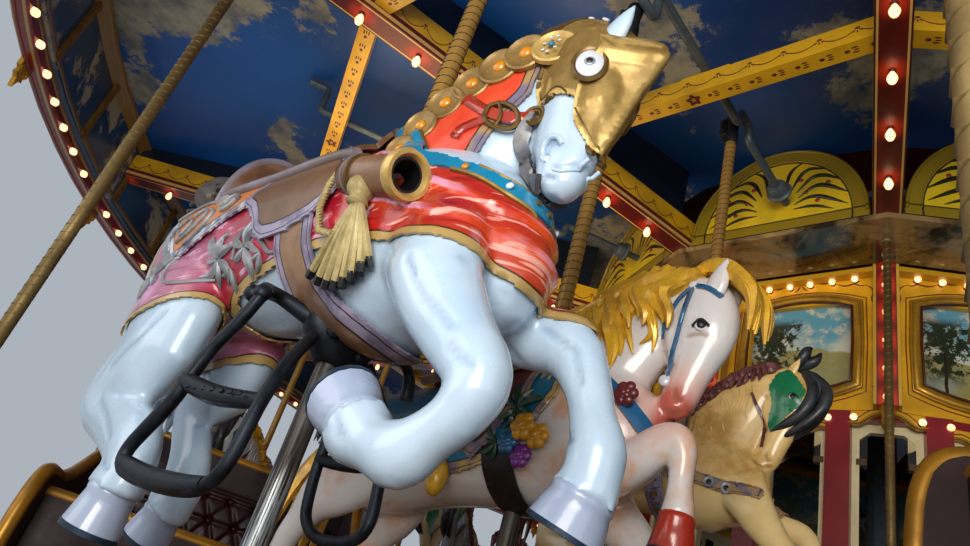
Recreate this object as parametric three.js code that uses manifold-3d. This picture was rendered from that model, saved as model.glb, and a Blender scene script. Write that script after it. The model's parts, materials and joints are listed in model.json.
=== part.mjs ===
// A three-row fairground carousel with twelve bays, as a three.js scene graph.
// Millimetres, +Z up. The origin is on the ground, on the axis that the machine turns about.
// Polar angles are in degrees, anticlockwise from +X seen from above, as the horses travel.
import * as THREE from 'three';
import { mergeVertices } from 'three/addons/utils/BufferGeometryUtils.js';
import Module from 'manifold-3d';

const wasm = await Module();
wasm.setup();

// Driving dimensions of the machine.
const BAYS = 12;
const BAY_ANGLE = 360 / BAYS;
const GAP = 0.3;

const DECK_TOP = 450;
const DECK_THICKNESS = 45;
const DECK_INNER_RADIUS = 1780;
const DECK_OUTER_RADIUS = 4960;
const JOIST_DEPTH = 110;
const JOIST_WIDTH = 70;
const JOIST_RING_RADIUS = 3110;
const CARRIER_HALF = 52;
const SKIRT_DEPTH = 230;
const SKIRT_THICKNESS = 25;
const CARRIER_CLEARANCE = 12;

const OUTER_ROD_RADIUS = 4790;
const INNER_ROD_RADIUS = 1960;
const OUTER_ROD_THICKNESS = 50;
const INNER_ROD_THICKNESS = 42;

const SWEEP_BOTTOM = 3200;
const SWEEP_DEPTH = 180;
const SWEEP_WIDTH = 130;
const SWEEP_TOP = SWEEP_BOTTOM + SWEEP_DEPTH;
// The ends of the sweeps meet the inner faces of the rim's cove, just clear of its corners.
const RIM_RADIUS = 5670;
const RIM_SIDES = 24;
const COVE_INNER_RADIUS = RIM_RADIUS - 64;
const SWEEP_END_RADIUS = COVE_INNER_RADIUS - (SWEEP_WIDTH / 2) * Math.tan(Math.PI / RIM_SIDES) - GAP;
const HUB_RADIUS = 420;

const MAST_RADIUS = 90;
const MAST_TOP = 4700;
const BASE_HEIGHT = 180;
const BASE_LENGTH = 3300;
const BASE_WIDTH = 170;
const SOCKET_RADIUS = 300;
const SOCKET_HEIGHT = 300;
const BRACE_REACH = 1100;
const BRACE_RADIUS = 45;
const COLLAR_HEIGHT = 90;
const COLLAR_WIDTH = 70;

const BEAM_DEPTH = 110;
const BEAM_WIDTH = 84;
const BEAM_BOTTOM = 3240;
const INNER_BEAM_APOTHEM = 3040;
const OUTER_BEAM_APOTHEM = 4110;
const BEARING_SEAT = 20;
const BEARING_LENGTH = 230;

const CRANK_HEIGHT = 3380;
const CRANK_THROW = 165;
const CRANK_THICKNESS = 42;
const CRANK_SIDE_OFFSET = 58;
const CRANK_INNER_RADIUS = 1990;
const CRANK_PIN_HALF = 60;
const BOSS_RADIUS = 62;
const BOSS_TIP_RADIUS = 40;
const BEARING_RING_HALF = 30;

const ROW_RADII = { outer: 4310, middle: 3590, inner: 2640 };
const POLE_RADIUS = 25.5;
const POLE_HEAD = 34;
const POLE_SIDES = 6;
const POLE_HOLE_RADIUS = POLE_RADIUS + GAP / Math.cos(Math.PI / POLE_SIDES);

const CEILING_INNER = { radius: 1960, height: 3765 };
const CEILING_OUTER = { radius: COVE_INNER_RADIUS - GAP, height: 3490 };
const CEILING_THICKNESS = 14;
const RAFTER_WIDTH = 60;

const LUNETTE_RADIUS = 2120;
const LUNETTE_THICKNESS = 24;

const DRUM_RADIUS = 1660;
const DRUM_BOTTOM = 2370;
const DRUM_TOP = 3165;
const DRUM_THICKNESS = 40;
const DRUM_POST_WIDTH = 120;
const DRUM_POST_DEPTH = 56;
const PICTURE_WIDTH = 524;
const PICTURE_HEIGHT = 500;
const PICTURE_MIDDLE = 2750;
const CORNICE_DEPTH = 62;
const SOFFIT_THICKNESS = 30;

// The housing has a window under each corner post and under each picture, so it has 24 sides.
const HOUSING_SIDES = 24;
const HOUSING_RADIUS = 1620;
const HOUSING_WALL_OUTER = 1568;
const HOUSING_WALL_THICKNESS = 38;
const PILLAR_WIDTH = 110;
const PILLAR_DEPTH = 60;
const WINDOW_HALF_WIDTH = 118;
const SILL_TOP = 1250;
const WINDOW_TOP = 2290;

const RIM_BOTTOM = 2870;
const RIM_TOP = 3700;
const CREST_HEIGHT = 330;
const ROOF_PEAK_HEIGHT = 4800;
const ROOF_PEAK_RADIUS = 300;

// Phases of the three throws of a crank, so that the horses of a bay rise in turn.
const ROW_PHASES = { outer: 60, middle: 180, inner: 300 };
const CHARIOT_BAYS = [1, 5, 7, 11];

const COLOURS = {
  castIron: { color: 0x23262b, roughness: 0.55, metalness: 0.7 },
  steel: { color: 0x8b9099, roughness: 0.4, metalness: 0.9 },
  wood: { color: 0x7d4f2c, roughness: 0.6, metalness: 0 },
  red: { color: 0x8f1a1f, roughness: 0.35, metalness: 0 },
  yellow: { color: 0xd9a92b, roughness: 0.4, metalness: 0 },
  sky: { color: 0x16305c, roughness: 0.45, metalness: 0 },
  gold: { color: 0xa97f2f, roughness: 0.35, metalness: 0.6 },
  cream: { color: 0xe7dcc0, roughness: 0.5, metalness: 0 },
  brass: { color: 0xb99355, roughness: 0.35, metalness: 0.8 },
  white: { color: 0xdfe7f0, roughness: 0.3, metalness: 0 },
  tan: { color: 0xc79a5a, roughness: 0.35, metalness: 0 },
  maroon: { color: 0x4a1018, roughness: 0.45, metalness: 0 },
};

const carousel = new THREE.Group();

function material(finish) {
  return new THREE.MeshStandardMaterial(COLOURS[finish]);
}

function addPiece(name, geometry, finish, parent = carousel) {
  const mesh = new THREE.Mesh(geometry, material(finish));
  mesh.name = name;
  parent.add(mesh);
  return mesh;
}

// Solid modelling helpers: a closed geometry becomes a solid that can be joined and cut.
function toSolid(geometry) {
  const bare = geometry.clone();
  bare.deleteAttribute('normal');
  bare.deleteAttribute('uv');
  const merged = mergeVertices(bare, 1e-3);
  return new wasm.Manifold(new wasm.Mesh({
    numProp: 3,
    vertProperties: new Float32Array(merged.attributes.position.array),
    triVerts: new Uint32Array(merged.index.array),
  }));
}

function toGeometry(solid) {
  const mesh = solid.getMesh();
  const geometry = new THREE.BufferGeometry();
  geometry.setAttribute('position', new THREE.BufferAttribute(new Float32Array(mesh.vertProperties), 3));
  geometry.setIndex(new THREE.BufferAttribute(new Uint32Array(mesh.triVerts), 1));
  return geometry;
}

function join(geometries) {
  let result = toSolid(geometries[0]);
  for (const geometry of geometries.slice(1)) {
    result = result.add(toSolid(geometry));
  }
  return toGeometry(result);
}

function cut(geometry, cutters) {
  let result = toSolid(geometry);
  for (const cutter of cutters) {
    result = result.subtract(toSolid(cutter));
  }
  return toGeometry(result);
}

// Basic bodies in place.
function block(length, width, height, x, y, z) {
  return new THREE.BoxGeometry(length, width, height).translate(x, y, z);
}

function turned(geometry, polar) {
  return geometry.clone().rotateZ(THREE.MathUtils.degToRad(polar));
}

function bar(from, to, radius, sides, endRadius = radius) {
  const start = new THREE.Vector3(...from);
  const end = new THREE.Vector3(...to);
  const along = end.clone().sub(start);
  const length = along.length();
  const geometry = new THREE.CylinderGeometry(endRadius, radius, length, sides);
  const turn = new THREE.Quaternion().setFromUnitVectors(new THREE.Vector3(0, 1, 0), along.normalize());
  geometry.applyQuaternion(turn);
  const middle = start.add(end).multiplyScalar(0.5);
  return geometry.translate(middle.x, middle.y, middle.z);
}

function polygon(radius, sides, turn = 0) {
  const points = [];
  for (let corner = 0; corner < sides; corner += 1) {
    const angle = THREE.MathUtils.degToRad(turn) + (2 * Math.PI * corner) / sides;
    points.push(new THREE.Vector2(radius * Math.cos(angle), radius * Math.sin(angle)));
  }
  return points;
}

function prism(points, holes, bottom, top) {
  const shape = new THREE.Shape(points);
  for (const hole of holes) {
    shape.holes.push(new THREE.Path(hole));
  }
  const geometry = new THREE.ExtrudeGeometry(shape, { depth: top - bottom, bevelEnabled: false });
  return geometry.translate(0, 0, bottom);
}

function ring(innerRadius, outerRadius, bottom, top, sides = BAYS) {
  return prism(polygon(outerRadius, sides), [polygon(innerRadius, sides)], bottom, top);
}

// A ring whose section is a closed outline of [radius, height] points, turned about the axis.
function turnedRing(outline, sides) {
  const points = outline.map(([radius, height]) => new THREE.Vector2(radius, height));
  points.push(points[0].clone());
  const geometry = new THREE.LatheGeometry(points, sides);
  // The lathe turns about +Y from +Z, so the section is stood up and its first corner put on +X.
  return geometry.rotateX(Math.PI / 2).rotateZ(Math.PI / 2);
}

// Many pieces round the axis, one at each sweep or one at the middle of each bay.
function sweepAngles() {
  return Array.from({ length: BAYS }, (_, index) => -index * BAY_ANGLE);
}

function bayAngles() {
  return sweepAngles().map((angle) => angle - BAY_ANGLE / 2);
}

function aroundSweeps(geometry) {
  return sweepAngles().map((angle) => turned(geometry, angle));
}

function aroundBays(geometry) {
  return bayAngles().map((angle) => turned(geometry, angle));
}

function onPolar(radius, polar, sideways = 0) {
  const angle = THREE.MathUtils.degToRad(polar);
  return [
    radius * Math.cos(angle) - sideways * Math.sin(angle),
    radius * Math.sin(angle) + sideways * Math.cos(angle),
  ];
}

const cornerToApothem = 1 / Math.cos(Math.PI / BAYS);

// The fixed foundation: three crossed beams on the ground, knee braces and the centre mast.
function buildBase() {
  const beams = [0, 60, 120].map((angle) => turned(
    block(BASE_LENGTH, BASE_WIDTH, BASE_HEIGHT, 0, 0, BASE_HEIGHT / 2),
    angle,
  ));
  const pedestal = prism(polygon(SOCKET_RADIUS, 12), [], 0, SOCKET_HEIGHT);
  const socket = prism(polygon(MAST_RADIUS + GAP, 12), [], BASE_HEIGHT, SOCKET_HEIGHT + 10);
  const braceFoot = [BRACE_REACH, 0, BASE_HEIGHT - 30];
  const braceHead = [SOCKET_RADIUS - 40, 0, SOCKET_HEIGHT - 40];
  const brace = bar(braceFoot, braceHead, BRACE_RADIUS, 6);
  const braces = [0, 60, 120, 180, 240, 300].map((angle) => turned(brace, angle));
  addPiece('base_frame', cut(join([...beams, pedestal, ...braces]), [socket]), 'castIron');

  const shaft = prism(polygon(MAST_RADIUS, 12), [], BASE_HEIGHT + GAP, MAST_TOP);
  const collarOutline = polygon(MAST_RADIUS + COLLAR_WIDTH, 12);
  const collar = prism(collarOutline, [], SWEEP_BOTTOM - COLLAR_HEIGHT, SWEEP_BOTTOM - GAP);
  addPiece('centre_mast', join([shaft, collar]), 'steel');
}

// The deck, its joists and the two rings that the drop rods carry.
function poleHoles() {
  const holes = [];
  bayAngles().forEach((polar, bay) => {
    if (CHARIOT_BAYS.includes(bay)) {
      return;
    }
    for (const radius of Object.values(ROW_RADII)) {
      const [x, y] = onPolar(radius, polar);
      const corners = polygon(POLE_HOLE_RADIUS, POLE_SIDES, polar);
      holes.push(corners.map((point) => point.add(new THREE.Vector2(x, y))));
    }
  });
  return holes;
}

function rodHoles(radius, rodThickness) {
  return sweepAngles().map((polar) => {
    const [x, y] = onPolar(radius, polar);
    return polygon(rodThickness * 0.75, 4).map((point) => point.add(new THREE.Vector2(x, y)));
  });
}

function buildDeck() {
  const deckBottom = DECK_TOP - DECK_THICKNESS;
  const holes = [
    polygon(DECK_INNER_RADIUS, 24),
    ...poleHoles(),
    ...rodHoles(OUTER_ROD_RADIUS, OUTER_ROD_THICKNESS),
    ...rodHoles(INNER_ROD_RADIUS, INNER_ROD_THICKNESS),
  ];
  addPiece('deck', prism(polygon(DECK_OUTER_RADIUS, RIM_SIDES), holes, deckBottom, DECK_TOP), 'wood');

  const joistBottom = deckBottom - JOIST_DEPTH;
  const joistEnd = (OUTER_ROD_RADIUS - CARRIER_HALF) - CARRIER_CLEARANCE;
  const joistStart = (INNER_ROD_RADIUS + CARRIER_HALF) + CARRIER_CLEARANCE;
  const joist = block(
    joistEnd - joistStart,
    JOIST_WIDTH,
    JOIST_DEPTH,
    (joistEnd + joistStart) / 2,
    0,
    joistBottom + JOIST_DEPTH / 2,
  );
  const middleRing = ring(JOIST_RING_RADIUS, JOIST_RING_RADIUS + JOIST_WIDTH, joistBottom, deckBottom);
  addPiece('deck_joists', join([middleRing, ...aroundSweeps(joist)]), 'wood');

  const skirt = ring(
    DECK_OUTER_RADIUS + GAP,
    DECK_OUTER_RADIUS + SKIRT_THICKNESS,
    DECK_TOP - SKIRT_DEPTH,
    DECK_TOP,
    RIM_SIDES,
  );
  addPiece('deck_skirt', skirt, 'red');

  const soffitBottom = SWEEP_BOTTOM - SOFFIT_THICKNESS;
  buildDropRods('outer_drop_rods', OUTER_ROD_RADIUS, OUTER_ROD_THICKNESS, SWEEP_BOTTOM);
  buildDropRods('inner_drop_rods', INNER_ROD_RADIUS, INNER_ROD_THICKNESS, soffitBottom);
}

// Twelve rods hung from the sweeps, with the ring beam that they carry under the deck.
function buildDropRods(name, radius, thickness, top) {
  const carrierTop = DECK_TOP - DECK_THICKNESS;
  const carrierBottom = carrierTop - JOIST_DEPTH;
  const rod = bar([radius, 0, carrierBottom + 20], [radius, 0, top], thickness / 2, 6);
  const carrier = ring(radius - CARRIER_HALF, radius + CARRIER_HALF, carrierBottom, carrierTop);
  addPiece(name, join([carrier, ...aroundSweeps(rod)]), 'brass');
}

// The overhead frame: twelve sweeps on a hub, and two rings of beams between them.
function ceilingHeightAt(radius) {
  const share = (radius - CEILING_INNER.radius) / (CEILING_OUTER.radius - CEILING_INNER.radius);
  return CEILING_INNER.height + share * (CEILING_OUTER.height - CEILING_INNER.height);
}

// Beams from sweep to sweep carry the crank bearings, as blocks on top of their middles.
function beamRing(apothem) {
  const inner = (apothem - BEAM_WIDTH / 2) * cornerToApothem;
  const outer = (apothem + BEAM_WIDTH / 2) * cornerToApothem;
  return ring(inner, outer, BEAM_BOTTOM, BEAM_BOTTOM + BEAM_DEPTH);
}

function bearingBlock(apothem) {
  const bottom = BEAM_BOTTOM + BEAM_DEPTH - BEARING_SEAT;
  const top = CRANK_HEIGHT - CRANK_THICKNESS / 2 - GAP;
  return block(BEAM_WIDTH - 2, BEARING_LENGTH, top - bottom, apothem, CRANK_SIDE_OFFSET, (bottom + top) / 2);
}

function buildSweeps() {
  const sweep = block(
    SWEEP_END_RADIUS - 200,
    SWEEP_WIDTH,
    SWEEP_DEPTH,
    (SWEEP_END_RADIUS + 200) / 2,
    0,
    SWEEP_BOTTOM + SWEEP_DEPTH / 2,
  );
  const hub = prism(polygon(HUB_RADIUS, 12), [], SWEEP_BOTTOM, SWEEP_TOP + 60);
  const bore = prism(polygon(MAST_RADIUS + 3, 12), [], SWEEP_BOTTOM - 10, SWEEP_TOP + 100);
  const apothems = [INNER_BEAM_APOTHEM, OUTER_BEAM_APOTHEM];
  const body = join([
    hub,
    ...aroundSweeps(sweep),
    ...apothems.map(beamRing),
    ...apothems.flatMap((apothem) => aroundBays(bearingBlock(apothem))),
  ]);
  addPiece('sweeps_and_beams', cut(body, [bore]), 'red');
}

// The bent crank shafts, one a bay, held at their inner ends by a bearing ring. Each is a bar of
// square section whose centre line steps up or down to a throw over each row.
function crankLine(phaseShift) {
  const line = [[CRANK_INNER_RADIUS, 0]];
  for (const row of ['inner', 'middle', 'outer']) {
    const rise = CRANK_THROW * Math.cos(THREE.MathUtils.degToRad(ROW_PHASES[row] + phaseShift));
    const start = ROW_RADII[row] - CRANK_PIN_HALF;
    const end = ROW_RADII[row] + CRANK_PIN_HALF;
    line.push([start, 0], [start, rise], [end, rise]);
    if (row !== 'outer') {
      line.push([end, 0]);
    }
  }
  return line;
}

function crankShaft(phaseShift) {
  const line = crankLine(phaseShift);
  const half = CRANK_THICKNESS / 2;
  const side = (offsetSign) => line.map(([radius, height], index) => {
    const before = line[Math.max(index - 1, 0)];
    const after = line[Math.min(index + 1, line.length - 1)];
    const stepIn = index === 0 ? [1, 0] : [Math.sign(radius - before[0]), Math.sign(height - before[1])];
    const stepOut = index === line.length - 1 ? stepIn
      : [Math.sign(after[0] - radius), Math.sign(after[1] - height)];
    const normalIn = [-stepIn[1], stepIn[0]];
    const normalOut = [-stepOut[1], stepOut[0]];
    const square = normalIn[0] === normalOut[0] && normalIn[1] === normalOut[1];
    const across = square ? normalIn : [normalIn[0] + normalOut[0], normalIn[1] + normalOut[1]];
    return [radius + offsetSign * half * across[0], height + offsetSign * half * across[1]];
  });
  const outline = [...side(1), ...side(-1).reverse()];
  const shape = new THREE.Shape(outline.map(([radius, height]) => new THREE.Vector2(radius, height)));
  const geometry = new THREE.ExtrudeGeometry(shape, { depth: CRANK_THICKNESS, bevelEnabled: false });
  return geometry.rotateX(Math.PI / 2).translate(0, CRANK_SIDE_OFFSET + half, CRANK_HEIGHT);
}

function buildCranks() {
  const shafts = bayAngles().map((polar, bay) => turned(crankShaft(bayPhase(bay)), polar));
  const boss = bar(
    [LUNETTE_RADIUS + 20, CRANK_SIDE_OFFSET, CRANK_HEIGHT],
    [LUNETTE_RADIUS + 90, CRANK_SIDE_OFFSET, CRANK_HEIGHT],
    BOSS_RADIUS,
    8,
    BOSS_TIP_RADIUS,
  );
  const bearingRing = ring(
    (CRANK_INNER_RADIUS - BEARING_RING_HALF) * cornerToApothem,
    (CRANK_INNER_RADIUS + BEARING_RING_HALF) * cornerToApothem,
    SWEEP_TOP + 2,
    SWEEP_TOP + 40,
  );
  addPiece('crank_shafts', join([bearingRing, ...shafts, ...aroundBays(boss)]), 'steel');
}

function bayPhase(bay) {
  return -60 * bay;
}

// The painted ceiling, its rafter boards, the lunette boards and the soffit.
function buildCeiling() {
  const { radius: innerRadius, height: innerHeight } = CEILING_INNER;
  const { radius: outerRadius, height: outerHeight } = CEILING_OUTER;
  const shell = turnedRing([
    [innerRadius, innerHeight],
    [outerRadius, outerHeight],
    [outerRadius, outerHeight + CEILING_THICKNESS],
    [innerRadius, innerHeight + CEILING_THICKNESS],
  ], RIM_SIDES);
  const start = LUNETTE_RADIUS + 40;
  const end = SWEEP_END_RADIUS;
  const boardOutline = new THREE.Shape([
    new THREE.Vector2(start, SWEEP_TOP + GAP),
    new THREE.Vector2(end, SWEEP_TOP + GAP),
    new THREE.Vector2(end, ceilingHeightAt(end) + 5),
    new THREE.Vector2(start, ceilingHeightAt(start) + 5),
  ]);
  const board = new THREE.ExtrudeGeometry(boardOutline, { depth: RAFTER_WIDTH, bevelEnabled: false });
  board.translate(0, 0, -RAFTER_WIDTH / 2).rotateX(Math.PI / 2);
  addPiece('ceiling', join([shell, ...aroundSweeps(board)]), 'sky');
}

function buildLunettes() {
  const apothem = LUNETTE_RADIUS / cornerToApothem;
  const halfWidth = apothem * Math.tan(Math.PI / BAYS) - SWEEP_WIDTH / 2 - 14;
  const springing = SWEEP_BOTTOM + 40;
  const rise = ceilingHeightAt(apothem) - 1 - springing;
  const outline = new THREE.Shape();
  outline.moveTo(-halfWidth, SWEEP_BOTTOM);
  outline.lineTo(halfWidth, SWEEP_BOTTOM);
  const arcSteps = 6;
  for (let step = 0; step <= arcSteps; step += 1) {
    const angle = (Math.PI * step) / arcSteps;
    outline.lineTo(halfWidth * Math.cos(angle), springing + rise * Math.sin(angle));
  }
  const board = new THREE.ExtrudeGeometry(outline, { depth: LUNETTE_THICKNESS, bevelEnabled: false });
  board.rotateX(Math.PI / 2).rotateZ(Math.PI / 2).translate(apothem - LUNETTE_THICKNESS, 0, 0);
  const crankHole = block(200, 60, 60, apothem, CRANK_SIDE_OFFSET, CRANK_HEIGHT);
  const link = ring(LUNETTE_RADIUS - LUNETTE_THICKNESS, LUNETTE_RADIUS, SWEEP_TOP + 2, SWEEP_TOP + 40);
  const body = join([link, ...aroundBays(board)]);
  addPiece('lunette_boards', cut(body, aroundBays(crankHole)), 'yellow');

  const soffitInner = DRUM_RADIUS + DRUM_POST_DEPTH + 24;
  const soffitBottom = SWEEP_BOTTOM - SOFFIT_THICKNESS;
  const soffit = ring(soffitInner, LUNETTE_RADIUS, soffitBottom, SWEEP_BOTTOM - GAP);
  addPiece('soffit', soffit, 'gold');
}

// The drum round the machinery: arched frames, picture panels behind them, and corner posts.
function buildDrum() {
  const frame = ring(DRUM_RADIUS - DRUM_THICKNESS, DRUM_RADIUS, DRUM_BOTTOM, DRUM_TOP);
  const apothem = DRUM_RADIUS / cornerToApothem;
  const opening = block(200, PICTURE_WIDTH, PICTURE_HEIGHT, apothem, 0, PICTURE_MIDDLE);
  addPiece('drum_frames', cut(frame, aroundBays(opening)), 'yellow');

  const panels = ring(
    DRUM_RADIUS - DRUM_THICKNESS - 18,
    DRUM_RADIUS - DRUM_THICKNESS - GAP,
    DRUM_BOTTOM + 60,
    DRUM_TOP - 60,
  );
  addPiece('picture_panels', panels, 'sky');

  const postTop = SWEEP_BOTTOM - GAP;
  const post = block(DRUM_POST_DEPTH, DRUM_POST_WIDTH, postTop - DRUM_BOTTOM,
    DRUM_RADIUS + GAP + DRUM_POST_DEPTH / 2, 0, (DRUM_BOTTOM + postTop) / 2);
  const cornice = ring(DRUM_RADIUS + GAP, DRUM_RADIUS + CORNICE_DEPTH, DRUM_TOP - 30, DRUM_TOP);
  addPiece('drum_posts', join([cornice, ...aroundSweeps(post)]), 'red');
}

// The windowed housing under the drum, from the deck up: a wall with a window in each bay, and
// pillars at the corners.
function windowOutline() {
  const half = WINDOW_HALF_WIDTH;
  const shoulder = WINDOW_TOP - 40;
  return new THREE.Shape([
    new THREE.Vector2(-half, SILL_TOP),
    new THREE.Vector2(half, SILL_TOP),
    new THREE.Vector2(half, shoulder),
    new THREE.Vector2(half * 0.6, WINDOW_TOP),
    new THREE.Vector2(-half * 0.6, WINDOW_TOP),
    new THREE.Vector2(-half, shoulder),
  ]);
}

function buildHousing() {
  const top = DRUM_BOTTOM - GAP;
  const halfSide = 180 / HOUSING_SIDES;
  const corners = Array.from({ length: HOUSING_SIDES }, (_, index) => (2 * index + 1) * halfSide);
  const middles = corners.map((angle) => angle - halfSide);
  const wallInner = HOUSING_WALL_OUTER - HOUSING_WALL_THICKNESS;
  const band = (inner, outer, bottom, height) => turned(
    ring(inner, outer, bottom, height, HOUSING_SIDES),
    halfSide,
  );
  const wall = band(wallInner, HOUSING_WALL_OUTER, DECK_TOP, top);
  const window = new THREE.ExtrudeGeometry(windowOutline(), { depth: 300, bevelEnabled: false });
  window.rotateX(Math.PI / 2).rotateZ(Math.PI / 2).translate(wallInner - 150, 0, 0);
  const windows = middles.map((angle) => turned(window, angle));
  addPiece('housing_wall', cut(wall, windows), 'cream');

  const seat = HOUSING_WALL_OUTER + GAP;
  const pillar = block(PILLAR_DEPTH, PILLAR_WIDTH, top - DECK_TOP, seat + PILLAR_DEPTH / 2, 0,
    (top + DECK_TOP) / 2);
  const pillars = corners.map((angle) => turned(pillar, angle));
  const foot = band(seat, HOUSING_RADIUS + 70, DECK_TOP, DECK_TOP + 90);
  const head = band(seat, HOUSING_RADIUS, top - 40, top);
  addPiece('housing_pillars', join([foot, head, ...pillars]), 'red');
}

// The rim: outer fascia, lower bulb rail, inner cove, crown moulding with crests, and the roof.
function buildRim() {
  const rail = ring(RIM_RADIUS - 70, RIM_RADIUS + 30, RIM_BOTTOM, RIM_BOTTOM + 90, RIM_SIDES);
  addPiece('rim_bulb_rail', rail, 'red');
  const fascia = ring(RIM_RADIUS - 30, RIM_RADIUS, RIM_BOTTOM + 90, RIM_TOP, RIM_SIDES);
  addPiece('rounding_boards', fascia, 'cream');
  const coveTop = CEILING_OUTER.height + CEILING_THICKNESS;
  const cove = ring(COVE_INNER_RADIUS, RIM_RADIUS - 30 - GAP, RIM_BOTTOM + 90, coveTop, RIM_SIDES);
  addPiece('rim_cove', cove, 'gold');

  const crownTop = RIM_TOP + 30;
  const crown = turnedRing([
    [RIM_RADIUS + GAP, RIM_TOP - 130],
    [RIM_RADIUS + 80, crownTop],
    [RIM_RADIUS - 40, crownTop],
    [RIM_RADIUS - 40, RIM_TOP + GAP],
    [RIM_RADIUS + GAP, RIM_TOP + GAP],
  ], RIM_SIDES);
  const crestOutline = new THREE.Shape([
    new THREE.Vector2(-260, 0),
    new THREE.Vector2(260, 0),
    new THREE.Vector2(250, CREST_HEIGHT * 0.42),
    new THREE.Vector2(130, CREST_HEIGHT * 0.62),
    new THREE.Vector2(0, CREST_HEIGHT),
    new THREE.Vector2(-130, CREST_HEIGHT * 0.62),
    new THREE.Vector2(-250, CREST_HEIGHT * 0.42),
  ]);
  const crest = new THREE.ExtrudeGeometry(crestOutline, { depth: 30, bevelEnabled: false });
  crest.rotateX(Math.PI / 2).rotateZ(Math.PI / 2).translate(RIM_RADIUS + 40, 0, RIM_TOP - 10);
  addPiece('rim_crown', join([crown, ...aroundSweeps(crest)]), 'gold');

  const roof = turnedRing([
    [RIM_RADIUS - 60, crownTop + GAP],
    [RIM_RADIUS - 20, crownTop + GAP],
    [RIM_RADIUS - 20, crownTop + 14],
    [ROOF_PEAK_RADIUS, ROOF_PEAK_HEIGHT + 14],
    [ROOF_PEAK_RADIUS, ROOF_PEAK_HEIGHT],
  ], 24);
  addPiece('roof', roof, 'red');
  const cap = turnedRing([
    [MAST_RADIUS + 4, ROOF_PEAK_HEIGHT - 60],
    [ROOF_PEAK_RADIUS - 2, ROOF_PEAK_HEIGHT - 60],
    [ROOF_PEAK_RADIUS - 2, ROOF_PEAK_HEIGHT + 14 + GAP],
    [ROOF_PEAK_RADIUS + 40, ROOF_PEAK_HEIGHT + 14 + GAP],
    [ROOF_PEAK_RADIUS + 20, ROOF_PEAK_HEIGHT + 120],
    [110, ROOF_PEAK_HEIGHT + 220],
    [60, ROOF_PEAK_HEIGHT + 420],
    [20, ROOF_PEAK_HEIGHT + 460],
    [20, ROOF_PEAK_HEIGHT + 380],
    [MAST_RADIUS + 4, ROOF_PEAK_HEIGHT + 100],
  ], 12);
  addPiece('roof_cap', cap, 'gold');
}

// A jumping horse round its pole. Its outlines are [forward, up] points from where the pole
// meets the saddle; forward is +Y and its outer side is +X.
const TORSO_OUTLINE = [
  [-1000, -340], [-900, -110], [-560, -30], [70, -10], [400, -120], [530, -380], [500, -530],
  [300, -600], [-380, -500], [-880, -540],
];
const NECK_OUTLINE = [
  [20, -60], [120, 95], [280, 170], [580, 195], [716, -10], [610, -300], [500, -310], [430, -200],
  [480, -340], [300, -420],
];
const TAIL_LINE = [[-960, -220], [-1090, -480], [-1010, -800]];
const NEAR_FORELEG = [[330, -500], [610, -745], [335, -880], [250, -810]];
const FAR_FORELEG = [[340, -430], [530, -560], [650, -750], [660, -930]];
const NEAR_HINDLEG = [[-560, -430], [-470, -640], [-724, -790], [-363, -1020]];
const FAR_HINDLEG = [[-640, -430], [-600, -600], [-874, -640], [-740, -950]];
const FORELEG_WIDTHS = [190, 95, 66, 100];
const HINDLEG_WIDTHS = [330, 160, 90, 110];
const TAIL_WIDTHS = [90, 130, 50];
const TORSO_WIDTH = 350;
const NECK_WIDTH = 170;
const LEG_WIDTH = 96;
const LEG_OFFSET = 112;

// A flat-sided body from a side outline, centred at the given sideways place.
function slab(outline, width, sideways = 0) {
  const shape = new THREE.Shape(outline.map(([forward, up]) => new THREE.Vector2(forward, up)));
  const geometry = new THREE.ExtrudeGeometry(shape, { depth: width, bevelEnabled: false });
  geometry.translate(0, 0, -width / 2).rotateX(Math.PI / 2).rotateZ(Math.PI / 2);
  return geometry.translate(sideways, 0, 0);
}

// The outline of a limb: its centre line widened by half of each width to both sides.
function limbOutline(line, widths) {
  const points = line.map(([forward, up]) => new THREE.Vector2(forward, up));
  const left = [];
  const right = [];
  points.forEach((point, index) => {
    const before = points[Math.max(index - 1, 0)];
    const after = points[Math.min(index + 1, points.length - 1)];
    const along = after.clone().sub(before).normalize();
    const across = new THREE.Vector2(-along.y, along.x).multiplyScalar(widths[index] / 2);
    left.push([point.x + across.x, point.y + across.y]);
    right.unshift([point.x - across.x, point.y - across.y]);
  });
  return [...left, ...right];
}

function limb(line, widths, width, sideways) {
  return slab(limbOutline(line, widths), width, sideways);
}

function horseBody() {
  return join([
    slab(TORSO_OUTLINE, TORSO_WIDTH),
    slab(NECK_OUTLINE, NECK_WIDTH),
    limb(TAIL_LINE, TAIL_WIDTHS, 80, 0),
    limb(NEAR_FORELEG, FORELEG_WIDTHS, LEG_WIDTH, LEG_OFFSET),
    limb(FAR_FORELEG, FORELEG_WIDTHS, LEG_WIDTH, -LEG_OFFSET),
    limb(NEAR_HINDLEG, HINDLEG_WIDTHS, LEG_WIDTH, LEG_OFFSET),
    limb(FAR_HINDLEG, HINDLEG_WIDTHS, LEG_WIDTH, -LEG_OFFSET),
  ]);
}

function horsePole(rise, saddleHeight) {
  const topAboveSaddle = CRANK_HEIGHT + POLE_HEAD + rise - saddleHeight;
  const bottomAboveSaddle = DECK_TOP - DECK_THICKNESS - 20 - CRANK_THROW + rise - saddleHeight;
  return prism(polygon(POLE_RADIUS, POLE_SIDES), [], bottomAboveSaddle, topAboveSaddle);
}

const ROW_SCALES = { outer: 1, middle: 0.86, inner: 0.74 };
const ROW_SADDLES = { outer: 1775, middle: 1880, inner: 1890 };
const FOOT_REST_DROP = 585;
const FOOT_BAR_LENGTH = 480;
const FOOT_BAR_THICKNESS = 30;

function horseRise(row, bay) {
  return CRANK_THROW * Math.cos(THREE.MathUtils.degToRad(ROW_PHASES[row] + bayPhase(bay)));
}

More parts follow.
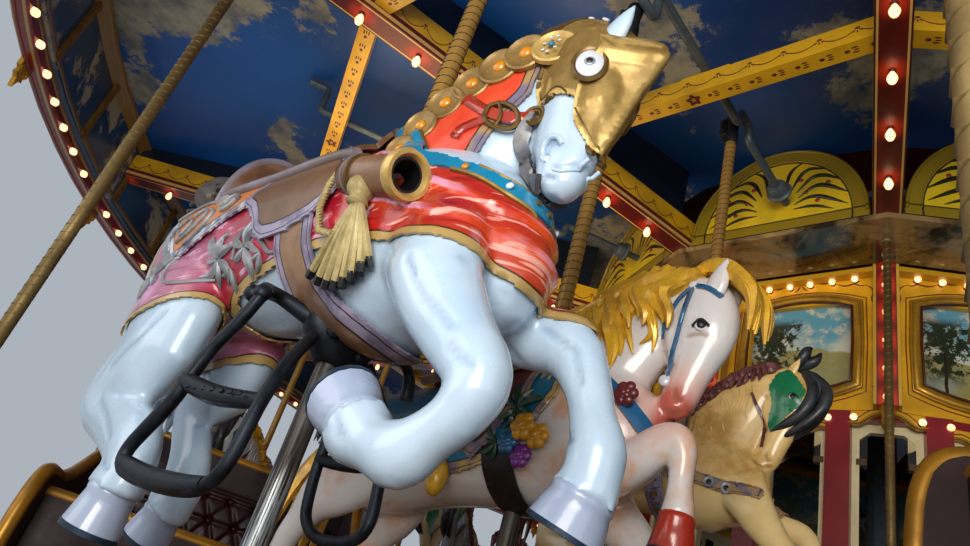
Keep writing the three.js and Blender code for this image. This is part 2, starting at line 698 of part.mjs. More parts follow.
function buildHorses() {
  const carved = horseBody();
  bayAngles().forEach((polar, bay) => {
    if (CHARIOT_BAYS.includes(bay)) {
      return;
    }
    for (const row of Object.keys(ROW_RADII)) {
      const rise = horseRise(row, bay);
      const size = ROW_SCALES[row];
      const saddleHeight = ROW_SADDLES[row] + rise;
      const body = carved.clone().scale(size, size, size);
      const pole = horsePole(rise, saddleHeight);
      const [x, y] = onPolar(ROW_RADII[row], polar);
      const place = new THREE.Group();
      place.position.set(x, y, saddleHeight);
      place.rotation.z = THREE.MathUtils.degToRad(polar);
      carousel.add(place);
      const name = `${row}_horse_${bay + 1}`;
      if (row === 'outer' && bay === 0) {
        buildLeadHorse(name, body, pole, place);
      } else {
        const footBar = block(
          FOOT_BAR_LENGTH,
          FOOT_BAR_THICKNESS,
          FOOT_BAR_THICKNESS,
          0,
          0,
          -FOOT_REST_DROP * size,
        );
        addPiece(name, join([body, pole, footBar]), row === 'outer' ? 'white' : 'tan', place);
      }
    }
  });
}

function buildLeadHorse(name, body, pole, place) {
  const bore = prism(polygon(POLE_HOLE_RADIUS, POLE_SIDES), [], -900, 900);
  addPiece(name, cut(body, [bore]), 'white', place);
  addPiece(`${name}_pole`, pole, 'brass', place);
  addPiece(`${name}_foot_rest`, cut(footRest(), [bore]), 'castIron', place);
}

// The foot rest clamped on the pole under the belly: a clamp, two arms and a loop on each side.
function footRest() {
  const clamp = block(110, 130, 70, 0, 0, -FOOT_REST_DROP - 20);
  const arms = block(520, 34, 30, 0, 0, -FOOT_REST_DROP - 20);
  const loops = [-250, 250].map((sideways) => {
    const outer = slab([[-150, -40], [130, 0], [250, -260], [190, -420], [-40, -420], [-120, -260]]
      .map(([forward, up]) => [forward, up - FOOT_REST_DROP]), 26, sideways);
    const inner = slab([[-110, -70], [100, -40], [208, -262], [160, -386], [-20, -386], [-88, -262]]
      .map(([forward, up]) => [forward, up - FOOT_REST_DROP]), 60, sideways);
    return cut(outer, [inner]);
  });
  return join([clamp, arms, ...loops]);
}

// Chariots for seated riders, across the rows of their bays.
const CHARIOT_RADIUS = 3800;
const CHARIOT_SIDE_THICKNESS = 50;
const CHARIOT_INSIDE = 1220;
const CHARIOT_BOARD_WIDTH = CHARIOT_INSIDE + 10;
const CUSHION_WIDTH = 1200;

function buildChariot(name, polar) {
  const place = new THREE.Group();
  const [x, y] = onPolar(CHARIOT_RADIUS, polar);
  place.position.set(x, y, DECK_TOP);
  place.rotation.z = THREE.MathUtils.degToRad(polar);
  carousel.add(place);
  const sideOutline = new THREE.Shape([
    new THREE.Vector2(-720, 0),
    new THREE.Vector2(620, 0),
    new THREE.Vector2(760, 220),
    new THREE.Vector2(700, 520),
    new THREE.Vector2(380, 560),
    new THREE.Vector2(120, 640),
    new THREE.Vector2(-260, 820),
    new THREE.Vector2(-560, 1060),
    new THREE.Vector2(-800, 1020),
    new THREE.Vector2(-820, 520),
  ]);
  const side = new THREE.ExtrudeGeometry(sideOutline, { depth: CHARIOT_SIDE_THICKNESS, bevelEnabled: false });
  side.rotateX(Math.PI / 2).rotateZ(Math.PI / 2);
  const outer = side.clone().translate(CHARIOT_INSIDE / 2, 0, 0);
  const inner = side.clone().translate(-CHARIOT_INSIDE / 2 - CHARIOT_SIDE_THICKNESS, 0, 0);
  const floor = block(CHARIOT_BOARD_WIDTH, 1340, 50, 0, -50, 25);
  const backBoard = block(CHARIOT_BOARD_WIDTH, 40, 700, 0, -700, 680);
  const seatBox = block(CHARIOT_BOARD_WIDTH, 420, 330, 0, -470, 190);
  const dash = block(CHARIOT_BOARD_WIDTH, 40, 460, 0, 600, 250);
  addPiece(name, join([outer, inner, floor, backBoard, seatBox, dash]), 'gold', place);
  const cushion = block(CUSHION_WIDTH, 420, 110, 0, -468, 412);
  const backPad = block(CUSHION_WIDTH, 90, 520, 0, -633, 615);
  addPiece(`${name}_seat`, join([cushion, backPad]), 'maroon', place);
}

buildBase();
buildDeck();
buildSweeps();
buildCranks();
buildCeiling();
buildLunettes();
buildDrum();
buildHousing();
buildRim();
buildHorses();
CHARIOT_BAYS.forEach((bay, index) => buildChariot(`chariot_${index + 1}`, bayAngles()[bay]));

export default carousel;
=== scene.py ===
# %% [markdown]
# # A roundabout of jumping horses
# The real object is a travelling-fair roundabout: a turntable hung by rods from twelve sweeps,
# three rows of jumping horses on cranks, a painted ceiling, a picture drum round the machinery
# and a rim of bulbs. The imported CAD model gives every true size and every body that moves, so
# this file only dresses it: finer pieces where the solids are plain, and a paint for every node.

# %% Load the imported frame
import json
import math
import random
import bmesh
import bpy
import numpy as np
from mathutils import Matrix, Vector

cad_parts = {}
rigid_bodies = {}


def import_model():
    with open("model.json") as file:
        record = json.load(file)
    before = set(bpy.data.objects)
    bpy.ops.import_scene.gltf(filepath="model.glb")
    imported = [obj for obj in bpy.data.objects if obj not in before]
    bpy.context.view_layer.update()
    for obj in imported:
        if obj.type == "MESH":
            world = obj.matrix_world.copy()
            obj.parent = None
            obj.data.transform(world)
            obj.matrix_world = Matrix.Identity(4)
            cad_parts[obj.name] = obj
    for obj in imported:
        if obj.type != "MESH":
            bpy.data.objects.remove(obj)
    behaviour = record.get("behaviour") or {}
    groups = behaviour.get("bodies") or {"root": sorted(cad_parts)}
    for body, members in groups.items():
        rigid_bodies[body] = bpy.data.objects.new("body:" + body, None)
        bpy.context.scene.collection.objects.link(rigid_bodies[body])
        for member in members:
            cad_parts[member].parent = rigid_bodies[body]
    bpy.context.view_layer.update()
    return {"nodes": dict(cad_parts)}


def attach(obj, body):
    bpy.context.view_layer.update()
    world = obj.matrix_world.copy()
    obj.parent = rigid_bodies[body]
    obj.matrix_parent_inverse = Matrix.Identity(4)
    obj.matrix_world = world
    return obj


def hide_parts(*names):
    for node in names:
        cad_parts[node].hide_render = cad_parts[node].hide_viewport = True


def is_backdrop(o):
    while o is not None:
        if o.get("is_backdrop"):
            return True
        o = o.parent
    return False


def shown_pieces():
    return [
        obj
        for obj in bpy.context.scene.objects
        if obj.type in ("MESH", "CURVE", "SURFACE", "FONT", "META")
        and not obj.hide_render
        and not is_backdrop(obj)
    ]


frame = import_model()

# %% [markdown]
# The roundabout has twelve equal bays. A sweep, a long radial beam, lies between two bays, and
# a row of horses stands in the middle of a bay. Nearly every piece is modelled once at its place
# on one sweep or in one bay and then copied round the axis, so the angles come first.

# %% Angles and places
SWEEP_ANGLES = [-30.0 * k for k in range(12)]
BAY_ANGLES = [-15.0 - 30.0 * k for k in range(12)]
CHARIOT_BAYS = [1, 5, 7, 11]
HORSE_BAYS = [k for k in range(12) if k not in CHARIOT_BAYS]


def on_polar(radius, degrees, height=0.0, aside=0.0):
    """A point at a radius and angle about the axis, moved sideways in its bay."""
    turn = math.radians(degrees)
    return Vector((radius * math.cos(turn) - aside * math.sin(turn),
                   radius * math.sin(turn) + aside * math.cos(turn), height))


def about_axis(degrees):
    return Matrix.Rotation(math.radians(degrees), 4, "Z")


print("bays:", len(BAY_ANGLES), "with horses in", len(HORSE_BAYS))

# %% [markdown]
# The camera stands where the photographer crouched on the deck's edge, close under the leading
# horse, tilted upwards and rolled a little. Its turn is written as heading, pitch and roll, and
# the lens follows from a focal length measured in pixels of a 970-pixel-wide picture.

# %% Camera
CAMERA_PLACE = Vector((5.2993, -0.0832, 0.70))
CAMERA_HEADING, CAMERA_PITCH, CAMERA_ROLL = 212.37, 29.6, 17.5
FOCAL_PIXELS, PICTURE_WIDTH = 728.0, 970.0


def camera_axes():
    heading, pitch, roll = (math.radians(v) for v in (CAMERA_HEADING, CAMERA_PITCH, CAMERA_ROLL))
    level = Vector((math.cos(heading), math.sin(heading), 0))
    level_right = Vector((math.sin(heading), -math.cos(heading), 0))
    forward = level * math.cos(pitch) + Vector((0, 0, math.sin(pitch)))
    level_up = Vector((0, 0, math.cos(pitch))) - level * math.sin(pitch)
    right = level_right * math.cos(roll) + level_up * math.sin(roll)
    up = level_up * math.cos(roll) - level_right * math.sin(roll)
    return right, up, forward


bpy.ops.object.camera_add(location=CAMERA_PLACE)
camera = bpy.context.object
camera.name = "camera"
right, up, forward = camera_axes()
camera.matrix_world = Matrix.Translation(CAMERA_PLACE) @ Matrix((right, up, -forward)).transposed().to_4x4()
camera.data.sensor_width = 36.0
camera.data.lens = 36.0 * FOCAL_PIXELS / PICTURE_WIDTH
camera.data.clip_start = 0.05
bpy.context.scene.camera = camera
print("lens", round(camera.data.lens, 2), "mm")

# %% [markdown]
# Daylight comes in from outside, all round and from below off the pale ground, and the roof
# keeps it off from above. A pale sky colour, one broad soft light on the outer side of the
# leading horse, a weaker one in front of it and one that reaches in to the drum give that. Warm
# soft lights hang inside, where the real bulbs shine on the drum and the ceiling.

# %% Floor, sky and lights
def deselect():
    if bpy.context.object and bpy.context.object.mode != "OBJECT":
        bpy.ops.object.mode_set(mode="OBJECT")
    bpy.ops.object.select_all(action="DESELECT")


def soft_light(name, place, target, size, watts, colour, fan=180):
    deselect()
    bpy.ops.object.light_add(type="AREA", location=place)
    light = bpy.context.object
    light.name = name
    light.rotation_euler = (Vector(target) - Vector(place)).to_track_quat("-Z", "Y").to_euler()
    light.data.size = size
    light.data.energy = watts
    light.data.color = colour
    light.data.spread = math.radians(fan)
    return light


deselect()
bpy.ops.mesh.primitive_plane_add(size=60, location=(0, 0, -0.002))
floor = bpy.context.object
floor.name = "floor"
floor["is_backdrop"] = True

sky = bpy.data.worlds.new("soft sky")
sky.use_nodes = True
sky.node_tree.nodes["Background"].inputs["Color"].default_value = (0.82, 0.90, 1.0, 1)
sky.node_tree.nodes["Background"].inputs["Strength"].default_value = 0.50
bpy.context.scene.world = sky
bpy.context.scene.view_settings.view_transform = "Standard"
bpy.context.scene.view_settings.look = "None"

LEAD_PLACE = on_polar(4.31, -15, 1.6)
soft_light("day_outside", on_polar(9.5, -32, 3.2), LEAD_PLACE, 4.0, 82, (1.0, 0.99, 0.97))
soft_light("day_low", on_polar(7.6, 22, 1.0), LEAD_PLACE, 3.0, 15, (0.85, 0.94, 1.0), 120)
soft_light("day_drum", on_polar(7.6, 2, 1.6), on_polar(1.7, -18, 2.9), 2.0, 70, (1.0, 0.95, 0.86), 120)
for turn in (0, 120, 240):
    soft_light("bulb_glow_%d" % turn, on_polar(3.4, turn - 40, 2.7), on_polar(3.2, turn - 40, 4.0), 1.6, 20,
               (1.0, 0.72, 0.42))

# %% [markdown]
# Paints are written as arithmetic. A **Signal** is one number that varies over a surface, and
# adding, multiplying or comparing signals adds the Math nodes that do it. A **Finish** is one
# paint, wood or metal: it makes any other node, mixes colours, and feeds the shader.

# %% Shader arithmetic
def tint(code):
    """A colour from its screen code, as the linear values that shaders use."""
    parts = [int(code[i:i + 2], 16) / 255 for i in (1, 3, 5)]
    return tuple(v / 12.92 if v <= 0.04045 else ((v + 0.055) / 1.055) ** 2.4 for v in parts) + (1.0,)


class Signal:
    """A number socket of a finish, with arithmetic."""

    def __init__(self, finish, socket):
        self.finish = finish
        self.socket = socket

    def __add__(self, other):
        return self.finish.math("ADD", self, other)

    __radd__ = __add__

    def __sub__(self, other):
        return self.finish.math("SUBTRACT", self, other)

    def __rsub__(self, other):
        return self.finish.math("SUBTRACT", other, self)

    def __mul__(self, other):
        return self.finish.math("MULTIPLY", self, other)

    __rmul__ = __mul__

    def __truediv__(self, other):
        return self.finish.math("DIVIDE", self, other)

    def __abs__(self):
        return self.finish.math("ABSOLUTE", self)

    def over(self, edge, soft=0.001):
        """1 where the signal is above the edge, 0 below it, with a soft step between."""
        return self.finish.step(self, edge, soft)

    def under(self, edge, soft=0.001):
        return 1 - self.over(edge, soft)

    def within(self, low, high, soft=0.001):
        return self.over(low, soft) * self.under(high, soft)

    def near(self, value, half, soft=0.001):
        return abs(self - value).under(half, soft)

    def either(self, other):
        return self.finish.math("MAXIMUM", self, other)


class Finish:
    """One procedural paint, wood or metal."""

    def __init__(self, name):
        self.material = bpy.data.materials.new(name)
        self.material.use_nodes = True
        self.tree = self.material.node_tree
        self.shader = self.tree.nodes["Principled BSDF"]
        self.place = self.node("ShaderNodeTexCoord").outputs["Object"]

    def feed(self, socket, value):
        value = value.socket if isinstance(value, Signal) else value
        if isinstance(value, bpy.types.NodeSocket):
            self.tree.links.new(value, socket)
        else:
            socket.default_value = value

    def node(self, kind, settings=None, inputs=None):
        made = self.tree.nodes.new(kind)
        for name, value in (settings or {}).items():
            setattr(made, name, value)
        for name, value in (inputs or {}).items():
            self.feed(made.inputs[name], value)
        return made

    def math(self, operation, *values):
        made = self.node("ShaderNodeMath", {"operation": operation}, dict(enumerate(values)))
        return Signal(self, made.outputs[0])

    def step(self, value, edge, soft):
        made = self.node("ShaderNodeMapRange", {"interpolation_type": "SMOOTHSTEP"},
                         {"Value": value, "From Min": edge - soft, "From Max": edge + soft})
        return Signal(self, made.outputs["Result"])

    def axes(self, vector=None):
        parts = self.node("ShaderNodeSeparateXYZ", None, {0: vector or self.place})
        return [Signal(self, parts.outputs[i]) for i in range(3)]

    def vector(self, x, y, z):
        return self.node("ShaderNodeCombineXYZ", None, {0: x, 1: y, 2: z}).outputs[0]

    def attribute(self, name):
        return Signal(self, self.node("ShaderNodeAttribute", {"attribute_name": name}).outputs["Fac"])

    def attribute_vector(self, name):
        return self.node("ShaderNodeAttribute", {"attribute_name": name}).outputs["Vector"]

    def noise(self, scale, detail=3.0, roughness=0.55, at=None, distortion=0.0):
        made = self.node("ShaderNodeTexNoise", None, {
            "Vector": at or self.place, "Scale": scale, "Detail": detail, "Roughness": roughness,
            "Distortion": distortion})
        return Signal(self, made.outputs[0])

    def cells(self, scale, at):
        made = self.node("ShaderNodeTexVoronoi", None, {"Vector": at, "Scale": scale})
        return Signal(self, made.outputs["Distance"])

    def mix(self, below, above, share):
        made = self.node("ShaderNodeMix", {"data_type": "RGBA"},
                         {0: share, 6: below, 7: above})
        return made.outputs[2]

    def use(self, colour, roughness=0.5, metallic=0.0, coat=0.0, height=None, strength=0.5, depth=0.004,
            glow=None):
        """Feeds the shader: constants straight to its sockets, varying values by links."""
        self.feed(self.shader.inputs["Base Color"], colour)
        self.feed(self.shader.inputs["Roughness"], roughness)
        self.feed(self.shader.inputs["Metallic"], metallic)
        self.feed(self.shader.inputs["Coat Weight"], coat)
        if coat:
            self.shader.inputs["Coat Roughness"].default_value = 0.12
        if height is not None:
            bump = self.node("ShaderNodeBump", None, {"Strength": strength, "Distance": depth, "Height": height})
            self.feed(self.shader.inputs["Normal"], bump.outputs[0])
        if glow is not None:
            self.feed(self.shader.inputs["Emission Color"], glow[0])
            self.shader.inputs["Emission Strength"].default_value = glow[1]
        return self


def dress(finish, *nodes):
    """Gives CAD nodes this finish in place of their plain one."""
    for name in nodes:
        for slot in frame["nodes"][name].material_slots:
            slot.material = finish.material


def worn(finish, colour, dirt, amount=0.35, scale=5.0):
    """A colour with blotches of dirt, as old gloss paint has."""
    blotch = finish.noise(scale, 4).over(0.52, 0.16) * amount
    return finish.mix(colour, dirt, blotch)


pale = Finish("pale floor")
pale.use(worn(pale, tint("#d9d8d4"), tint("#cfcdc8"), 0.5, 0.8), 0.85)
floor.data.materials.append(pale.material)
print("finishes can be mixed")

# %% [markdown]
# Ornament on the frame repeats in every bay, so its paint is written once in *folded*
# coordinates: the angle about the axis is wrapped to the nearest sweep or the nearest bay
# middle, which gives a distance along it, a distance aside and the height.

# %% Folded coordinates
def folded(finish, shift):
    """(along, aside, height, number) from the nearest of twelve directions, shift degrees off the sweeps."""
    x, y, z = finish.axes()
    radius = finish.math("SQRT", x * x + y * y)
    turn = (finish.math("ARCTAN2", y, x) + math.radians(shift)) / math.radians(30)
    number = finish.math("ROUND", turn)
    off = (turn - number) * math.radians(30)
    return radius * finish.math("COSINE", off), radius * finish.math("SINE", off), z, number


def spaced(finish, value, spacing):
    """Distance to the nearest of marks that lie a spacing apart, with its sign."""
    share = value / spacing
    return (share - finish.math("ROUND", share)) * spacing


def blob(dx, dy, across, high, soft=0.25):
    """A small filled oval."""
    return (dx * dx * (1 / across ** 2) + dy * dy * (1 / high ** 2)).under(1.0, soft)


def swags(finish, along, height, spacing, knot, sag):
    """Painted festoons: knots in a row, a drooping line between two, and strokes like petals below each."""
    dx = spaced(finish, along, spacing)
    dy = height - knot
    share = abs(dx) / spacing
    droop = knot - sag * 4 * share * (1 - share)
    line = abs(height - droop).under(0.0032, 0.001) * share.over(0.09, 0.01)
    dot = blob(dx, dy, 0.0105, 0.0065)
    reach = finish.math("SQRT", dx * dx + dy * dy)
    fan = finish.math("ARCTAN2", dx, knot - height)
    petals = finish.math("COSINE", fan * 9).over(0.2, 0.3) * abs(fan).under(1.15, 0.1) * reach.within(0.011, 0.026,
                                                                                                      0.002)
    return line.either(dot).either(petals)


def leaf_marks(finish, along, aside, spacing):
    """A row of painted buds with three leaves each, as under the beams."""
    dx = spaced(finish, along, spacing)
    bud = blob(dx + 0.020, aside, 0.011, 0.008)
    outer = blob(dx - 0.010, abs(aside) - 0.012, 0.013, 0.0042)
    middle = blob(dx - 0.014, aside, 0.012, 0.0034)
    return bud.either(outer).either(middle)


print("folded paint helpers ready")

# %% [markdown]
# ** Sweeps and beams.** A sweep is red underneath, with a row of bulbs. Up its side run a gold
# line, a maroon band, a yellow band with painted festoons and the navy rafter board. The beams
# between the sweeps are yellow with the same festoons on their sides and buds underneath. All
# of that is flat paint, so it is drawn in the shader at true size and needs no geometry. Round
# each bulb the red is painted orange and made to glow faintly: painted bulb light.

# %% Paint of the sweeps and beams
SWEEP_BOTTOM, BEAM_BOTTOM = 3.200, 3.240
SWEEP_BULB_FIRST, SWEEP_BULB_SPACING, SWEEP_BULBS = 2.376, 0.32, 10


def sweep_finish():
    paint = Finish("sweep paint")
    along, aside, z, _ = folded(paint, 0)
    bay_along, bay_aside, _, _ = folded(paint, 15)
    up = z - SWEEP_BOTTOM
    yellow = worn(paint, tint("#d8a516"), tint("#8f6a12"), 0.55, 4.0)
    maroon = tint("#54100f")
    gold = tint("#c9a25a")
    on_side = swags(paint, along + 0.04, up, 0.145, 0.125, 0.05) * up.within(0.07, 0.175)
    side = paint.mix(yellow, maroon, on_side)
    side = paint.mix(side, maroon, up.within(0.036, 0.060, 0.002))
    side = paint.mix(side, gold, up.within(0.012, 0.034, 0.002))
    side = paint.mix(side, tint("#7a1512"), up.under(0.014, 0.002))
    bulb = spaced(paint, along - SWEEP_BULB_FIRST, SWEEP_BULB_SPACING)
    ring = paint.math("SQRT", bulb * bulb + aside * aside * 1.4)
    # painted light: a pool of warm bulb light on the red underside round each bulb
    warm = ring.under(0.050, 0.045)
    red = worn(paint, tint("#5e0605"), tint("#340605"), 0.6, 6.0)
    under = paint.mix(red, tint("#c8300f"), warm * 0.6)
    under = paint.mix(under, gold, abs(aside).within(0.050, 0.058, 0.001))
    under = paint.mix(under, tint("#2c0a08"), abs(aside).over(0.060, 0.001))
    sweep = paint.mix(side, under, up.under(0.0015, 0.001))
    beam_up = z - BEAM_BOTTOM
    beam_side = paint.mix(yellow, maroon, swags(paint, bay_aside + 0.02, beam_up, 0.144, 0.074,
                                                0.034) * beam_up.under(0.112))
    middle = bay_along - 3.040
    middle = middle - middle.over(0.5, 0.01) * 1.070
    marks = leaf_marks(paint, bay_aside, middle, 0.096) * abs(bay_aside).over(0.07)
    spokes = paint.math("COSINE", paint.math("ARCTAN2", bay_aside, middle) * 5)
    reach = paint.math("SQRT", bay_aside * bay_aside + middle * middle)
    rosette = (reach - spokes * 0.006).within(0.008, 0.029, 0.002)
    beam_under = paint.mix(yellow, maroon, marks.either(rosette))
    beam = paint.mix(beam_side, beam_under, beam_up.under(0.0015, 0.001))
    colour = paint.mix(beam, sweep, abs(aside).under(0.0655, 0.0003))
    # painted light: round each bulb the underside also glows faintly, though the sweep is no lamp
    return paint.use(colour, 0.32 + paint.noise(9) * 0.2, coat=0.3, height=paint.noise(60, 2), strength=0.12,
                     depth=0.003, glow=(paint.mix(tint("#000000"), tint("#ff4a1c"), warm * up.under(0.0015, 0.001)
                                                  * abs(aside).under(0.060, 0.001) * along.over(2.2)), 0.12))


dress(sweep_finish(), "sweeps_and_beams")
print("sweeps painted")

# %% [markdown]
# **Ceiling.** The flat boards between the sweeps are painted as a deep blue sky with ragged clouds.
# Two noises make the clouds: a broad one for where they lie and a fine one for their torn
# edges. The rafter boards over the sweeps stand upright and are plain navy.

# %% Paint of the ceiling
def ceiling_finish():
    paint = Finish("painted sky")
    x, y, z = paint.axes()
    normal = paint.node("ShaderNodeNewGeometry").outputs["Normal"]
    level = abs(paint.axes(normal)[2])
    at = paint.vector(x * 1.0, y * 1.0, z * 0.4)
    broad = paint.noise(1.25, 2.5, 0.5, at, 0.35)
    torn = paint.noise(7.0, 8.0, 0.78, at)
    cloud = broad + (torn - 0.5) * 0.42
    mask = cloud.over(0.57, 0.02)
    veil = cloud.over(0.54, 0.05) * 0.18
    shade = paint.noise(4.5, 5, 0.6)
    cloud_colour = paint.mix(tint("#5f6468"), tint("#a9a794"), shade.over(0.47, 0.14))
    blue = paint.mix(tint("#062a5c"), tint("#0658b4"), paint.noise(0.5, 2).over(0.5, 0.2))
    colour = paint.mix(blue, tint("#4d6a8c"), veil)
    colour = paint.mix(colour, cloud_colour, mask * 0.92)
    colour = paint.mix(tint("#0b1424"), colour, level.over(0.5, 0.1))
    return paint.use(colour, 0.40, coat=0.12, height=paint.noise(30, 3), strength=0.1, depth=0.004)


dress(ceiling_finish(), "ceiling")

# %% [markdown]
# ** Soffit, drum and posts.** The soffit under the lunettes is varnished dark cloud that mirrors
# the bulbs. The drum is yellow, its posts red with gold edges and painted bulb light round each
# bulb, and each picture panel holds a plain painted landscape: a pale sky, hills, water and leafy
# trees made of noise.

# %% Paint of soffit, drum, posts and pictures
def soffit_finish():
    paint = Finish("varnished cloud soffit")
    cloud = paint.noise(2.6, 7, 0.65, None, 0.6)
    colour = paint.mix(tint("#2e2210"), tint("#a5885a"), cloud.over(0.50, 0.09))
    colour = paint.mix(colour, tint("#3c2c17"), paint.noise(1.1).over(0.5, 0.1) * 0.5)
    return paint.use(colour, 0.12, coat=0.8, height=paint.noise(3, 2), strength=0.1, depth=0.01)


def drum_finish():
    paint = Finish("drum yellow")
    colour = worn(paint, tint("#ecb01c"), tint("#b08014"), 0.6, 5.0)
    return paint.use(colour, 0.34, coat=0.3, height=paint.noise(24, 3), strength=0.15, depth=0.003)


def picture_finish():
    paint = Finish("landscape picture")
    _, aside, z, number = folded(paint, 15)
    at = paint.vector(aside, z, number * 3.7)
    wobble = paint.noise(5.0, 5, 0.6, at)
    sky = paint.mix(tint("#cfd3c0"), tint("#5fa0b8"), (z - 2.5 + (wobble - 0.5) * 0.5).over(0.30, 0.10))
    sky = paint.mix(sky, tint("#d8d2ba"), paint.noise(8.0, 6, 0.7, at).over(0.55, 0.05) * 0.8)
    hill = (z - 2.52 + paint.noise(2.3, 2, 0.5, at) * -0.34).under(0.02, 0.006)
    scene = paint.mix(sky, paint.mix(tint("#7a8252"), tint("#b3a468"), paint.noise(14, 4, 0.6, at)), hill)
    water = z.within(2.52, 2.615, 0.012) * paint.noise(1.7, 1, 0.5, at).over(0.44, 0.04)
    scene = paint.mix(scene, paint.mix(tint("#5f7d84"), tint("#b9b79d"), paint.noise(40, 3, 0.6, at)), water * 0.8)
    leaves = (paint.noise(26, 5, 0.75, at) + abs(aside + 0.16) * -1.3 + (z - 2.7) * 0.25).over(0.40, 0.03)
    scene = paint.mix(scene, tint("#26301d"), leaves * z.over(2.60, 0.05) * z.under(2.93, 0.03))
    trunk = abs(aside + 0.155 + (wobble - 0.5) * 0.04).under(0.007, 0.002) * z.within(2.53, 2.75)
    scene = paint.mix(scene, tint("#2d2318"), trunk)
    vignette = abs(aside).over(0.22, 0.05) * 0.35
    return paint.use(paint.mix(scene, tint("#4c4026"), vignette), 0.3, coat=0.4, height=paint.noise(50),
                     strength=0.1)


def post_finish():
    paint = Finish("red post with gold edges")
    _, aside, z, _ = folded(paint, 0)
    red = worn(paint, tint("#7c0a0b"), tint("#480809"), 0.6, 6.0)
    bulb = spaced(paint, z - 3.204, 0.1616)
    # painted light: an orange pool of bulb light on the red post round each bulb
    warm = paint.math("SQRT", bulb * bulb + aside * aside * 2).under(0.055, 0.05)
    red = paint.mix(red, tint("#e8401e"), warm * 0.7)
    colour = paint.mix(red, tint("#c99d3a"), abs(aside).within(0.045, 0.060, 0.0015))
    colour = paint.mix(colour, tint("#3a0b0a"), abs(aside).near(0.044, 0.0018, 0.001))
    beyond = abs(aside).over(0.061, 0.001)
    # painted light: round each bulb the post also glows faintly, though it is no lamp
    return paint.use(paint.mix(colour, tint("#c8951c"), beyond), 0.3, coat=0.4, height=paint.noise(40),
                     strength=0.1,
                     glow=(paint.mix(tint("#000000"), tint("#ff4a1c"), warm * abs(aside).under(0.045)), 0.12))


dress(soffit_finish(), "soffit")
dress(drum_finish(), "drum_frames")
dress(picture_finish(), "picture_panels")
dress(post_finish(), "drum_posts")
print("drum painted")

# %% [markdown]
# **Housing, rim, roof and deck.** These are plain gloss paints and boards. Each still has what
# tells it from plastic: grain and seams in boards, dirt in the paint, dull patches in brass.

# %% Plain gloss, boards and metals
def gloss(name, colour, dirt, amount=0.4, scale=5.0):
    paint = Finish(name)
    return paint.use(worn(paint, tint(colour), tint(dirt), amount, scale), 0.3 + paint.noise(12) * 0.15,
                     coat=0.35, height=paint.noise(45), strength=0.12, depth=0.003)


def boards(name, light, dark, width, radial=False):
    """Boards side by side, with a dark seam, long grain and a tone of their own."""
    paint = Finish(name)
    x, y, z = paint.axes()
    across = paint.math("ARCTAN2", y, x) * 4.0 if radial else x
    run = paint.math("SQRT", x * x + y * y) if radial else y
    seam = abs(spaced(paint, across, width)).over(width / 2 - 0.004, 0.002)
    number = paint.math("ROUND", across / width)
    grain = paint.noise(3.0, 6, 0.65, paint.vector(across * 14, run * 0.8, number * 5.3))
    tone = paint.noise(1.0, 0, 0.5, paint.vector(number * 7.7, 0.0, 0.0))
    colour = paint.mix(tint(dark), tint(light), grain * 0.6 + tone * 0.6)
    colour = paint.mix(colour, tint("#1c140d"), seam)
    return paint.use(colour, 0.45 + grain * 0.25, height=grain - seam, strength=0.4, depth=0.004)


def metal(name, colour, dull, roughness=0.35, metallic=0.9, scale=14.0):
    paint = Finish(name)
    blotch = paint.noise(scale, 5).over(0.5, 0.2)
    return paint.use(paint.mix(tint(colour), tint(dull), blotch * 0.6), roughness + blotch * 0.25, metallic,
                     height=paint.noise(60, 4), strength=0.25, depth=0.002)


CAST_IRON = metal("cast iron", "#191b20", "#2c3038", 0.42, 0.55)
GREY_STEEL = metal("painted steel", "#56636c", "#39434b", 0.4, 0.35)
OLD_BRASS = metal("old rod brass", "#9a7f45", "#54431f", 0.38, 0.75)
GOLD_PAINT = metal("gold leaf", "#c99525", "#7c5714", 0.32, 0.45)
dress(CAST_IRON, "base_frame")
dress(GREY_STEEL, "centre_mast", "crank_shafts")
dress(boards("deck boards", "#9a7448", "#5f4428", 0.11, True), "deck")
dress(boards("joist wood", "#7c6140", "#4a3722", 0.07), "deck_joists")
dress(gloss("skirt paint", "#7d1713", "#451010"), "deck_skirt")
dress(OLD_BRASS, "outer_drop_rods", "inner_drop_rods")
dress(gloss("housing cream", "#e8d9ac", "#b39c6a"), "housing_wall")
dress(gloss("pillar maroon", "#8a121c", "#4a0c12"), "housing_pillars")
dress(boards("roof boards", "#8a2f24", "#5b1f19", 0.16, True), "roof")
dress(GOLD_PAINT, "roof_cap", "rim_crown")
dress(gloss("rounding boards cream", "#d5c28d", "#a08c5c"), "rounding_boards")
dress(gloss("rim red", "#9b1512", "#5c0f0c"), "rim_bulb_rail")
dress(gloss("cove gold", "#8a6420", "#4f3a15"), "rim_cove")
dress(gloss("lunette yellow", "#d6b21f", "#9d8420"), "lunette_boards")
dress(gloss("chariot brown", "#6b4a1c", "#3a280f"), "chariot_1", "chariot_2", "chariot_3", "chariot_4")
LEATHER = metal("seat leather", "#34091a", "#14040b", 0.30, 0.0, 9.0)
dress(LEATHER, "chariot_1_seat", "chariot_2_seat", "chariot_3_seat", "chariot_4_seat")
HORSE_NODES = [n for n in frame["nodes"] if "_horse_" in n]
dress(gloss("horse white", "#dfe6ea", "#b9cfdd", 0.5, 4.0), *HORSE_NODES)
print("CAD nodes dressed:", len(frame["nodes"]))

# %% [markdown]
# # Tools for carving
# Horses, ropes and scrolls are all built from a few moves. A **loft** starts from a circle and
# extrudes it from ring to ring. A **cord** is a path curve with a round bevel, turned into a
# mesh. A **scatter** copies one small model to many places. `settle` gives a finished piece its
# name and body.

# %% Lofts, cords, copies
def active(obj):
    deselect()
    obj.select_set(True)
    bpy.context.view_layer.objects.active = obj
    return obj


def apply_all(obj):
    active(obj)
    bpy.ops.object.transform_apply(location=True, rotation=True, scale=True)
    return obj


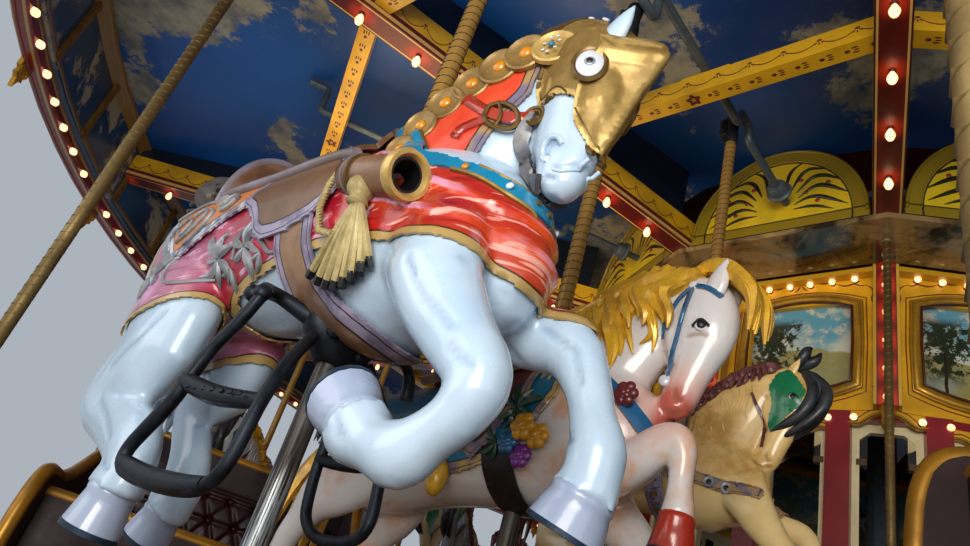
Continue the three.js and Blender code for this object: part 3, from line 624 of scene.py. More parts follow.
def add_modifier(obj, kind, **settings):
    """Adds a modifier and applies it at once."""
    active(obj)
    made = obj.modifiers.new(kind.lower(), kind)
    for name, value in settings.items():
        setattr(made, name, value)
    bpy.ops.object.modifier_apply(modifier=made.name)
    return obj


def smooth(obj, degrees=None):
    active(obj)
    if degrees is None:
        bpy.ops.object.shade_smooth()
    else:
        bpy.ops.object.shade_smooth_by_angle(angle=math.radians(degrees))
    return obj


def outward(obj, weld=0.0):
    """Turns every face outwards, after merging points that lie closer than weld."""
    active(obj)
    bpy.ops.object.mode_set(mode="EDIT")
    bpy.ops.mesh.select_all(action="SELECT")
    if weld:
        bpy.ops.mesh.remove_doubles(threshold=weld)
    bpy.ops.mesh.normals_make_consistent(inside=False)
    bpy.ops.object.mode_set(mode="OBJECT")
    return obj


def placed(obj, matrix):
    """Moves a new shape to its place and puts that place in its mesh."""
    obj.matrix_world = matrix
    return apply_all(obj)


def own_copy(obj):
    """A copy with its own mesh."""
    copy = obj.copy()
    copy.data = obj.data.copy()
    bpy.context.collection.objects.link(copy)
    return copy


def block(place, size, soft, segments=2):
    """A board or casting with softened edges."""
    deselect()
    bpy.ops.mesh.primitive_cube_add(size=1, location=place)
    obj = bpy.context.object
    obj.scale = size
    return add_modifier(apply_all(obj), "BEVEL", width=soft, segments=segments)


def join(parts, name):
    deselect()
    for part in parts:
        part.select_set(True)
    bpy.context.view_layer.objects.active = parts[0]
    if len(parts) > 1:
        bpy.ops.object.join()
    parts[0].name = name
    return parts[0]


def mapped(parts):
    """Every part gets a UV map, so that the joined mesh has one and the same."""
    for obj in parts:
        if not obj.data.uv_layers:
            obj.data.uv_layers.new(name="UVMap")
    return parts


def painted(obj, finish):
    """Gives a part one finish in place of any other."""
    obj.data.materials.clear()
    obj.data.materials.append(finish.material)
    return obj


def settle(obj, name, body):
    """The finished piece: named, at the origin, riding on its body."""
    apply_all(obj)
    obj.name = name
    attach(obj, body)
    return obj


def eased(rings, steps=3):
    """More rings between the given ones, along a smooth curve through them."""
    rows = [np.array([*place, across, aside], float) for place, across, aside in rings]
    rows = [rows[0]] + rows + [rows[-1]]
    made = []
    for a, b, c, d in zip(rows, rows[1:], rows[2:], rows[3:]):
        for step in range(steps):
            t = step / steps
            made.append(0.5 * (2 * b + (c - a) * t + (2 * a - 5 * b + 4 * c - d) * t * t
                               + (3 * b - a - 3 * c + d) * t ** 3))
    made.append(rows[-1])
    return [(tuple(row[:3]), row[3], row[4]) for row in made]


def loft(rings, sides=24, steps=3):
    """Rings are ((forward, aside, up), half across the path, half sideways), in a horse's own frame."""
    rings = eased(rings, steps)
    points = [Vector((aside, forward, up)) for (forward, aside, up), _, _ in rings]
    frames = []
    for i, (_, half_across, half_aside) in enumerate(rings):
        run = points[min(i + 1, len(points) - 1)] - points[max(i - 1, 0)]
        along = Vector((0, run.y, run.z)).normalized()
        across = Vector((0, -along.z, along.y))
        frames.append(Matrix.Translation(points[i]) @ Matrix((
            (half_aside, 0, 0), (0, across.y * half_across, along.y),
            (0, across.z * half_across, along.z))).to_4x4())
    deselect()
    bpy.ops.mesh.primitive_circle_add(vertices=sides, radius=1, fill_type="NGON")
    obj = bpy.context.object
    bpy.ops.object.mode_set(mode="EDIT")
    before = Matrix.Identity(4)
    for number, after in enumerate(frames):
        if number:
            bpy.ops.mesh.extrude_region_move(TRANSFORM_OT_translate={"value": (0, 0, 0)})
        mesh = bmesh.from_edit_mesh(obj.data)
        step = after @ before.inverted()
        for vertex in mesh.verts:
            if vertex.select:
                vertex.co = step @ vertex.co
        bmesh.update_edit_mesh(obj.data)
        before = after
    return outward(obj)


def cord(points, radius, sides=4, smooth_path=True, closed=False):
    """A round bar along points; radius may be a list with one value a point."""
    radii = radius if isinstance(radius, (list, tuple)) else [radius] * len(points)
    deselect()
    bpy.ops.curve.primitive_nurbs_path_add()
    obj = bpy.context.object
    data = obj.data
    data.splines.clear()
    line = data.splines.new("NURBS" if smooth_path else "POLY")
    line.points.add(len(points) - 1)
    for item, place, size in zip(line.points, points, radii):
        item.co = (*place, 1)
        item.radius = size
    line.use_cyclic_u = closed
    if smooth_path:
        line.order_u = 3
        line.use_endpoint_u = not closed
        line.resolution_u = 3
    data.dimensions = "3D"
    data.bevel_depth = 1.0
    data.bevel_resolution = max(0, sides // 2 - 2)
    data.use_fill_caps = not closed
    active(obj)
    bpy.ops.object.convert(target="MESH")
    obj = bpy.context.object
    obj.data.materials.clear()
    return smooth(obj, 50)


def spun(outline, steps):
    """A closed outline of (radius, height) points turned about the axis."""
    deselect()
    bpy.ops.mesh.primitive_circle_add(vertices=len(outline), radius=1, fill_type="NOTHING")
    obj = bpy.context.object
    for vertex, (radius, height) in zip(obj.data.vertices, outline):
        vertex.co = (radius, 0, height)
    bpy.ops.object.mode_set(mode="EDIT")
    bpy.ops.mesh.select_all(action="SELECT")
    bpy.ops.mesh.spin(steps=steps, angle=math.radians(360), center=(0, 0, 0), axis=(0, 0, 1))
    return outward(obj, 0.0004)


def scatter(template, places, name):
    """One mesh that holds a copy of the template at each place; the template is used up."""
    apply_all(template)
    source = template.data
    count = len(source.vertices)
    co = np.empty(count * 3)
    source.vertices.foreach_get("co", co)
    co = np.column_stack((co.reshape(-1, 3), np.ones(count)))
    faces = [tuple(p.vertices) for p in source.polygons]
    slots = [p.material_index for p in source.polygons]
    soft = [p.use_smooth for p in source.polygons]
    points, loops = [], []
    for number, place in enumerate(places):
        points.append((co @ np.array(place).T)[:, :3])
        loops.extend(tuple(v + number * count for v in face) for face in faces)
    mesh = bpy.data.meshes.new(name)
    mesh.from_pydata(np.vstack(points).tolist(), [], loops)
    mesh.polygons.foreach_set("material_index", slots * len(places))
    mesh.polygons.foreach_set("use_smooth", soft * len(places))
    for material in source.materials:
        mesh.materials.append(material)
    obj = bpy.data.objects.new(name, mesh)
    bpy.context.collection.objects.link(obj)
    bpy.data.objects.remove(template)
    return obj


def near_lines(points, lines):
    """Distance from each (n, 2) point to the nearest of some polylines."""
    best = np.full(len(points), 1e9)
    for line in lines:
        for a, b in zip(line, line[1:]):
            a, b = np.array(a, float), np.array(b, float)
            share = np.clip(((points - a) @ (b - a)) / max((b - a) @ (b - a), 1e-12), 0, 1)
            best = np.minimum(best, np.linalg.norm(points - a - share[:, None] * (b - a), axis=1))
    return best


def inside_outline(points, outline):
    """True for each (n, 2) point that lies inside a closed outline."""
    inside = np.zeros(len(points), bool)
    for (ax, ay), (bx, by) in zip(outline, outline[1:] + outline[:1]):
        crosses = (points[:, 1] < ay) != (points[:, 1] < by)
        at = ax + (points[:, 1] - ay) * (bx - ax) / ((by - ay) if by != ay else 1e-9)
        inside ^= crosses & (points[:, 0] < at)
    return inside


def coordinates(mesh):
    co = np.empty(len(mesh.vertices) * 3)
    mesh.vertices.foreach_get("co", co)
    return co.reshape(-1, 3)


def normals(mesh):
    out = np.empty(len(mesh.vertices) * 3, np.float32)
    mesh.vertex_normals.foreach_get("vector", out)
    return out.reshape(-1, 3).astype(float)


def store(mesh, name, values):
    """Keeps one number a vertex for the paint to read."""
    kept = mesh.attributes.get(name) or mesh.attributes.new(name, "FLOAT", "POINT")
    kept.data.foreach_set("value", np.asarray(values, np.float32))


def triangles(obj):
    obj.data.calc_loop_triangles()
    return len(obj.data.loop_triangles)


def capped(obj, most):
    """Thins a mesh that has more triangles than it needs."""
    if triangles(obj) > most:
        add_modifier(obj, "DECIMATE", ratio=most / triangles(obj))
    return obj


print("carving tools ready")

# %% [markdown]
# # The leading horse
# The real horse is carved from blocks of wood and painted white. Its shapes were measured as
# rings along each limb, forward and up from where the pole meets the saddle. Each limb is a loft,
# and one voxel remesh melts them together as a carver blends blocks. The head and neck are
# melted on a finer grid, because the eye rests there, and the collar covers where the two meet.

# %% Rings of the leading horse
LEAD_TORSO = [
    ((-1.02, 0, -.33), .06, .05), ((-.97, 0, -.32), .13, .11), ((-.85, 0, -.305), .19, .165),
    ((-.68, 0, -.295), .225, .19), ((-.48, 0, -.295), .205, .195), ((-.25, 0, -.315), .205, .2),
    ((0, 0, -.335), .22, .205), ((.18, 0, -.365), .245, .19), ((.30, 0, -.405), .22, .165),
    ((.395, 0, -.465), .155, .125), ((.465, 0, -.51), .10, .085), ((.51, 0, -.53), .045, .035)]
LEAD_NECK = [
    ((.12, 0, -.22), .24, .13), ((.24, 0, -.10), .215, .11), ((.33, 0, .0), .18, .088),
    ((.41, 0, .065), .145, .075), ((.47, 0, .09), .11, .068), ((.51, 0, .07), .09, .06)]
LEAD_HEAD = [
    ((.49, 0, .13), .055, .05), ((.51, 0, .07), .105, .07), ((.53, 0, .0), .112, .078),
    ((.53, 0, -.08), .105, .070), ((.518, 0, -.15), .092, .058), ((.52, 0, -.21), .072, .050),
    ((.52, 0, -.255), .058, .046), ((.518, 0, -.29), .045, .038), ((.512, 0, -.31), .022, .020)]
LEAD_LEGS = [
    [((.30, .08, -.40), .13, .07), ((.39, .12, -.525), .10, .075), ((.45, .13, -.61), .082, .065),
     ((.52, .13, -.69), .064, .055), ((.588, .13, -.765), .053, .05), ((.567, .13, -.82), .045, .042),
     ((.525, .13, -.852), .042, .04), ((.475, .13, -.882), .055, .048), ((.41, .13, -.868), .046, .044),
     ((.365, .13, -.848), .060, .054), ((.345, .13, -.832), .062, .058)],
    [((.16, -.10, -.37), .11, .07), ((.28, -.12, -.44), .09, .065), ((.40, -.13, -.527), .066, .055),
     ((.53, -.13, -.570), .060, .05), ((.590, -.13, -.655), .044, .042), ((.612, -.13, -.712), .042, .04),
     ((.631, -.13, -.765), .052, .048), ((.632, -.13, -.81), .050, .046), ((.622, -.13, -.845), .062, .056)],
    [((-.68, .08, -.36), .20, .10), ((-.58, .12, -.50), .19, .09), ((-.53, .135, -.62), .16, .08),
     ((-.63, .135, -.70), .12, .065), ((-.68, .135, -.76), .085, .055), ((-.55, .135, -.815), .075, .05),
     ((-.42, .135, -.865), .08, .052), ((-.37, .135, -.92), .078, .05), ((-.375, .135, -.965), .080, .055),
     ((-.378, .135, -.985), .084, .060)],
    [((-.62, -.08, -.36), .20, .10), ((-.65, -.12, -.48), .19, .09), ((-.68, -.135, -.57), .15, .08),
     ((-.77, -.135, -.64), .09, .055), ((-.74, -.135, -.71), .075, .045), ((-.69, -.135, -.78), .07, .045),
     ((-.645, -.135, -.86), .08, .05), ((-.66, -.135, -.93), .082, .056), ((-.668, -.135, -.95), .084, .060)]]
LEAD_HOOVES = [((.350, .13, -.838), (.285, .13, -.785)), ((.625, -.13, -.838), (.598, -.13, -.905)),
               ((-.378, .135, -.975), (-.398, .135, -1.075)), ((-.668, -.135, -.945), (-.705, -.135, -1.035))]


def melted(parts, name, voxel, passes):
    """Joins overlapping lofts into one skin and smooths it."""
    body = join(parts, name)
    add_modifier(body, "REMESH", mode="VOXEL", voxel_size=voxel)
    add_modifier(body, "SMOOTH", factor=0.5, iterations=passes)
    return smooth(body)


def hoof(start, end, top=.052, sole=.066, sides=20):
    """A hoof that widens from the pastern to its sole, and the shoe under it."""
    (a, aside, b), (c, _, d) = start, end
    at = lambda share: (a + (c - a) * share, aside, b + (d - b) * share)
    horn = loft([(at(-.15), top * .7, top * .7), (at(0), top, top), (at(.12), top * 1.06, top * 1.04),
                 (at(.2), top * 1.02, top), (at(.45), (top + sole) / 2, (top + sole) / 2 * .95),
                 (at(.88), sole, sole * .95), (at(.9), sole * .97, sole * .92)], sides, 1)
    shoe = loft([(at(.88), sole * .9, sole * .86), (at(.9), sole * 1.02, sole * .97),
                 (at(1.0), sole * 1.02, sole * .97), (at(1.01), sole * .98, sole * .93)], sides, 1)
    return smooth(horn, 50), smooth(shoe, 50)


def ear(foot, tip, wide=.034, thick=.018):
    """A pointed ear, set a little aside from its foot to its tip."""
    (a, aside, b), (c, tip_aside, d) = foot, tip
    at = lambda share: (a + (c - a) * share, aside + (tip_aside - aside) * share, b + (d - b) * share)
    return smooth(loft([(at(-.2), wide * .7, thick), (at(.15), wide, thick), (at(.45), wide * .9, thick * .9),
                        (at(.75), wide * .55, thick * .6), (at(1.0), wide * .06, thick * .1)], 12, 2))


LEAD_VOXEL, HEAD_VOXEL = ((0.0115, 0.0062))
GOLD_VOXEL, TAN_VOXEL = ((0.0125, 0.0130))
slim_neck = [(place, across * .93, aside * .93) for place, across, aside in LEAD_NECK[:3]]
lead = melted([loft(LEAD_TORSO), loft(slim_neck)] + [loft(rings, 20) for rings in LEAD_LEGS], "lead body",
              LEAD_VOXEL, 6)
lead_head = melted([loft(LEAD_NECK), loft(LEAD_HEAD)], "lead head", HEAD_VOXEL, 7)
print("leading horse:", triangles(lead), "triangles and", triangles(lead_head), "in the head")

# %% [markdown]
# **Laid work.** Cloth, straps and plates on a carved horse follow its skin. `touch` drops a point
# onto the skin from the side, so a strap or a leaf can be drawn in profile. `peeled` copies the
# skin inside an outline, lifts it off and gives it a thickness, which is how a carved cloth lies.
# Each vertex keeps its distance to the outline, and the paint draws the hem from that.

# %% Straps, cords and cloths laid on a body
def touch(body, forward, up, side=1, lift=0.0):
    """The point on a body's side at a place forward and up, lifted off its skin."""
    hit, place, normal, _ = body.ray_cast((side * 1.5, forward, up), (-side, 0, 0))
    return place + normal * lift if hit else Vector((side * 0.02, forward, up))


def along(path, count):
    """Evenly spaced points on a polyline."""
    path = np.array(path, float)
    at = np.concatenate(([0], np.cumsum(np.linalg.norm(np.diff(path, axis=0), axis=1))))
    return [tuple(float(np.interp(share * at[-1], at, path[:, k])) for k in range(path.shape[1]))
            for share in np.linspace(0, 1, count)]


def rounded(path, count):
    """Points on a smooth curve through a path's corners."""
    rows = eased([((*point, 0)[:3], 0, 0) for point in path], 6)
    return along([row[0][:len(path[0])] for row in rows], count)


def laid_cord(body, path, radius, side=1, lift=0.002, count=16, sides=6):
    return cord([touch(body, a, b, side, lift) for a, b in rounded(path, count)], radius, sides)


def strap(body, path, width, thick=.005, side=1, lift=.002, rows=24, columns=3):
    """A flat strap along a path drawn in profile."""
    middle = np.array(rounded(path, rows + 1))
    run = np.gradient(middle, axis=0)
    across = np.column_stack((-run[:, 1], run[:, 0])) / np.linalg.norm(run, axis=1)[:, None]
    deselect()
    bpy.ops.mesh.primitive_grid_add(x_subdivisions=columns, y_subdivisions=rows, size=1)
    obj = bpy.context.object
    for number, vertex in enumerate(obj.data.vertices):
        row, column = divmod(number, columns + 1)
        forward, up = middle[row] + across[row] * width * (column / columns - 0.5)
        vertex.co = touch(body, forward, up, side, lift + thick)
    return thickened(obj, thick * 1.6)


def thickened(obj, thick):
    """Gives a sheet a wall, half to each side."""
    add_modifier(outward(obj), "SOLIDIFY", thickness=thick, offset=0.0)
    return smooth(outward(obj), 40)


def peeled(body, outline, lift, thick, side=0, shape=None, snap=0.03, passes=2):
    """The skin inside an outline drawn in profile, lifted off, shaped and thickened."""
    active(body)
    bpy.ops.object.duplicate()
    cloth = bpy.context.object
    place = coordinates(cloth.data)
    keep = inside_outline(place[:, 1:], outline)
    if side:
        keep &= place[:, 0] * side > 0.004
    bpy.ops.object.mode_set(mode="EDIT")
    mesh = bmesh.from_edit_mesh(cloth.data)
    mesh.verts.ensure_lookup_table()
    for vertex in mesh.verts:
        vertex.select = not keep[vertex.index]
    mesh.select_flush(True)
    bpy.ops.mesh.delete(type="VERT")
    mesh = bmesh.from_edit_mesh(cloth.data)
    corners = [Vector(p) for p in outline]
    for vertex in mesh.verts:
        if vertex.is_boundary:
            here = Vector((vertex.co.y, vertex.co.z))
            best = None
            for a, b in zip(corners, corners[1:] + corners[:1]):
                share = min(1, max(0, (here - a).dot(b - a) / max((b - a).length_squared, 1e-9)))
                spot = a + (b - a) * share
                if best is None or (spot - here).length < (best - here).length:
                    best = spot
            if (best - here).length < snap:
                vertex.co.y, vertex.co.z = best
    bmesh.update_edit_mesh(cloth.data)
    for _ in range(passes):
        bpy.ops.mesh.select_all(action="SELECT")
        bpy.ops.mesh.vertices_smooth(factor=0.4)
    bpy.ops.object.mode_set(mode="OBJECT")
    place = coordinates(cloth.data)
    edge = near_lines(place[:, 1:], [outline + outline[:1]])
    raised = shape(place, edge) if shape else np.zeros(len(place))
    store(cloth.data, "edge", edge)
    store(cloth.data, "fold", raised)
    place = place + normals(cloth.data) * (lift + raised)[:, None]
    cloth.data.vertices.foreach_set("co", place.ravel())
    cloth.data.update()
    add_modifier(cloth, "SOLIDIFY", thickness=thick, offset=1.0)
    return smooth(cloth, 50)


def carved(body, lines, depth, half):
    """Cuts grooves along lines drawn in profile and remembers them, so that the paint can lay painted shade in them.
    """
    place, out = coordinates(body.data), normals(body.data)
    cut = np.clip(1 - near_lines(place[:, 1:], lines) / half, 0, 1)
    cut = cut * cut * (3 - 2 * cut) * np.clip(abs(out[:, 0]) * 2 - 0.3, 0, 1)
    body.data.vertices.foreach_set("co", (place - out * (cut * depth)[:, None]).ravel())
    kept = np.zeros(len(cut), np.float32)
    if "groove" in body.data.attributes:
        body.data.attributes["groove"].data.foreach_get("value", kept)
    store(body.data, "groove", np.maximum(kept, cut))
    body.data.update()
    return body


def turned(profile, steps=20):
    """A disc, knob or ring turned from (radius, height) points, as on a lathe."""
    return smooth(spun(profile, steps), 40)


def facing(place, direction, size=1.0):
    """Puts something that was made round Z at a place, looking in a direction."""
    turn = Vector(direction).to_track_quat("Z", "Y").to_matrix().to_4x4()
    return Matrix.Translation(Vector(place)) @ turn @ Matrix.Scale(size, 4)


def stone(place, direction, radius, high=.5):
    """A polished half-round stone."""
    deselect()
    bpy.ops.mesh.primitive_uv_sphere_add(segments=10, ring_count=6, radius=radius)
    return smooth(placed(bpy.context.object, facing(place, direction) @ Matrix.Diagonal((1, 1, high, 1))))


def twisted(points, radius, turns):
    """A rope of two strands wound round a path."""
    path = [Vector(p) for p in along(points, int(turns * 8) + 1)]
    strands = []
    for phase in (0, math.pi):
        wound = []
        for number, here in enumerate(path):
            run = (path[min(number + 1, len(path) - 1)] - path[max(number - 1, 0)]).normalized()
            side = run.cross(Vector((.3, .2, .9))).normalized()
            angle = phase + number * math.pi / 4
            wound.append(here + (side * math.cos(angle) + run.cross(side) * math.sin(angle)) * radius * .5)
        strands.append(cord(wound, radius * .55, 5))
    return join(strands, "rope")


print("laid work ready")

# %% [markdown]
# **Paint for a carved horse.** A horse moves and has copies at other angles, so its paint can't
# read world places. Each mesh keeps its own *local* place as an attribute before it is set down:
# aside, forward and up from the saddle. White gloss gathers blue-grey shade in the grooves.

# %% Paints of the leading horse
def enamel(name, colour, shade, deep=None, roughness=0.22):
    """Gloss enamel on carved wood, with painted shade in its grooves, and a little worn."""
    paint = Finish(name)
    local = paint.attribute_vector("local")
    groove = paint.attribute("groove")
    blotch = paint.noise(7, 4, 0.6, local).over(0.5, 0.16)
    base = paint.mix(tint(colour), tint(shade), blotch * 0.45)
    # painted shade: the carved grooves are darkened towards the deep colour
    base = paint.mix(base, tint(deep or shade), groove.over(0.5, 0.5) * 0.45)
    return paint.use(base, roughness + blotch * 0.12, coat=0.6, height=paint.noise(38, 3, 0.6, local),
                     strength=0.12, depth=0.002)


def cloth_paint():
    """Crimson at the rear and orange at the front, with painted pink highlights on the folds, painted shade in their
    hollows, painted light and dark streaks, and a gold hem.
    """
    paint = Finish("painted saddle cloth")
    local = paint.attribute_vector("local")
    _, forward, up = paint.axes(local)
    fold, edge = paint.attribute("fold"), paint.attribute("edge")
    drift = paint.noise(4.0, 3, 0.6, local)
    rear = paint.mix(tint("#b0203c"), tint("#cf8fb8"), (forward * -1.1 - 0.35 + (drift - 0.5) * 0.9).over(0.12,
                                                                                                          0.2))
    front = paint.mix(tint("#b3161a"), tint("#e5561a"), (forward * 1.6 + (drift - 0.5) * 1.4).over(0.62, 0.3))
    colour = paint.mix(rear, front, forward.over(0.10, 0.10))
    # painted highlight: pink light on the tops of the folds
    colour = paint.mix(colour, tint("#e8a2c4"), fold.over(0.0066, 0.0010) * drift.over(0.46, 0.08) * 0.8)
    # painted shade: darker red in the hollows between the folds
    colour = paint.mix(colour, tint("#8d1224"), fold.under(0.0012, 0.0012) * 0.45)
    # painted highlight streaks in pink, then painted shade streaks in dark red
    streak = paint.noise(1.0, 4, 0.55, paint.vector(forward * 7 + up * 2.5, up * 48 - forward * 9, drift * 2))
    glint = paint.mix(tint("#e9b9dc"), tint("#f6b6a8"), forward.over(0.10, 0.10))
    colour = paint.mix(colour, glint, streak.over(0.605, 0.035) * 0.75)
    colour = paint.mix(colour, tint("#7a0f20"), streak.under(0.385, 0.035) * 0.6)
    colour = paint.mix(colour, tint("#b3955a"), edge.under(0.020, 0.001))
    colour = paint.mix(colour, tint("#3c2418"), edge.within(0.0195, 0.0230, 0.0008))
    hem = edge.under(0.020, 0.004)
    return paint.use(colour, 0.22 + drift * 0.15, coat=0.6, height=fold * 60 + hem, strength=0.35, depth=0.004)


def leather(name, colour, worn_colour, border=None):
    """Tooled leather; with a border colour, a silvered edge between black lines."""
    paint = Finish(name)
    local = paint.attribute_vector("local")
    grain = paint.cells(150, local)
    blotch = paint.noise(6, 5, 0.65, local).over(0.5, 0.2)
    base = paint.mix(tint(colour), tint(worn_colour), blotch * 0.8)
    if border:
        edge = paint.attribute("edge")
        silver = paint.mix(tint(border), tint("#6f6780"), paint.noise(16, 3, 0.6, local).over(0.52, 0.12))
        base = paint.mix(base, silver, edge.under(0.030, 0.001))
        lines = edge.within(0.0285, 0.0320, 0.0007).either(edge.within(0.0105, 0.0128, 0.0006))
        base = paint.mix(base, tint("#1d1418"), lines)
    return paint.use(base, 0.3 + blotch * 0.18, coat=0.3, height=grain, strength=0.16, depth=0.001)


def carved_metal(name, colour, dark, roughness=0.3, metallic=0.7):
    paint = Finish(name)
    local = paint.attribute_vector("local")
    stain = paint.noise(11, 6, 0.7, local).over(0.5, 0.17)
    return paint.use(paint.mix(tint(colour), tint(dark), stain * 0.75), roughness + stain * 0.2, metallic,
                     coat=0.2, height=paint.noise(45, 4, 0.6, local), strength=0.22, depth=0.0025)


WHITE = enamel("horse white", "#bdd2e6", "#9fbcd6", "#7593b0")
CLOTH = cloth_paint()
SADDLE = leather("saddle leather", "#5a3720", "#8c6a4c")
SKIRT = leather("tooled saddle skirt", "#7d5a3a", "#5a4030", "#9a92ac")
GIRTH = leather("girth leather", "#6b4a38", "#a88664", "#9a8fa6")
RIM = leather("saddle rim", "#6f6058", "#8d8698")
FLAP = leather("orange flap", "#c98a5c", "#d6741c", "#cfd3dd")
NECK_CLOTH = leather("neck cloth", "#d23c22", "#e2562a", "#a08052")
COLLAR = enamel("blue collar", "#1583ad", "#0f5f86", "#0b3a55")
SILVER = carved_metal("silvered carving", "#a9adb2", "#5e6268", 0.35, 0.35)
DARK_SILVER = carved_metal("dull jaw band", "#6f6e72", "#3a3a3f", 0.35, 0.5)
BRASS = carved_metal("horse armour brass", "#dcba70", "#9d7a38", 0.3, 0.4)
DARK_BRASS = carved_metal("dark plate brass", "#7d6130", "#4a3517", 0.35, 0.6)
PLATE_BRASS = carved_metal("crest plate brass", "#a8864a", "#6a5028", 0.32, 0.45)
TASSEL = carved_metal("tassel gilt", "#cdbb85", "#7c6a3a", 0.5, 0.2)
BLACK = carved_metal("black lacquer", "#0d0d10", "#1d1b20", 0.3, 0.1)
AMBER = enamel("amber stone", "#d58a10", "#a05a08", None, 0.1)
PEARL = enamel("pearl stone", "#d8dbe4", "#8b8fa8", None, 0.1)
GREY_IRIS = enamel("grey iris", "#8a93a0", "#5d6672", None, 0.15)
HOOF_BLUE = enamel("blue hoof", "#a9b6d0", "#8796b6")
STRAP_RED = enamel("red strap", "#a8321f", "#6f1a14")
SHOE = carved_metal("shoe", "#263a52", "#141c28", 0.4, 0.5)
FUR = carved_metal("fur roll", "#57524e", "#2a2624", 0.8, 0.0)
print("paints so far:", len(bpy.data.materials))

# %% [markdown]
# **Cloth, girth, collar.** These three follow the barrel of the horse, so they are peeled off it.
# The cloth's folds are ridges that run out from the saddle, raised by a few millimetres.

# %% Cloth, girth and collar
CLOTH_EDGE = [
    (-.70, -.595), (-.60, -.575), (-.53, -.56), (-.43, -.525), (-.30, -.485), (-.18, -.47), (-.08, -.465),
    (.02, -.462), (.15, -.465), (.25, -.47), (.33, -.49), (.40, -.512), (.47, -.525), (.51, -.535), (.64, -.545),
    (.64, -.34), (.50, -.345), (.44, -.31), (.36, -.28), (.28, -.25), (.20, -.17), (.10, -.05), (.04, .2),
    (-.62, .2), (-.74, -.02), (-.775, -.20), (-.79, -.33), (-.775, -.48)]


def cloth_folds(place, edge):
    """How far the folds of the cloth rise at each point."""
    forward, up = place[:, 1], place[:, 2]
    wave = np.sin(up * 92 + forward * 22 + 1.5 * np.sin(forward * 9 + up * 5)
                  + 0.8 * np.sin(forward * 21 - up * 12))
    ridge = np.clip(wave, 0, 1) ** 1.6
    front = np.clip((forward - .06) / .12, 0, 1)
    rear_wave = np.clip(np.sin(forward * 30 + up * 16 + 2 * np.sin(up * 9)), 0, 1) ** 2
    rear = np.clip((-forward - .05) / .1, 0, 1) * .35
    return 0.0105 * (ridge * front + rear_wave * rear) * np.clip((edge - .022) / .03, 0, 1)


cloth = painted(peeled(lead, CLOTH_EDGE, .004, .005, 0, cloth_folds), CLOTH)
girth = painted(peeled(lead, [(-.085, -.34), (.055, -.34), (.06, -.44), (.085, -.50), (.13, -.545), (.20, -.585),
                              (.30, -.66), (-.06, -.66), (-.065, -.52), (-.085, -.44)], .013, .006), GIRTH)
COLLAR_EDGE = [
    (.60, -.375), (.50, -.37), (.46, -.352), (.41, -.325), (.36, -.312), (.30, -.30), (.22, -.25), (.14, -.17),
    (.07, -.08), (.02, .04), (-.02, .15), (.06, .17), (.09, .03), (.14, -.06), (.20, -.15), (.27, -.245),
    (.32, -.262), (.40, -.292), (.46, -.315), (.50, -.33), (.60, -.33)]
collar = painted(join([peeled(lead, COLLAR_EDGE, .008, .008), peeled(lead_head, COLLAR_EDGE, .010, .008)],
                      "collar"), COLLAR)
neck_cloth = painted(peeled(lead_head, [
    (.335, -.275), (.345, -.22), (.365, -.16), (.395, -.105), (.43, -.055), (.44, 0), (.45, .08), (.47, .22),
    (.2, .27),
    (-.05, .2), (.0, -.05), (.08, -.12), (.15, -.2), (.22, -.27), (.28, -.285)], .003, .004), NECK_CLOTH)
for body, path in ((lead_head, [(.33, -.266), (.27, -.245), (.20, -.15), (.14, -.06), (.09, .03)]),
                   (lead, COLLAR_EDGE[1:5]),
                   (lead_head, [(.36, -.312), (.30, -.30), (.22, -.25), (.14, -.17), (.07, -.08)]),
                   (lead, [(.50, -.332), (.46, -.316), (.40, -.293)])):
    collar = join([collar] + [painted(laid_cord(body, path, .0055, side, .012, 14), OLD_BRASS)
                              for side in (1, -1)], "collar")
print("cloth", triangles(cloth), "girth", triangles(girth), "collar", triangles(collar), "neck",
      triangles(neck_cloth))

# %% [markdown]
# **Saddle.** The seat is peeled off the back and lifted. The cantle behind it is a bent plate
# that rises and spreads, and a silvered rim runs round it and down the seat's edge to the horn.

# %% Saddle
skirt = join([painted(peeled(lead, [
    (-.30, -.285), (-.235, -.32), (-.195, -.355), (-.175, -.39), (-.14, -.407), (-.08, -.413), (-.01, -.41),
    (.05, -.397),
    (.09, -.375), (.115, -.33), (.12, -.27), (.05, -.2), (-.1, -.15), (-.26, -.17)], .018, .007, side), SKIRT)
    for side in (1, -1)], "skirt")
seat = painted(peeled(lead, [(-.60, -.14), (-.50, -.175), (-.38, -.19), (-.24, -.20), (-.11, -.21), (.05, -.225),
                             (.05, -.05), (-.10, .15), (-.60, .15)], .026, .012), SADDLE)


def cantle_point(share, turn):
    """A point of the raised back of the saddle, a share of its height up."""
    rise = .075 + .185 * share ** 1.6
    return Vector(((.145 + .03 * share) * math.sin(turn), -.40 - .17 * share - .03 * share * math.cos(turn),
                   -.165 + rise * max(math.cos(turn), -.1)))


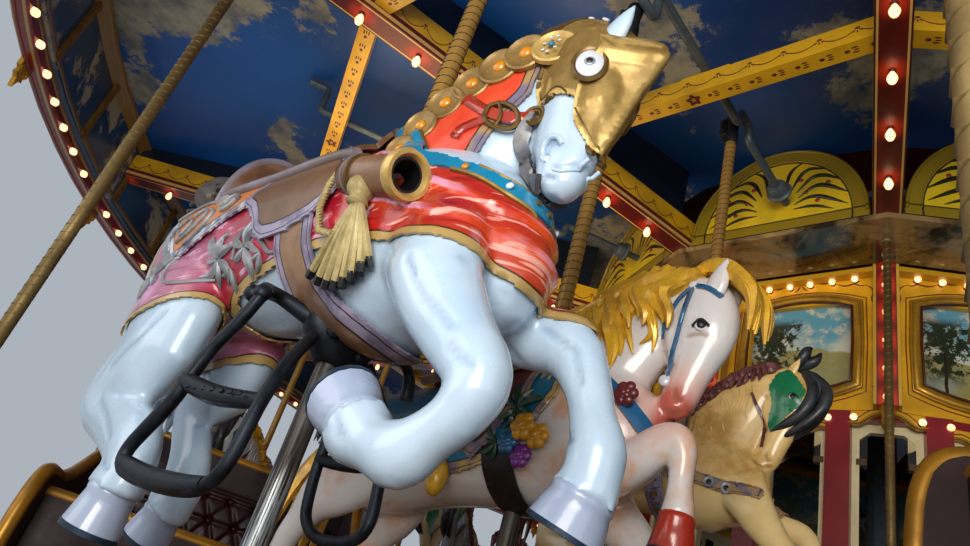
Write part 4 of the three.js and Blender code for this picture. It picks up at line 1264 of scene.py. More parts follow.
deselect()
bpy.ops.mesh.primitive_grid_add(x_subdivisions=24, y_subdivisions=8, size=1)
cantle = bpy.context.object
for number, vertex in enumerate(cantle.data.vertices):
    row, column = divmod(number, 25)
    vertex.co = cantle_point(row / 8, math.radians(-95 + 190 * column / 24))
cantle = painted(thickened(cantle, .014), SADDLE)
rim_line = [cantle_point(1, math.radians(a)) for a in range(-95, 96, 10)]
RIM_PATH = [(-.55, -.17), (-.46, -.19), (-.36, -.198), (-.24, -.205), (-.11, -.215), (.03, -.225), (.10, -.24)]
rims = [cord(rim_line, .0165, 8)] + [laid_cord(lead, RIM_PATH, .0135, side, .030, 18, 8) for side in (1, -1)]
rims.append(cord([cantle_point(.35, math.radians(a)) for a in range(-70, 71, 10)], .004, 4))
rim = painted(join(rims, "rim"), RIM)
horn = painted(smooth(loft([((.02, 0, -.17), .09, .12), ((-.05, 0, -.125), .075, .095),
                            ((-.10, 0, -.06), .045, .055),
                            ((-.135, 0, -.015), .032, .036), ((-.16, 0, .005), .040, .044),
                            ((-.175, 0, .016), .034, .038), ((-.182, 0, .022), .012, .014)], 20, 3)), SADDLE)
fur_path = [(aside, -.70, -.035 - .085 * (aside / .17) ** 2) for aside in np.linspace(-.18, .18, 13)]
fur = painted(cord(fur_path, [.035] + [.062 + .006 * (i % 2) for i in range(11)] + [.035], 14), FUR)
fur_lines = [cord([Vector(p) + Vector((0, .064 * math.cos(a), .064 * math.sin(a))) for p in fur_path], .007, 4)
             for a in np.linspace(0, 2 * math.pi, 15)[:-1]]
fur = join([fur, painted(join(fur_lines, "hair"), FUR)], "fur")
print("saddle:", sum(triangles(o) for o in (skirt, seat, cantle, rim, horn, fur)), "triangles")

# %% [markdown]
# **Roll, rope and tassel.** A leather roll with a brass mouth lies by the horn. The tassel below it
# is a fan of gilt cords with dark ends, and a rope of two strands joins them.

# %% Roll, rope and tassel
ROLL_START, ROLL_END = Vector((.207, .13, -.310)), Vector((.212, .335, -.368))
at_roll = facing(ROLL_START, ROLL_END - ROLL_START)
roll_length = (ROLL_END - ROLL_START).length
roll_parts = []
for profile, finish in (
        ([(.0, -.01), (.030, -.01), (.042, .004), (.045, .05), (.042, .06), (.044, roll_length - .01),
          (.036, roll_length - .01), (.036, .10), (0, .10)], SADDLE),
        ([(.0, .104), (.0345, .104), (.0345, roll_length - .004), (0.030, roll_length - .004), (.030, .11),
          (.0, .11)], BLACK),
        ([(.035, roll_length - .022), (.050, roll_length - .020), (.053, roll_length - .004),
          (.049, roll_length + .006), (.041, roll_length + .006), (.035, roll_length - .004)], BRASS),
        ([(.040, .052), (.0485, .053), (.0485, .060), (.040, .061)], DARK_BRASS),
        ([(.040, .030), (.047, .031), (.047, .036), (.040, .037)], RIM)):
    roll_parts.append(painted(placed(turned(profile, 24), at_roll), finish))
on_side = lambda forward, up, lift: touch(lead, forward, up, 1, lift)
rope = painted(twisted([on_side(.10, -.30, .03), on_side(.095, -.34, .03), on_side(.09, -.385, .03),
                        on_side(.105, -.435, .03),
                        on_side(.15, -.45, .03), on_side(.19, -.43, .03), on_side(.215, -.39, .03)], .0085, 20),
               TASSEL)
knob = painted(apply_all(smooth(loft([((.205, .225, -.350), .012, .012), ((.212, .225, -.368), .026, .026),
                                      ((.216, .222, -.386), .027, .027), ((.218, .22, -.40), .018, .018),
                                      ((.218, .22, -.412), .024, .024)], 14, 2))), TASSEL)
strands, ends = [], []
for number in range(15):
    share = number / 14
    low = on_side(.075 + .165 * share, -.495 - .035 * math.sin(share * 3.0), .018 + .012 * (number % 2))
    middle = on_side(.155 + .085 * share, -.45, .034)
    strands.append(cord([(.222, .215 + .01 * share, -.402), middle, low], [.006, .0078, .0085], 6))
    tail_end = low + (low - middle).normalized() * .016
    ends.append(cord([low - (low - middle).normalized() * .004, tail_end], [.0092, .0088], 6))
tassel = join([painted(join(strands, "strands"), TASSEL), painted(join(ends, "ends"), BLACK), knob, rope]
              + roll_parts, "tassel")
print("roll and tassel:", triangles(tassel), "triangles")

# %% [markdown]
# **Leaves and flap on the rump.** Silvered leaves are carved in low relief on the cloth. Each leaf
# is a cord that swells and tapers, half sunk in the skin, and they fan out in sprays.

# %% Carved leaves and rear flap
def spray(body, centre, reach, angles, side, lift=.004):
    """Leaves that fan out from a centre at these angles, long and short in turn."""
    leaves = []
    for number, angle in enumerate(angles):
        size = reach * (1.0 if number % 2 == 0 else .78)
        run = np.array([math.cos(math.radians(angle)), math.sin(math.radians(angle))])
        bow = np.array([-run[1], run[0]]) * size * .12
        path = [np.array(centre) + run * size * t + bow * math.sin(t * 3.1) for t in (.05, .3, .55, .8, 1.0)]
        leaves.append(cord([touch(body, a, b, side, lift) for a, b in path],
                           [size * .05, size * .15, size * .18, size * .11, size * .02], 6))
    return leaves


leaf_parts = []
for side in (1, -1):
    for centre, reach, angles in (((-.36, -.41), .075, (15, 70, 120, 170, 215, 260, 320)),
                                  ((-.225, -.405), .075, (30, 80, 150, 200, 290, 340)),
                                  ((-.62, -.43), .08, (40, 85, 130, 200, 260, 310)),
                                  ((-.30, -.435), .05, (190, 230, 270)), ((-.15, -.43), .05, (150, 190, 230))):
        leaf_parts += spray(cloth, centre, reach, angles, side)
    for path in ([(-.55, -.34), (-.575, -.39), (-.565, -.44), (-.52, -.475), (-.45, -.475), (-.38, -.45)],
                 [(-.38, -.38), (-.35, -.36), (-.32, -.355)], [(-.29, -.42), (-.26, -.37), (-.235, -.36)],
                 [(-.20, -.385), (-.16, -.40), (-.12, -.435), (-.09, -.44)]):
        leaf_parts.append(laid_cord(cloth, path, .0055, side, .002, 10))
leaves = painted(join(leaf_parts, "leaves"), SILVER)
flap = join([painted(peeled(lead, [(-.27, -.275), (-.30, -.295), (-.50, -.35), (-.605, -.395), (-.66, -.32),
                                   (-.73, -.22),
                                   (-.73, -.12), (-.55, -.11), (-.38, -.15), (-.26, -.18)], .016, .006, side),
                     FLAP)
             for side in (1, -1)], "flap")
flap_trim = []
for side in (1, -1):
    for path in ([(-.66, -.30), (-.60, -.25), (-.56, -.27), (-.585, -.31), (-.62, -.29)],
                 [(-.60, -.33), (-.53, -.30), (-.50, -.26), (-.53, -.23), (-.565, -.25)],
                 [(-.55, -.345), (-.47, -.31), (-.455, -.265), (-.49, -.24)],
                 [(-.69, -.23), (-.62, -.20), (-.57, -.19), (-.52, -.20)]):
        flap_trim.append(laid_cord(flap, path, .006, side, .003, 12))
    ring = [(-.395 + .032 * math.cos(a), -.245 + .026 * math.sin(a)) for a in np.linspace(0, 2 * math.pi, 13)]
    flap_trim.append(laid_cord(flap, ring, .0065, side, .006, 16))
    flap_trim.append(laid_cord(flap, [(-.44, -.225), (-.42, -.232)], .016, side, .006, 3))
    flap_trim.append(strap(cloth, [(-.71, -.24), (-.68, -.31), (-.62, -.375), (-.575, -.40)], .030, .006, side))
flap_trim = painted(join(flap_trim, "flap trim"), SILVER)
print("leaves", triangles(leaves), "flap", triangles(flap) + triangles(flap_trim))

# %% [markdown]
# **Head of the leading horse.** Armour of gilt brass covers the front of the head. It is peeled off
# the head and then pulled forward to a ridge with a pointed prow. Grooves cut the nostril, the
# mouth and the cheek into the white wood below it.

# %% Carving and armour of the head
carved(lead_head, [[(.502, -.240), (.495, -.222), (.505, -.207), (.522, -.205), (.534, -.212)]], .011, .012)
carved(lead_head, [[(.590, -.248), (.568, -.262), (.545, -.272), (.530, -.268)], [(.512, -.285), (.53, -.292)]],
       .005, .010)
carved(lead, [[(.30, -.56), (.24, -.62), (.22, -.66)], [(.40, -.56), (.47, -.64), (.55, -.70)],
              [(.56, -.735), (.605, -.765)],
              [(-.45, -.56), (-.50, -.64), (-.60, -.70)], [(-.66, -.56), (-.60, -.64), (-.66, -.72)],
              [(-.60, -.78), (-.50, -.83), (-.42, -.88)], [(.50, -.55), (.58, -.60), (.60, -.66)],
              [(-.40, -.93), (-.35, -.95)], [(.38, -.87), (.36, -.84)]], .005, .014)
PROW = np.array([(-.26, .595), (-.232, .600), (-.19, .624), (-.09, .664), (-.03, .700), (.0, .716), (.035, .700),
                 (.072, .655), (.09, .60), (.12, .55), (.16, .5)])


def drawn_to_prow(place):
    """Pulls the front of the armour forward to its ridge."""
    front = np.interp(place[:, 2], PROW[:, 0], PROW[:, 1]) - 1.35 * abs(place[:, 0])
    wanted = np.maximum(place[:, 1], front)
    share = np.clip((place[:, 1] - .50) / .03, 0, 1)
    place[:, 1] += (wanted - place[:, 1]) * share
    return place


CHANFRON_EDGE = [(.455, .19), (.462, .10), (.45, .06), (.44, .0), (.437, -.05), (.450, -.094), (.494, -.084),
                 (.530, -.118), (.557, -.17), (.585, -.224), (.60, -.24), (.85, -.25), (.85, .25)]
helmet = peeled(lead_head, CHANFRON_EDGE, .006, .0)
place = drawn_to_prow(coordinates(helmet.data))
helmet.data.vertices.foreach_set("co", place.ravel())
helmet.data.update()
add_modifier(helmet, "SMOOTH", factor=0.5, iterations=1)
add_modifier(helmet, "SOLIDIFY", thickness=.005, offset=0.0)
painted(smooth(helmet, 55), BRASS)
LOW_EDGE = [(.447, -.03), (.440, -.065), (.452, -.096), (.494, -.085), (.530, -.119), (.557, -.171), (.585, -.225),
            (.60, -.238)]
armour = []
for side in (1, -1):
    armour.append(laid_cord(helmet, LOW_EDGE, .0062, side, .0, 22))
    armour.append(laid_cord(helmet, [(a + .012, b + .013) for a, b in LOW_EDGE[1:]], .0024, side, .0, 22, 4))
    armour.append(laid_cord(helmet, [(.470, .10), (.455, .06), (.452, .02), (.446, -.02)], .005, side, .0, 12))
armour = painted(join(armour, "armour edges"), DARK_BRASS)


def eye(body, forward, up, side):
    """A white oval with a dark pupil in a rolled rim, as painted on the armour."""
    wide, high = .037, .030
    turn = facing(touch(body, forward, up, side), (side, .62, -.10))
    made = []
    for radius, lift, finish in ((1.0, .0, PEARL), (.40, .0075, GREY_IRIS), (.24, .0100, BLACK)):
        deselect()
        bpy.ops.mesh.primitive_uv_sphere_add(segments=20, ring_count=10, radius=radius)
        flat = Matrix.Diagonal((high, wide * (.8 if radius < 1 else 1), high * .30, 1))
        ball = placed(bpy.context.object, turn @ Matrix.Translation((0, 0, lift)) @ flat)
        made.append(painted(smooth(ball), finish))
    for size, thread in ((1.06, .0048), (1.20, .0020)):
        points = [turn @ Vector((high * size * math.cos(a), wide * size * math.sin(a), .001))
                  for a in np.linspace(0, 2 * math.pi, 25)[:-1]]
        made.append(painted(cord(points, thread, 6, closed=True), DARK_BRASS))
    return made


parts = []
for side in (1, -1):
    parts += eye(helmet, .585, -.048, side)
eyes = join(parts, "eyes")
print("armour:", triangles(helmet) + triangles(armour), "triangles")

# %% [markdown]
# **Crest, straps and bit.** Overlapping dished plates with amber stones run up the neck, small pearls
# stand along its top, and a red strap with a brass buckle crosses the neck cloth. Everything is
# repeated on the far side, because the whole horse can be seen from the next bay.

# %% Crest plates, strap, boss and ears
crest = painted(peeled(lead_head, [(-.02, .06), (.06, .03), (.14, .03), (.22, .055), (.30, .085), (.38, .105),
                                   (.46, .12), (.50, .16), (.52, .3), (-.05, .3)], .006, .006), DARK_BRASS)
PLATE = [(.0, .006), (.012, .006), (.028, .004), (.036, .0075), (.041, .010), (.045, .008), (.046, .0),
         (.040, -.006), (.0, -.006)]
plates, stones, pearls = [], [], []
for side in (1, -1):
    for forward, up, size in ((.400, .060, 1.15), (.335, .040, 1.15), (.272, .005, 1.1), (.218, -.045, 1.05),
                              (.176, -.110, .95), (.150, -.180, .85)):
        place = touch(lead_head, forward, up, side)
        look = Vector((side, .25, -.06))
        plate = placed(turned(PLATE, 22), facing(place + look.normalized() * .014, look, size))
        plates.append(painted(plate, PLATE_BRASS))
        stones.append(painted(stone(place + look.normalized() * .020, look, .0155 * size), AMBER))
        edge = place + Vector((0, -.022, .044)) * size + look.normalized() * .016
        pearls.append(painted(stone(edge, look, .0085), PEARL))
    star = touch(lead_head, .475, .055, side, .012)
    plates.append(painted(placed(turned(PLATE, 24), facing(star, (side, .35, .05), 1.15)), BRASS))
    for number in range(7):
        angle = math.radians(number * 51.4)
        spot = star + Vector((side * .016, .022 * math.cos(angle), .022 * math.sin(angle)))
        pearls.append(painted(stone(spot, (side, .3, .5), .0048), PEARL))
    stones.append(painted(stone(star + Vector((side * .016, 0, 0)), (side, .3, .5), .009), COLLAR))
for forward, up in ((.06, .11), (.12, .165), (.19, .19), (.26, .205), (.33, .212), (.40, .205), (.46, .185),
                    (.50, .165), (.54, .14)):
    for aside in (-.022, .022):
        hit, place, normal, _ = lead_head.ray_cast((aside, forward, .6), (0, 0, -1))
        if hit:
            pearls.append(painted(stone(place + normal * .012, normal, .0095), PEARL
                                  if int(forward * 50) % 2 else COLLAR))
boss, tack = [], []
BUCKLE = [(.352, -.092), (.385, -.088), (.412, -.112), (.408, -.145), (.378, -.150), (.350, -.128)]
for side in (1, -1):
    tack.append(painted(strap(lead_head, [(.275, -.045), (.31, -.075), (.345, -.102), (.385, -.12), (.425, -.118),
                                          (.445, -.108)],
                              .026, .0045, side, .006), STRAP_RED))
    tack.append(painted(strap(lead_head, [(.288, -.168), (.298, -.148), (.322, -.135), (.352, -.125)], .022, .0045,
                              side, .006, 12),
                        STRAP_RED))
    tack.append(painted(laid_cord(lead_head, BUCKLE + BUCKLE[:1], .0058, side, .016, 30), DARK_BRASS))
    tack.append(painted(laid_cord(lead_head, [(.372, -.085), (.382, -.118), (.376, -.150)], .0042, side, .018, 8),
                        DARK_BRASS))
    tack.append(painted(strap(lead_head, [(.445, -.108), (.428, -.142), (.420, -.182), (.436, -.228),
                                          (.470, -.272), (.498, -.292)],
                              .026, .007, side, .004), DARK_SILVER))
    place = touch(lead_head, .452, -.112, side, .012)
    for size in (1.0, .62):
        ring = turned([(.014, 0), (.018, .005), (.023, .006), (.027, .001), (.022, -.004), (.016, -.004)], 18)
        boss.append(painted(placed(ring, facing(place, (side, .25, -.05), size)), DARK_BRASS))
    for forward, up in ((.30, -.281), (.385, -.308), (.455, -.333)):
        body = lead if forward > .32 else lead_head
        stones.append(painted(stone(touch(body, forward, up, side, .018), (side, .4, .1), .0085), AMBER
                              if forward < .4 else PEARL))
ears = [painted(ear((.585, side * .045, .045), (.645, side * .060, .118), .033, .016), WHITE) for side in (1, -1)]
horns, shoes = [], []
for side in (1, -1):
    ears.append(painted(laid_cord(lead_head, [(.512, -.246), (.494, -.236), (.490, -.212), (.505, -.194),
                                              (.527, -.196), (.537, -.214)],
                                  .0065, side, .001, 20, 8), WHITE))
    ears.append(painted(laid_cord(lead_head, [(.592, -.250), (.570, -.266), (.545, -.277), (.528, -.272)], .005,
                                  side, .0, 12, 8), WHITE))
for start, end in LEAD_HOOVES:
    horn_part, shoe_part = hoof(start, end)
    horns.append(painted(horn_part, HOOF_BLUE))
    shoes.append(painted(shoe_part, SHOE))
tail = []
for number in range(9):
    aside = (number - 4) * .016
    wave = .03 * math.sin(number * 2.1)
    tail.append(painted(cord([(aside * .3, -.97, -.22), (aside * .8 - .03, -1.01, -.27),
                              (aside - .09, -1.02 + wave * .3, -.38),
                              (aside - .12 + wave * .3, -.99 - wave * .3, -.50),
                              (aside - .13, -.98 + wave * .4, -.61),
                              (aside - .12 + wave * .4, -.95 + wave * .3, -.72)],
                             [.026, .028, .026, .022, .016, .004], 8), WHITE))
head_trim = join(plates + stones + pearls + boss + tack + [eyes], "head trim")
print("crest and straps:", triangles(head_trim) + triangles(crest), "triangles")

# %% [markdown]
# Now the pieces are gathered. Each keeps its local place as an attribute, is turned and moved to
# the horse's place on the turntable, and rides on the horse's own sliding body.

# %% Set the leading horse down
ROWS = ("outer", "middle", "inner")
ROW_RADII = {"outer": 4.31, "middle": 3.59, "inner": 2.64}
ROW_SCALES = {"outer": 1.0, "middle": 0.86, "inner": 0.74}
ROW_PHASES = {"outer": 60.0, "middle": 180.0, "inner": 300.0}
ROW_SADDLES = {"outer": 1.775, "middle": 1.880, "inner": 1.890}
CRANK_THROW = 0.165


def crank_rise(row, bay):
    """How far a crank holds its horse above or below the middle of its stroke."""
    return CRANK_THROW * math.cos(math.radians(ROW_PHASES[row] - 60 * bay))


def horse_place(row, bay):
    """Where a horse's own frame stands: aside is outward, forward is round the turntable."""
    polar = BAY_ANGLES[bay]
    return (Matrix.Translation(on_polar(ROW_RADII[row], polar, ROW_SADDLES[row] + crank_rise(row, bay)))
            @ about_axis(polar)
            @ Matrix.Scale(ROW_SCALES[row], 4))


def keep_local(obj):
    kept = obj.data.attributes.get("local") or obj.data.attributes.new("local", "FLOAT_VECTOR", "POINT")
    kept.data.foreach_set("vector", coordinates(obj.data).ravel())
    return obj


def set_down(obj, name, row, bay):
    keep_local(obj)
    obj.matrix_world = horse_place(row, bay)
    return settle(obj, name, "%s_horse_%d" % (row, bay + 1))


painted(lead, WHITE)
painted(lead_head, WHITE)
LEAD_MOST = {"carving": 86000, "cloth": 40000, "armour": 40000}
REST_MOST = 20000
lead_white = join([lead, lead_head] + ears + tail, "lead white")
for piece, name, slot in (
        (lead_white, "outer_horse_1_carving", "horse_white"), (cloth, "outer_horse_1_cloth", "chariot_paint"),
        (girth, "outer_horse_1_girth", "horse_tan"), (collar, "outer_horse_1_collar", "horse_gold"),
        (neck_cloth, "outer_horse_1_neck_cloth", "chariot_paint"),
        (skirt, "outer_horse_1_saddle_skirt", "horse_tan"),
        (join([seat, cantle, rim, horn, fur], "saddle"), "outer_horse_1_saddle", "horse_tan"),
        (tassel, "outer_horse_1_roll_and_tassel", "horse_gold"),
        (join([leaves, flap, flap_trim], "rump"), "outer_horse_1_rump_carving", "horse_gold"),
        (join([helmet, armour, crest], "armour"), "outer_horse_1_armour", "horse_gold"),
        (head_trim, "outer_horse_1_head_trim", "horse_gold"),
        (join(horns + shoes, "hooves"), "outer_horse_1_hooves", "horse_white")):
    capped(piece, LEAD_MOST.get(name[len("outer_horse_1_"):], REST_MOST))
    set_down(piece, name, "outer", 0)
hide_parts("outer_horse_1")
print("leading horse set down")

# %% [markdown]
# # The frame of the roundabout
# **Rods.** The deck hangs from 24 rods sleeved in twisted brass, as the horses' poles are. The sleeve
# is a round tube with a thin seam wound round it, a real thread rather than a painted stripe, so that
# it catches the light from every side. One rod is made and copied round the axis.

# %% Twisted rods
def tube(radius, low, high, sides):
    """A plain upright tube, to be dressed with a seam and fittings."""
    deselect()
    bpy.ops.mesh.primitive_cylinder_add(vertices=sides, radius=radius, depth=high - low,
                                        location=(0, 0, (high + low) / 2))
    return smooth(apply_all(bpy.context.object), 50)


def winding(radius, low, high, pitch, thread, steps=6, sides=3):
    """A thread wound round an upright rod, as one long thin cord."""
    count = int((high - low) / pitch * steps)
    points = [(radius * math.cos(2 * math.pi * n / steps), radius * math.sin(2 * math.pi * n / steps),
               low + (high - low) * n / count) for n in range(count + 1)]
    return wound(points, thread, sides)


def wound(points, thread, sides):
    """A thread's skin, built ring by ring from one circle."""
    path = np.array(points)
    run = np.gradient(path, axis=0)
    run /= np.linalg.norm(run, axis=1)[:, None]
    out = path * (1, 1, 0)
    out /= np.linalg.norm(out, axis=1)[:, None]
    up = np.cross(run, out)
    deselect()
    bpy.ops.mesh.primitive_grid_add(x_subdivisions=sides, y_subdivisions=len(path) - 1, size=1)
    obj = bpy.context.object
    places = np.empty((len(path), sides + 1, 3))
    for side in range(sides + 1):
        angle = 2 * math.pi * side / sides
        places[:, side] = path + thread * (math.cos(angle) * out + math.sin(angle) * up)
    obj.data.vertices.foreach_set("co", places.reshape(-1, 3).ravel())
    return smooth(outward(obj, 0.00005))


ROD_BRASS = metal("twisted rod brass", "#8f7748", "#4d3b1f", 0.4, 0.6, 9.0)
ROD_SEAM = metal("rod seam", "#3a2a17", "#1e150c", 0.5, 0.4)
SLEEVE_BRASS = metal("yellow pole sleeve", "#b98f48", "#7d5c28", 0.34, 0.45, 7.0)
ROD_FOOT, RING_STEPS = .315, 96
for name, radius, thick, top in (("outer_drop_rods", 4.79, .050, 3.2), ("inner_drop_rods", 1.96, .042, 3.17)):
    rod = painted(tube(thick / 2 - .003, ROD_FOOT, top, 12), ROD_BRASS)
    seam = painted(winding(thick / 2 - .003, .46, top - .06, .034, .0045), ROD_BRASS)
    fittings = []
    for height, size in ((.455, 1.0), (top - .035, .9)):
        knob = turned([(.0, -.012), (thick * .85, -.012), (thick * .9, 0), (thick * .6, .012), (thick * .66, .026),
                       (thick * .50, .034), (.0, .034)], 16)
        knob = placed(knob, Matrix.Translation((0, 0, height)) @ Matrix.Scale(size, 4))
        fittings.append(painted(knob, ROD_BRASS))
    one = join([rod, seam] + fittings, "rod")
    rods = scatter(one, [Matrix.Translation(on_polar(radius, turn)) for turn in SWEEP_ANGLES], name + "_twisted")
    ring = painted(spun([(radius - .052, .300), (radius - .046, .295), (radius + .046, .295),
                         (radius + .052, .300), (radius + .052, .399), (radius + .046, .404),
                         (radius - .046, .404), (radius - .052, .399)], RING_STEPS),
                   CAST_IRON)
    rods = join([rods, smooth(ring, 40)], name + "_twisted")
    settle(rods, name + "_twisted", "turntable")
    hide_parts(name)
    print(name, triangles(rods), "triangles")

# %% [markdown]
# **Cranks.** Each bay has a bent pipe overhead, stepped up or down over each horse, that turns to make
# the horses rise and fall. A path of straight runs with rounded corners gives the pipe, and every
# pole hangs from it by a black casting.

# %% Crank pipes and hangers
CRANK_HEIGHT, CRANK_ASIDE, PIN_HALF = 3.380, 0.058, 0.060


def eased_corners(points, reach, steps=4):
    """Rounds each corner of a path of straight runs."""
    made = [Vector(points[0])]
    for a, b, c in zip(points, points[1:], points[2:]):
        a, b, c = Vector(a), Vector(b), Vector(c)
        start = b + (a - b).normalized() * min(reach, (a - b).length / 2)
        end = b + (c - b).normalized() * min(reach, (c - b).length / 2)
        made += [start.lerp(b, t).lerp(b.lerp(end, t), t) for t in np.linspace(0, 1, steps)]
    return made + [Vector(points[-1])]


crank_parts = []
for bay, turn in enumerate(BAY_ANGLES):
    line = [(1.99, CRANK_ASIDE, CRANK_HEIGHT)]
    for row in reversed(ROWS):
        rise = crank_rise(row, bay)
        near, far = ROW_RADII[row] - PIN_HALF, ROW_RADII[row] + PIN_HALF
        line += [(near, CRANK_ASIDE, CRANK_HEIGHT), (near, CRANK_ASIDE, CRANK_HEIGHT + rise),
                 (far, CRANK_ASIDE, CRANK_HEIGHT + rise), (far, CRANK_ASIDE, CRANK_HEIGHT)]
    line = line[:-1]
    pipe = painted(cord(eased_corners(line, .028, 3), .021, 10, smooth_path=False), GREY_STEEL)
    boss = turned([(.0, 0), (.062, 0), (.066, .012), (.052, .02), (.050, .055), (.040, .07), (.0, .07)], 20)
    boss = placed(boss, facing((2.14, CRANK_ASIDE, CRANK_HEIGHT), (1, 0, 0)))
    crank_parts.append(placed(join([pipe, painted(boss, GREY_STEEL)], "crank"), about_axis(turn)))
bearing_ring = painted(smooth(spun([(1.96, 3.382), (2.02, 3.382), (2.02, 3.42), (1.96, 3.42)], 72), 40),
                       GREY_STEEL)
cranks = settle(join(crank_parts + [bearing_ring], "cranks"), "crank_pipes", "turntable")
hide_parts("crank_shafts")
print("cranks:", triangles(cranks), "triangles")

# %% [markdown]
# **Bulbs.** About 450 bulbs light the frame. One pear-shaped bulb in its socket is turned with few
# faces and scattered to every place. The glass glows by itself, too weakly to light a room, so the
# soft lights inside do that work.

# %% Bulbs
def glass_finish():
    paint = Finish("warm bulb glass")
    spot = paint.noise(30, 1)
    colour = paint.mix(tint("#ffe9bc"), tint("#ffb574"), spot)
    return paint.use(colour, 0.2, coat=0.5, glow=(colour, 1.6))


GLASS = glass_finish()
GLASS.material.cycles.emission_sampling = "NONE"
SOCKET = gloss("maroon socket", "#4a100c", "#220706")


def bulb(radius, length):
    """A bulb that hangs down from its socket at the origin."""
    glass = painted(turned([(.0, -length), (radius * .62, -length * .93), (radius, -length * .66),
                            (radius * .86, -length * .42),
                            (radius * .5, -length * .18), (radius * .45, -.004), (.0, -.004)], 9), GLASS)
    cap = painted(turned([(.0, .006), (radius * .75, .006), (radius * .72, -length * .10),
                          (radius * .55, -length * .16), (.0, -length * .16)], 9), SOCKET)
    return join([glass, cap], "bulb")


RIM_BULBS, RIM_BULB_RADIUS, RIM_BULB_HEIGHT, RIM_BULB_TILT = 144, 5.606, 2.898, 52
POST_BULB_RADIUS, DRUM_BULB_RADIUS = 1.7165, 1.604
tilted = Matrix.Rotation(math.radians(RIM_BULB_TILT), 4, "Y")
rim_angles = [360 / RIM_BULBS * k for k in range(RIM_BULBS)]
rim_places = [Matrix.Translation(on_polar(RIM_BULB_RADIUS, turn, RIM_BULB_HEIGHT)) @ about_axis(turn) @ tilted
              for turn in rim_angles]
rim_bulbs = settle(scatter(bulb(.023, .058), rim_places, "rim_bulbs"), "rim_bulbs", "turntable")
sweep_places = [Matrix.Translation(on_polar(SWEEP_BULB_FIRST + SWEEP_BULB_SPACING * k, turn, SWEEP_BOTTOM))
                for turn in SWEEP_ANGLES for k in range(SWEEP_BULBS)]
sweep_bulbs = settle(scatter(bulb(.021, .070), sweep_places, "sweep_bulbs"), "sweep_bulbs", "turntable")
POST_BULB_HEIGHTS = [3.13, 3.023, 2.862, 2.702, 2.546, 2.396]
outwards = Matrix.Rotation(math.radians(-90), 4, "Y")
post_places = [Matrix.Translation(on_polar(POST_BULB_RADIUS, turn, height)) @ about_axis(turn) @ outwards
               for turn in SWEEP_ANGLES for height in POST_BULB_HEIGHTS]
post_bulbs = settle(scatter(bulb(.021, .046), post_places, "post_bulbs"), "post_bulbs", "turntable")
drum_places = [Matrix.Translation(on_polar(DRUM_BULB_RADIUS, turn, height, aside)) @ about_axis(turn) @ outwards
               for turn in BAY_ANGLES for height, asides in ((3.122, (-.285, -.17, -.055, .055, .17, .285)),
                                                             (2.325, (-.288, -.17, .17, .288)))
               for aside in asides]
drum_bulbs = settle(scatter(bulb(.018, .040), drum_places, "drum_bulbs"), "drum_bulbs", "turntable")
print("bulbs:", len(rim_places) + len(sweep_places) + len(post_places) + len(drum_places), "with",
      sum(triangles(o) for o in (rim_bulbs, sweep_bulbs, post_bulbs, drum_bulbs)), "triangles")

# %% [markdown]
# **Lunettes.** Over the soffit each bay closes with an arched yellow board. Its border is a raised
# olive band, drawn here as real relief, with long dark leaves that sweep into the corners. One arch
# is modelled and copied.

# %% Lunettes
LUNETTE_FACE, LUNETTE_HALF, LUNETTE_SPRING, LUNETTE_RISE, LUNETTE_BOTTOM = 2.0478, .4697, 3.240, .5174, 3.200
LUNETTE_THICK, LUNETTE_MOST = .024, 4000


def arch_points():
    """The closed outline of the arched board, as (aside, up) points."""
    foot = [(-LUNETTE_HALF, LUNETTE_BOTTOM), (LUNETTE_HALF, LUNETTE_BOTTOM)]
    return foot + [(LUNETTE_HALF * math.cos(a), LUNETTE_SPRING + LUNETTE_RISE * math.sin(a))
                   for a in np.linspace(0, math.pi, 28)]


def slab(points, back, front):
    """A flat board between two depths; points are (aside, up)."""
    deselect()
    bpy.ops.mesh.primitive_circle_add(vertices=len(points), radius=1, fill_type="NGON")
    obj = bpy.context.object
    for vertex, (aside, up) in zip(obj.data.vertices, points):
        vertex.co = (back, aside, up)
    bpy.ops.object.mode_set(mode="EDIT")
    bpy.ops.mesh.select_all(action="SELECT")
    bpy.ops.mesh.extrude_region_move(TRANSFORM_OT_translate={"value": (front - back, 0, 0)})
    return outward(obj)


def stroke(points, radii, face, flat=.35, sides=4):
    """A painted stroke as very low relief on a flat face: points are (aside, up)."""
    path = rounded(points, 6)
    sizes = np.interp(np.linspace(0, 1, 6), np.linspace(0, 1, len(radii)), radii)
    made = cord([(0, aside, up) for aside, up in path], [float(v) for v in sizes], sides)
    return placed(made, Matrix.Translation((face, 0, 0)) @ Matrix.Diagonal((flat, 1, 1, 1)))


def lunette_paint():
    paint = Finish("lunette yellow with black line")
    _, aside, z, _ = folded(paint, 15)
    across, up = aside / LUNETTE_HALF, (z - LUNETTE_SPRING) / LUNETTE_RISE
    reach = paint.math("SQRT", across * across + up * up)
    band = reach.over(0.845, 0.003).either(z.under(3.262, 0.002))
    line = reach.within(0.825, 0.842, 0.003).either(z.within(3.262, 3.270, 0.001))
    colour = worn(paint, tint("#d9b81e"), tint("#a08a1c"), 0.5, 5.0)
    colour = paint.mix(colour, tint("#8a7416"), band)
    colour = paint.mix(colour, tint("#17150b"), line)
    colour = paint.mix(colour, tint("#17150b"), z.under(3.206, 0.001))
    return paint.use(colour, 0.32, coat=0.35, height=paint.noise(30, 3), strength=0.12, depth=0.003)


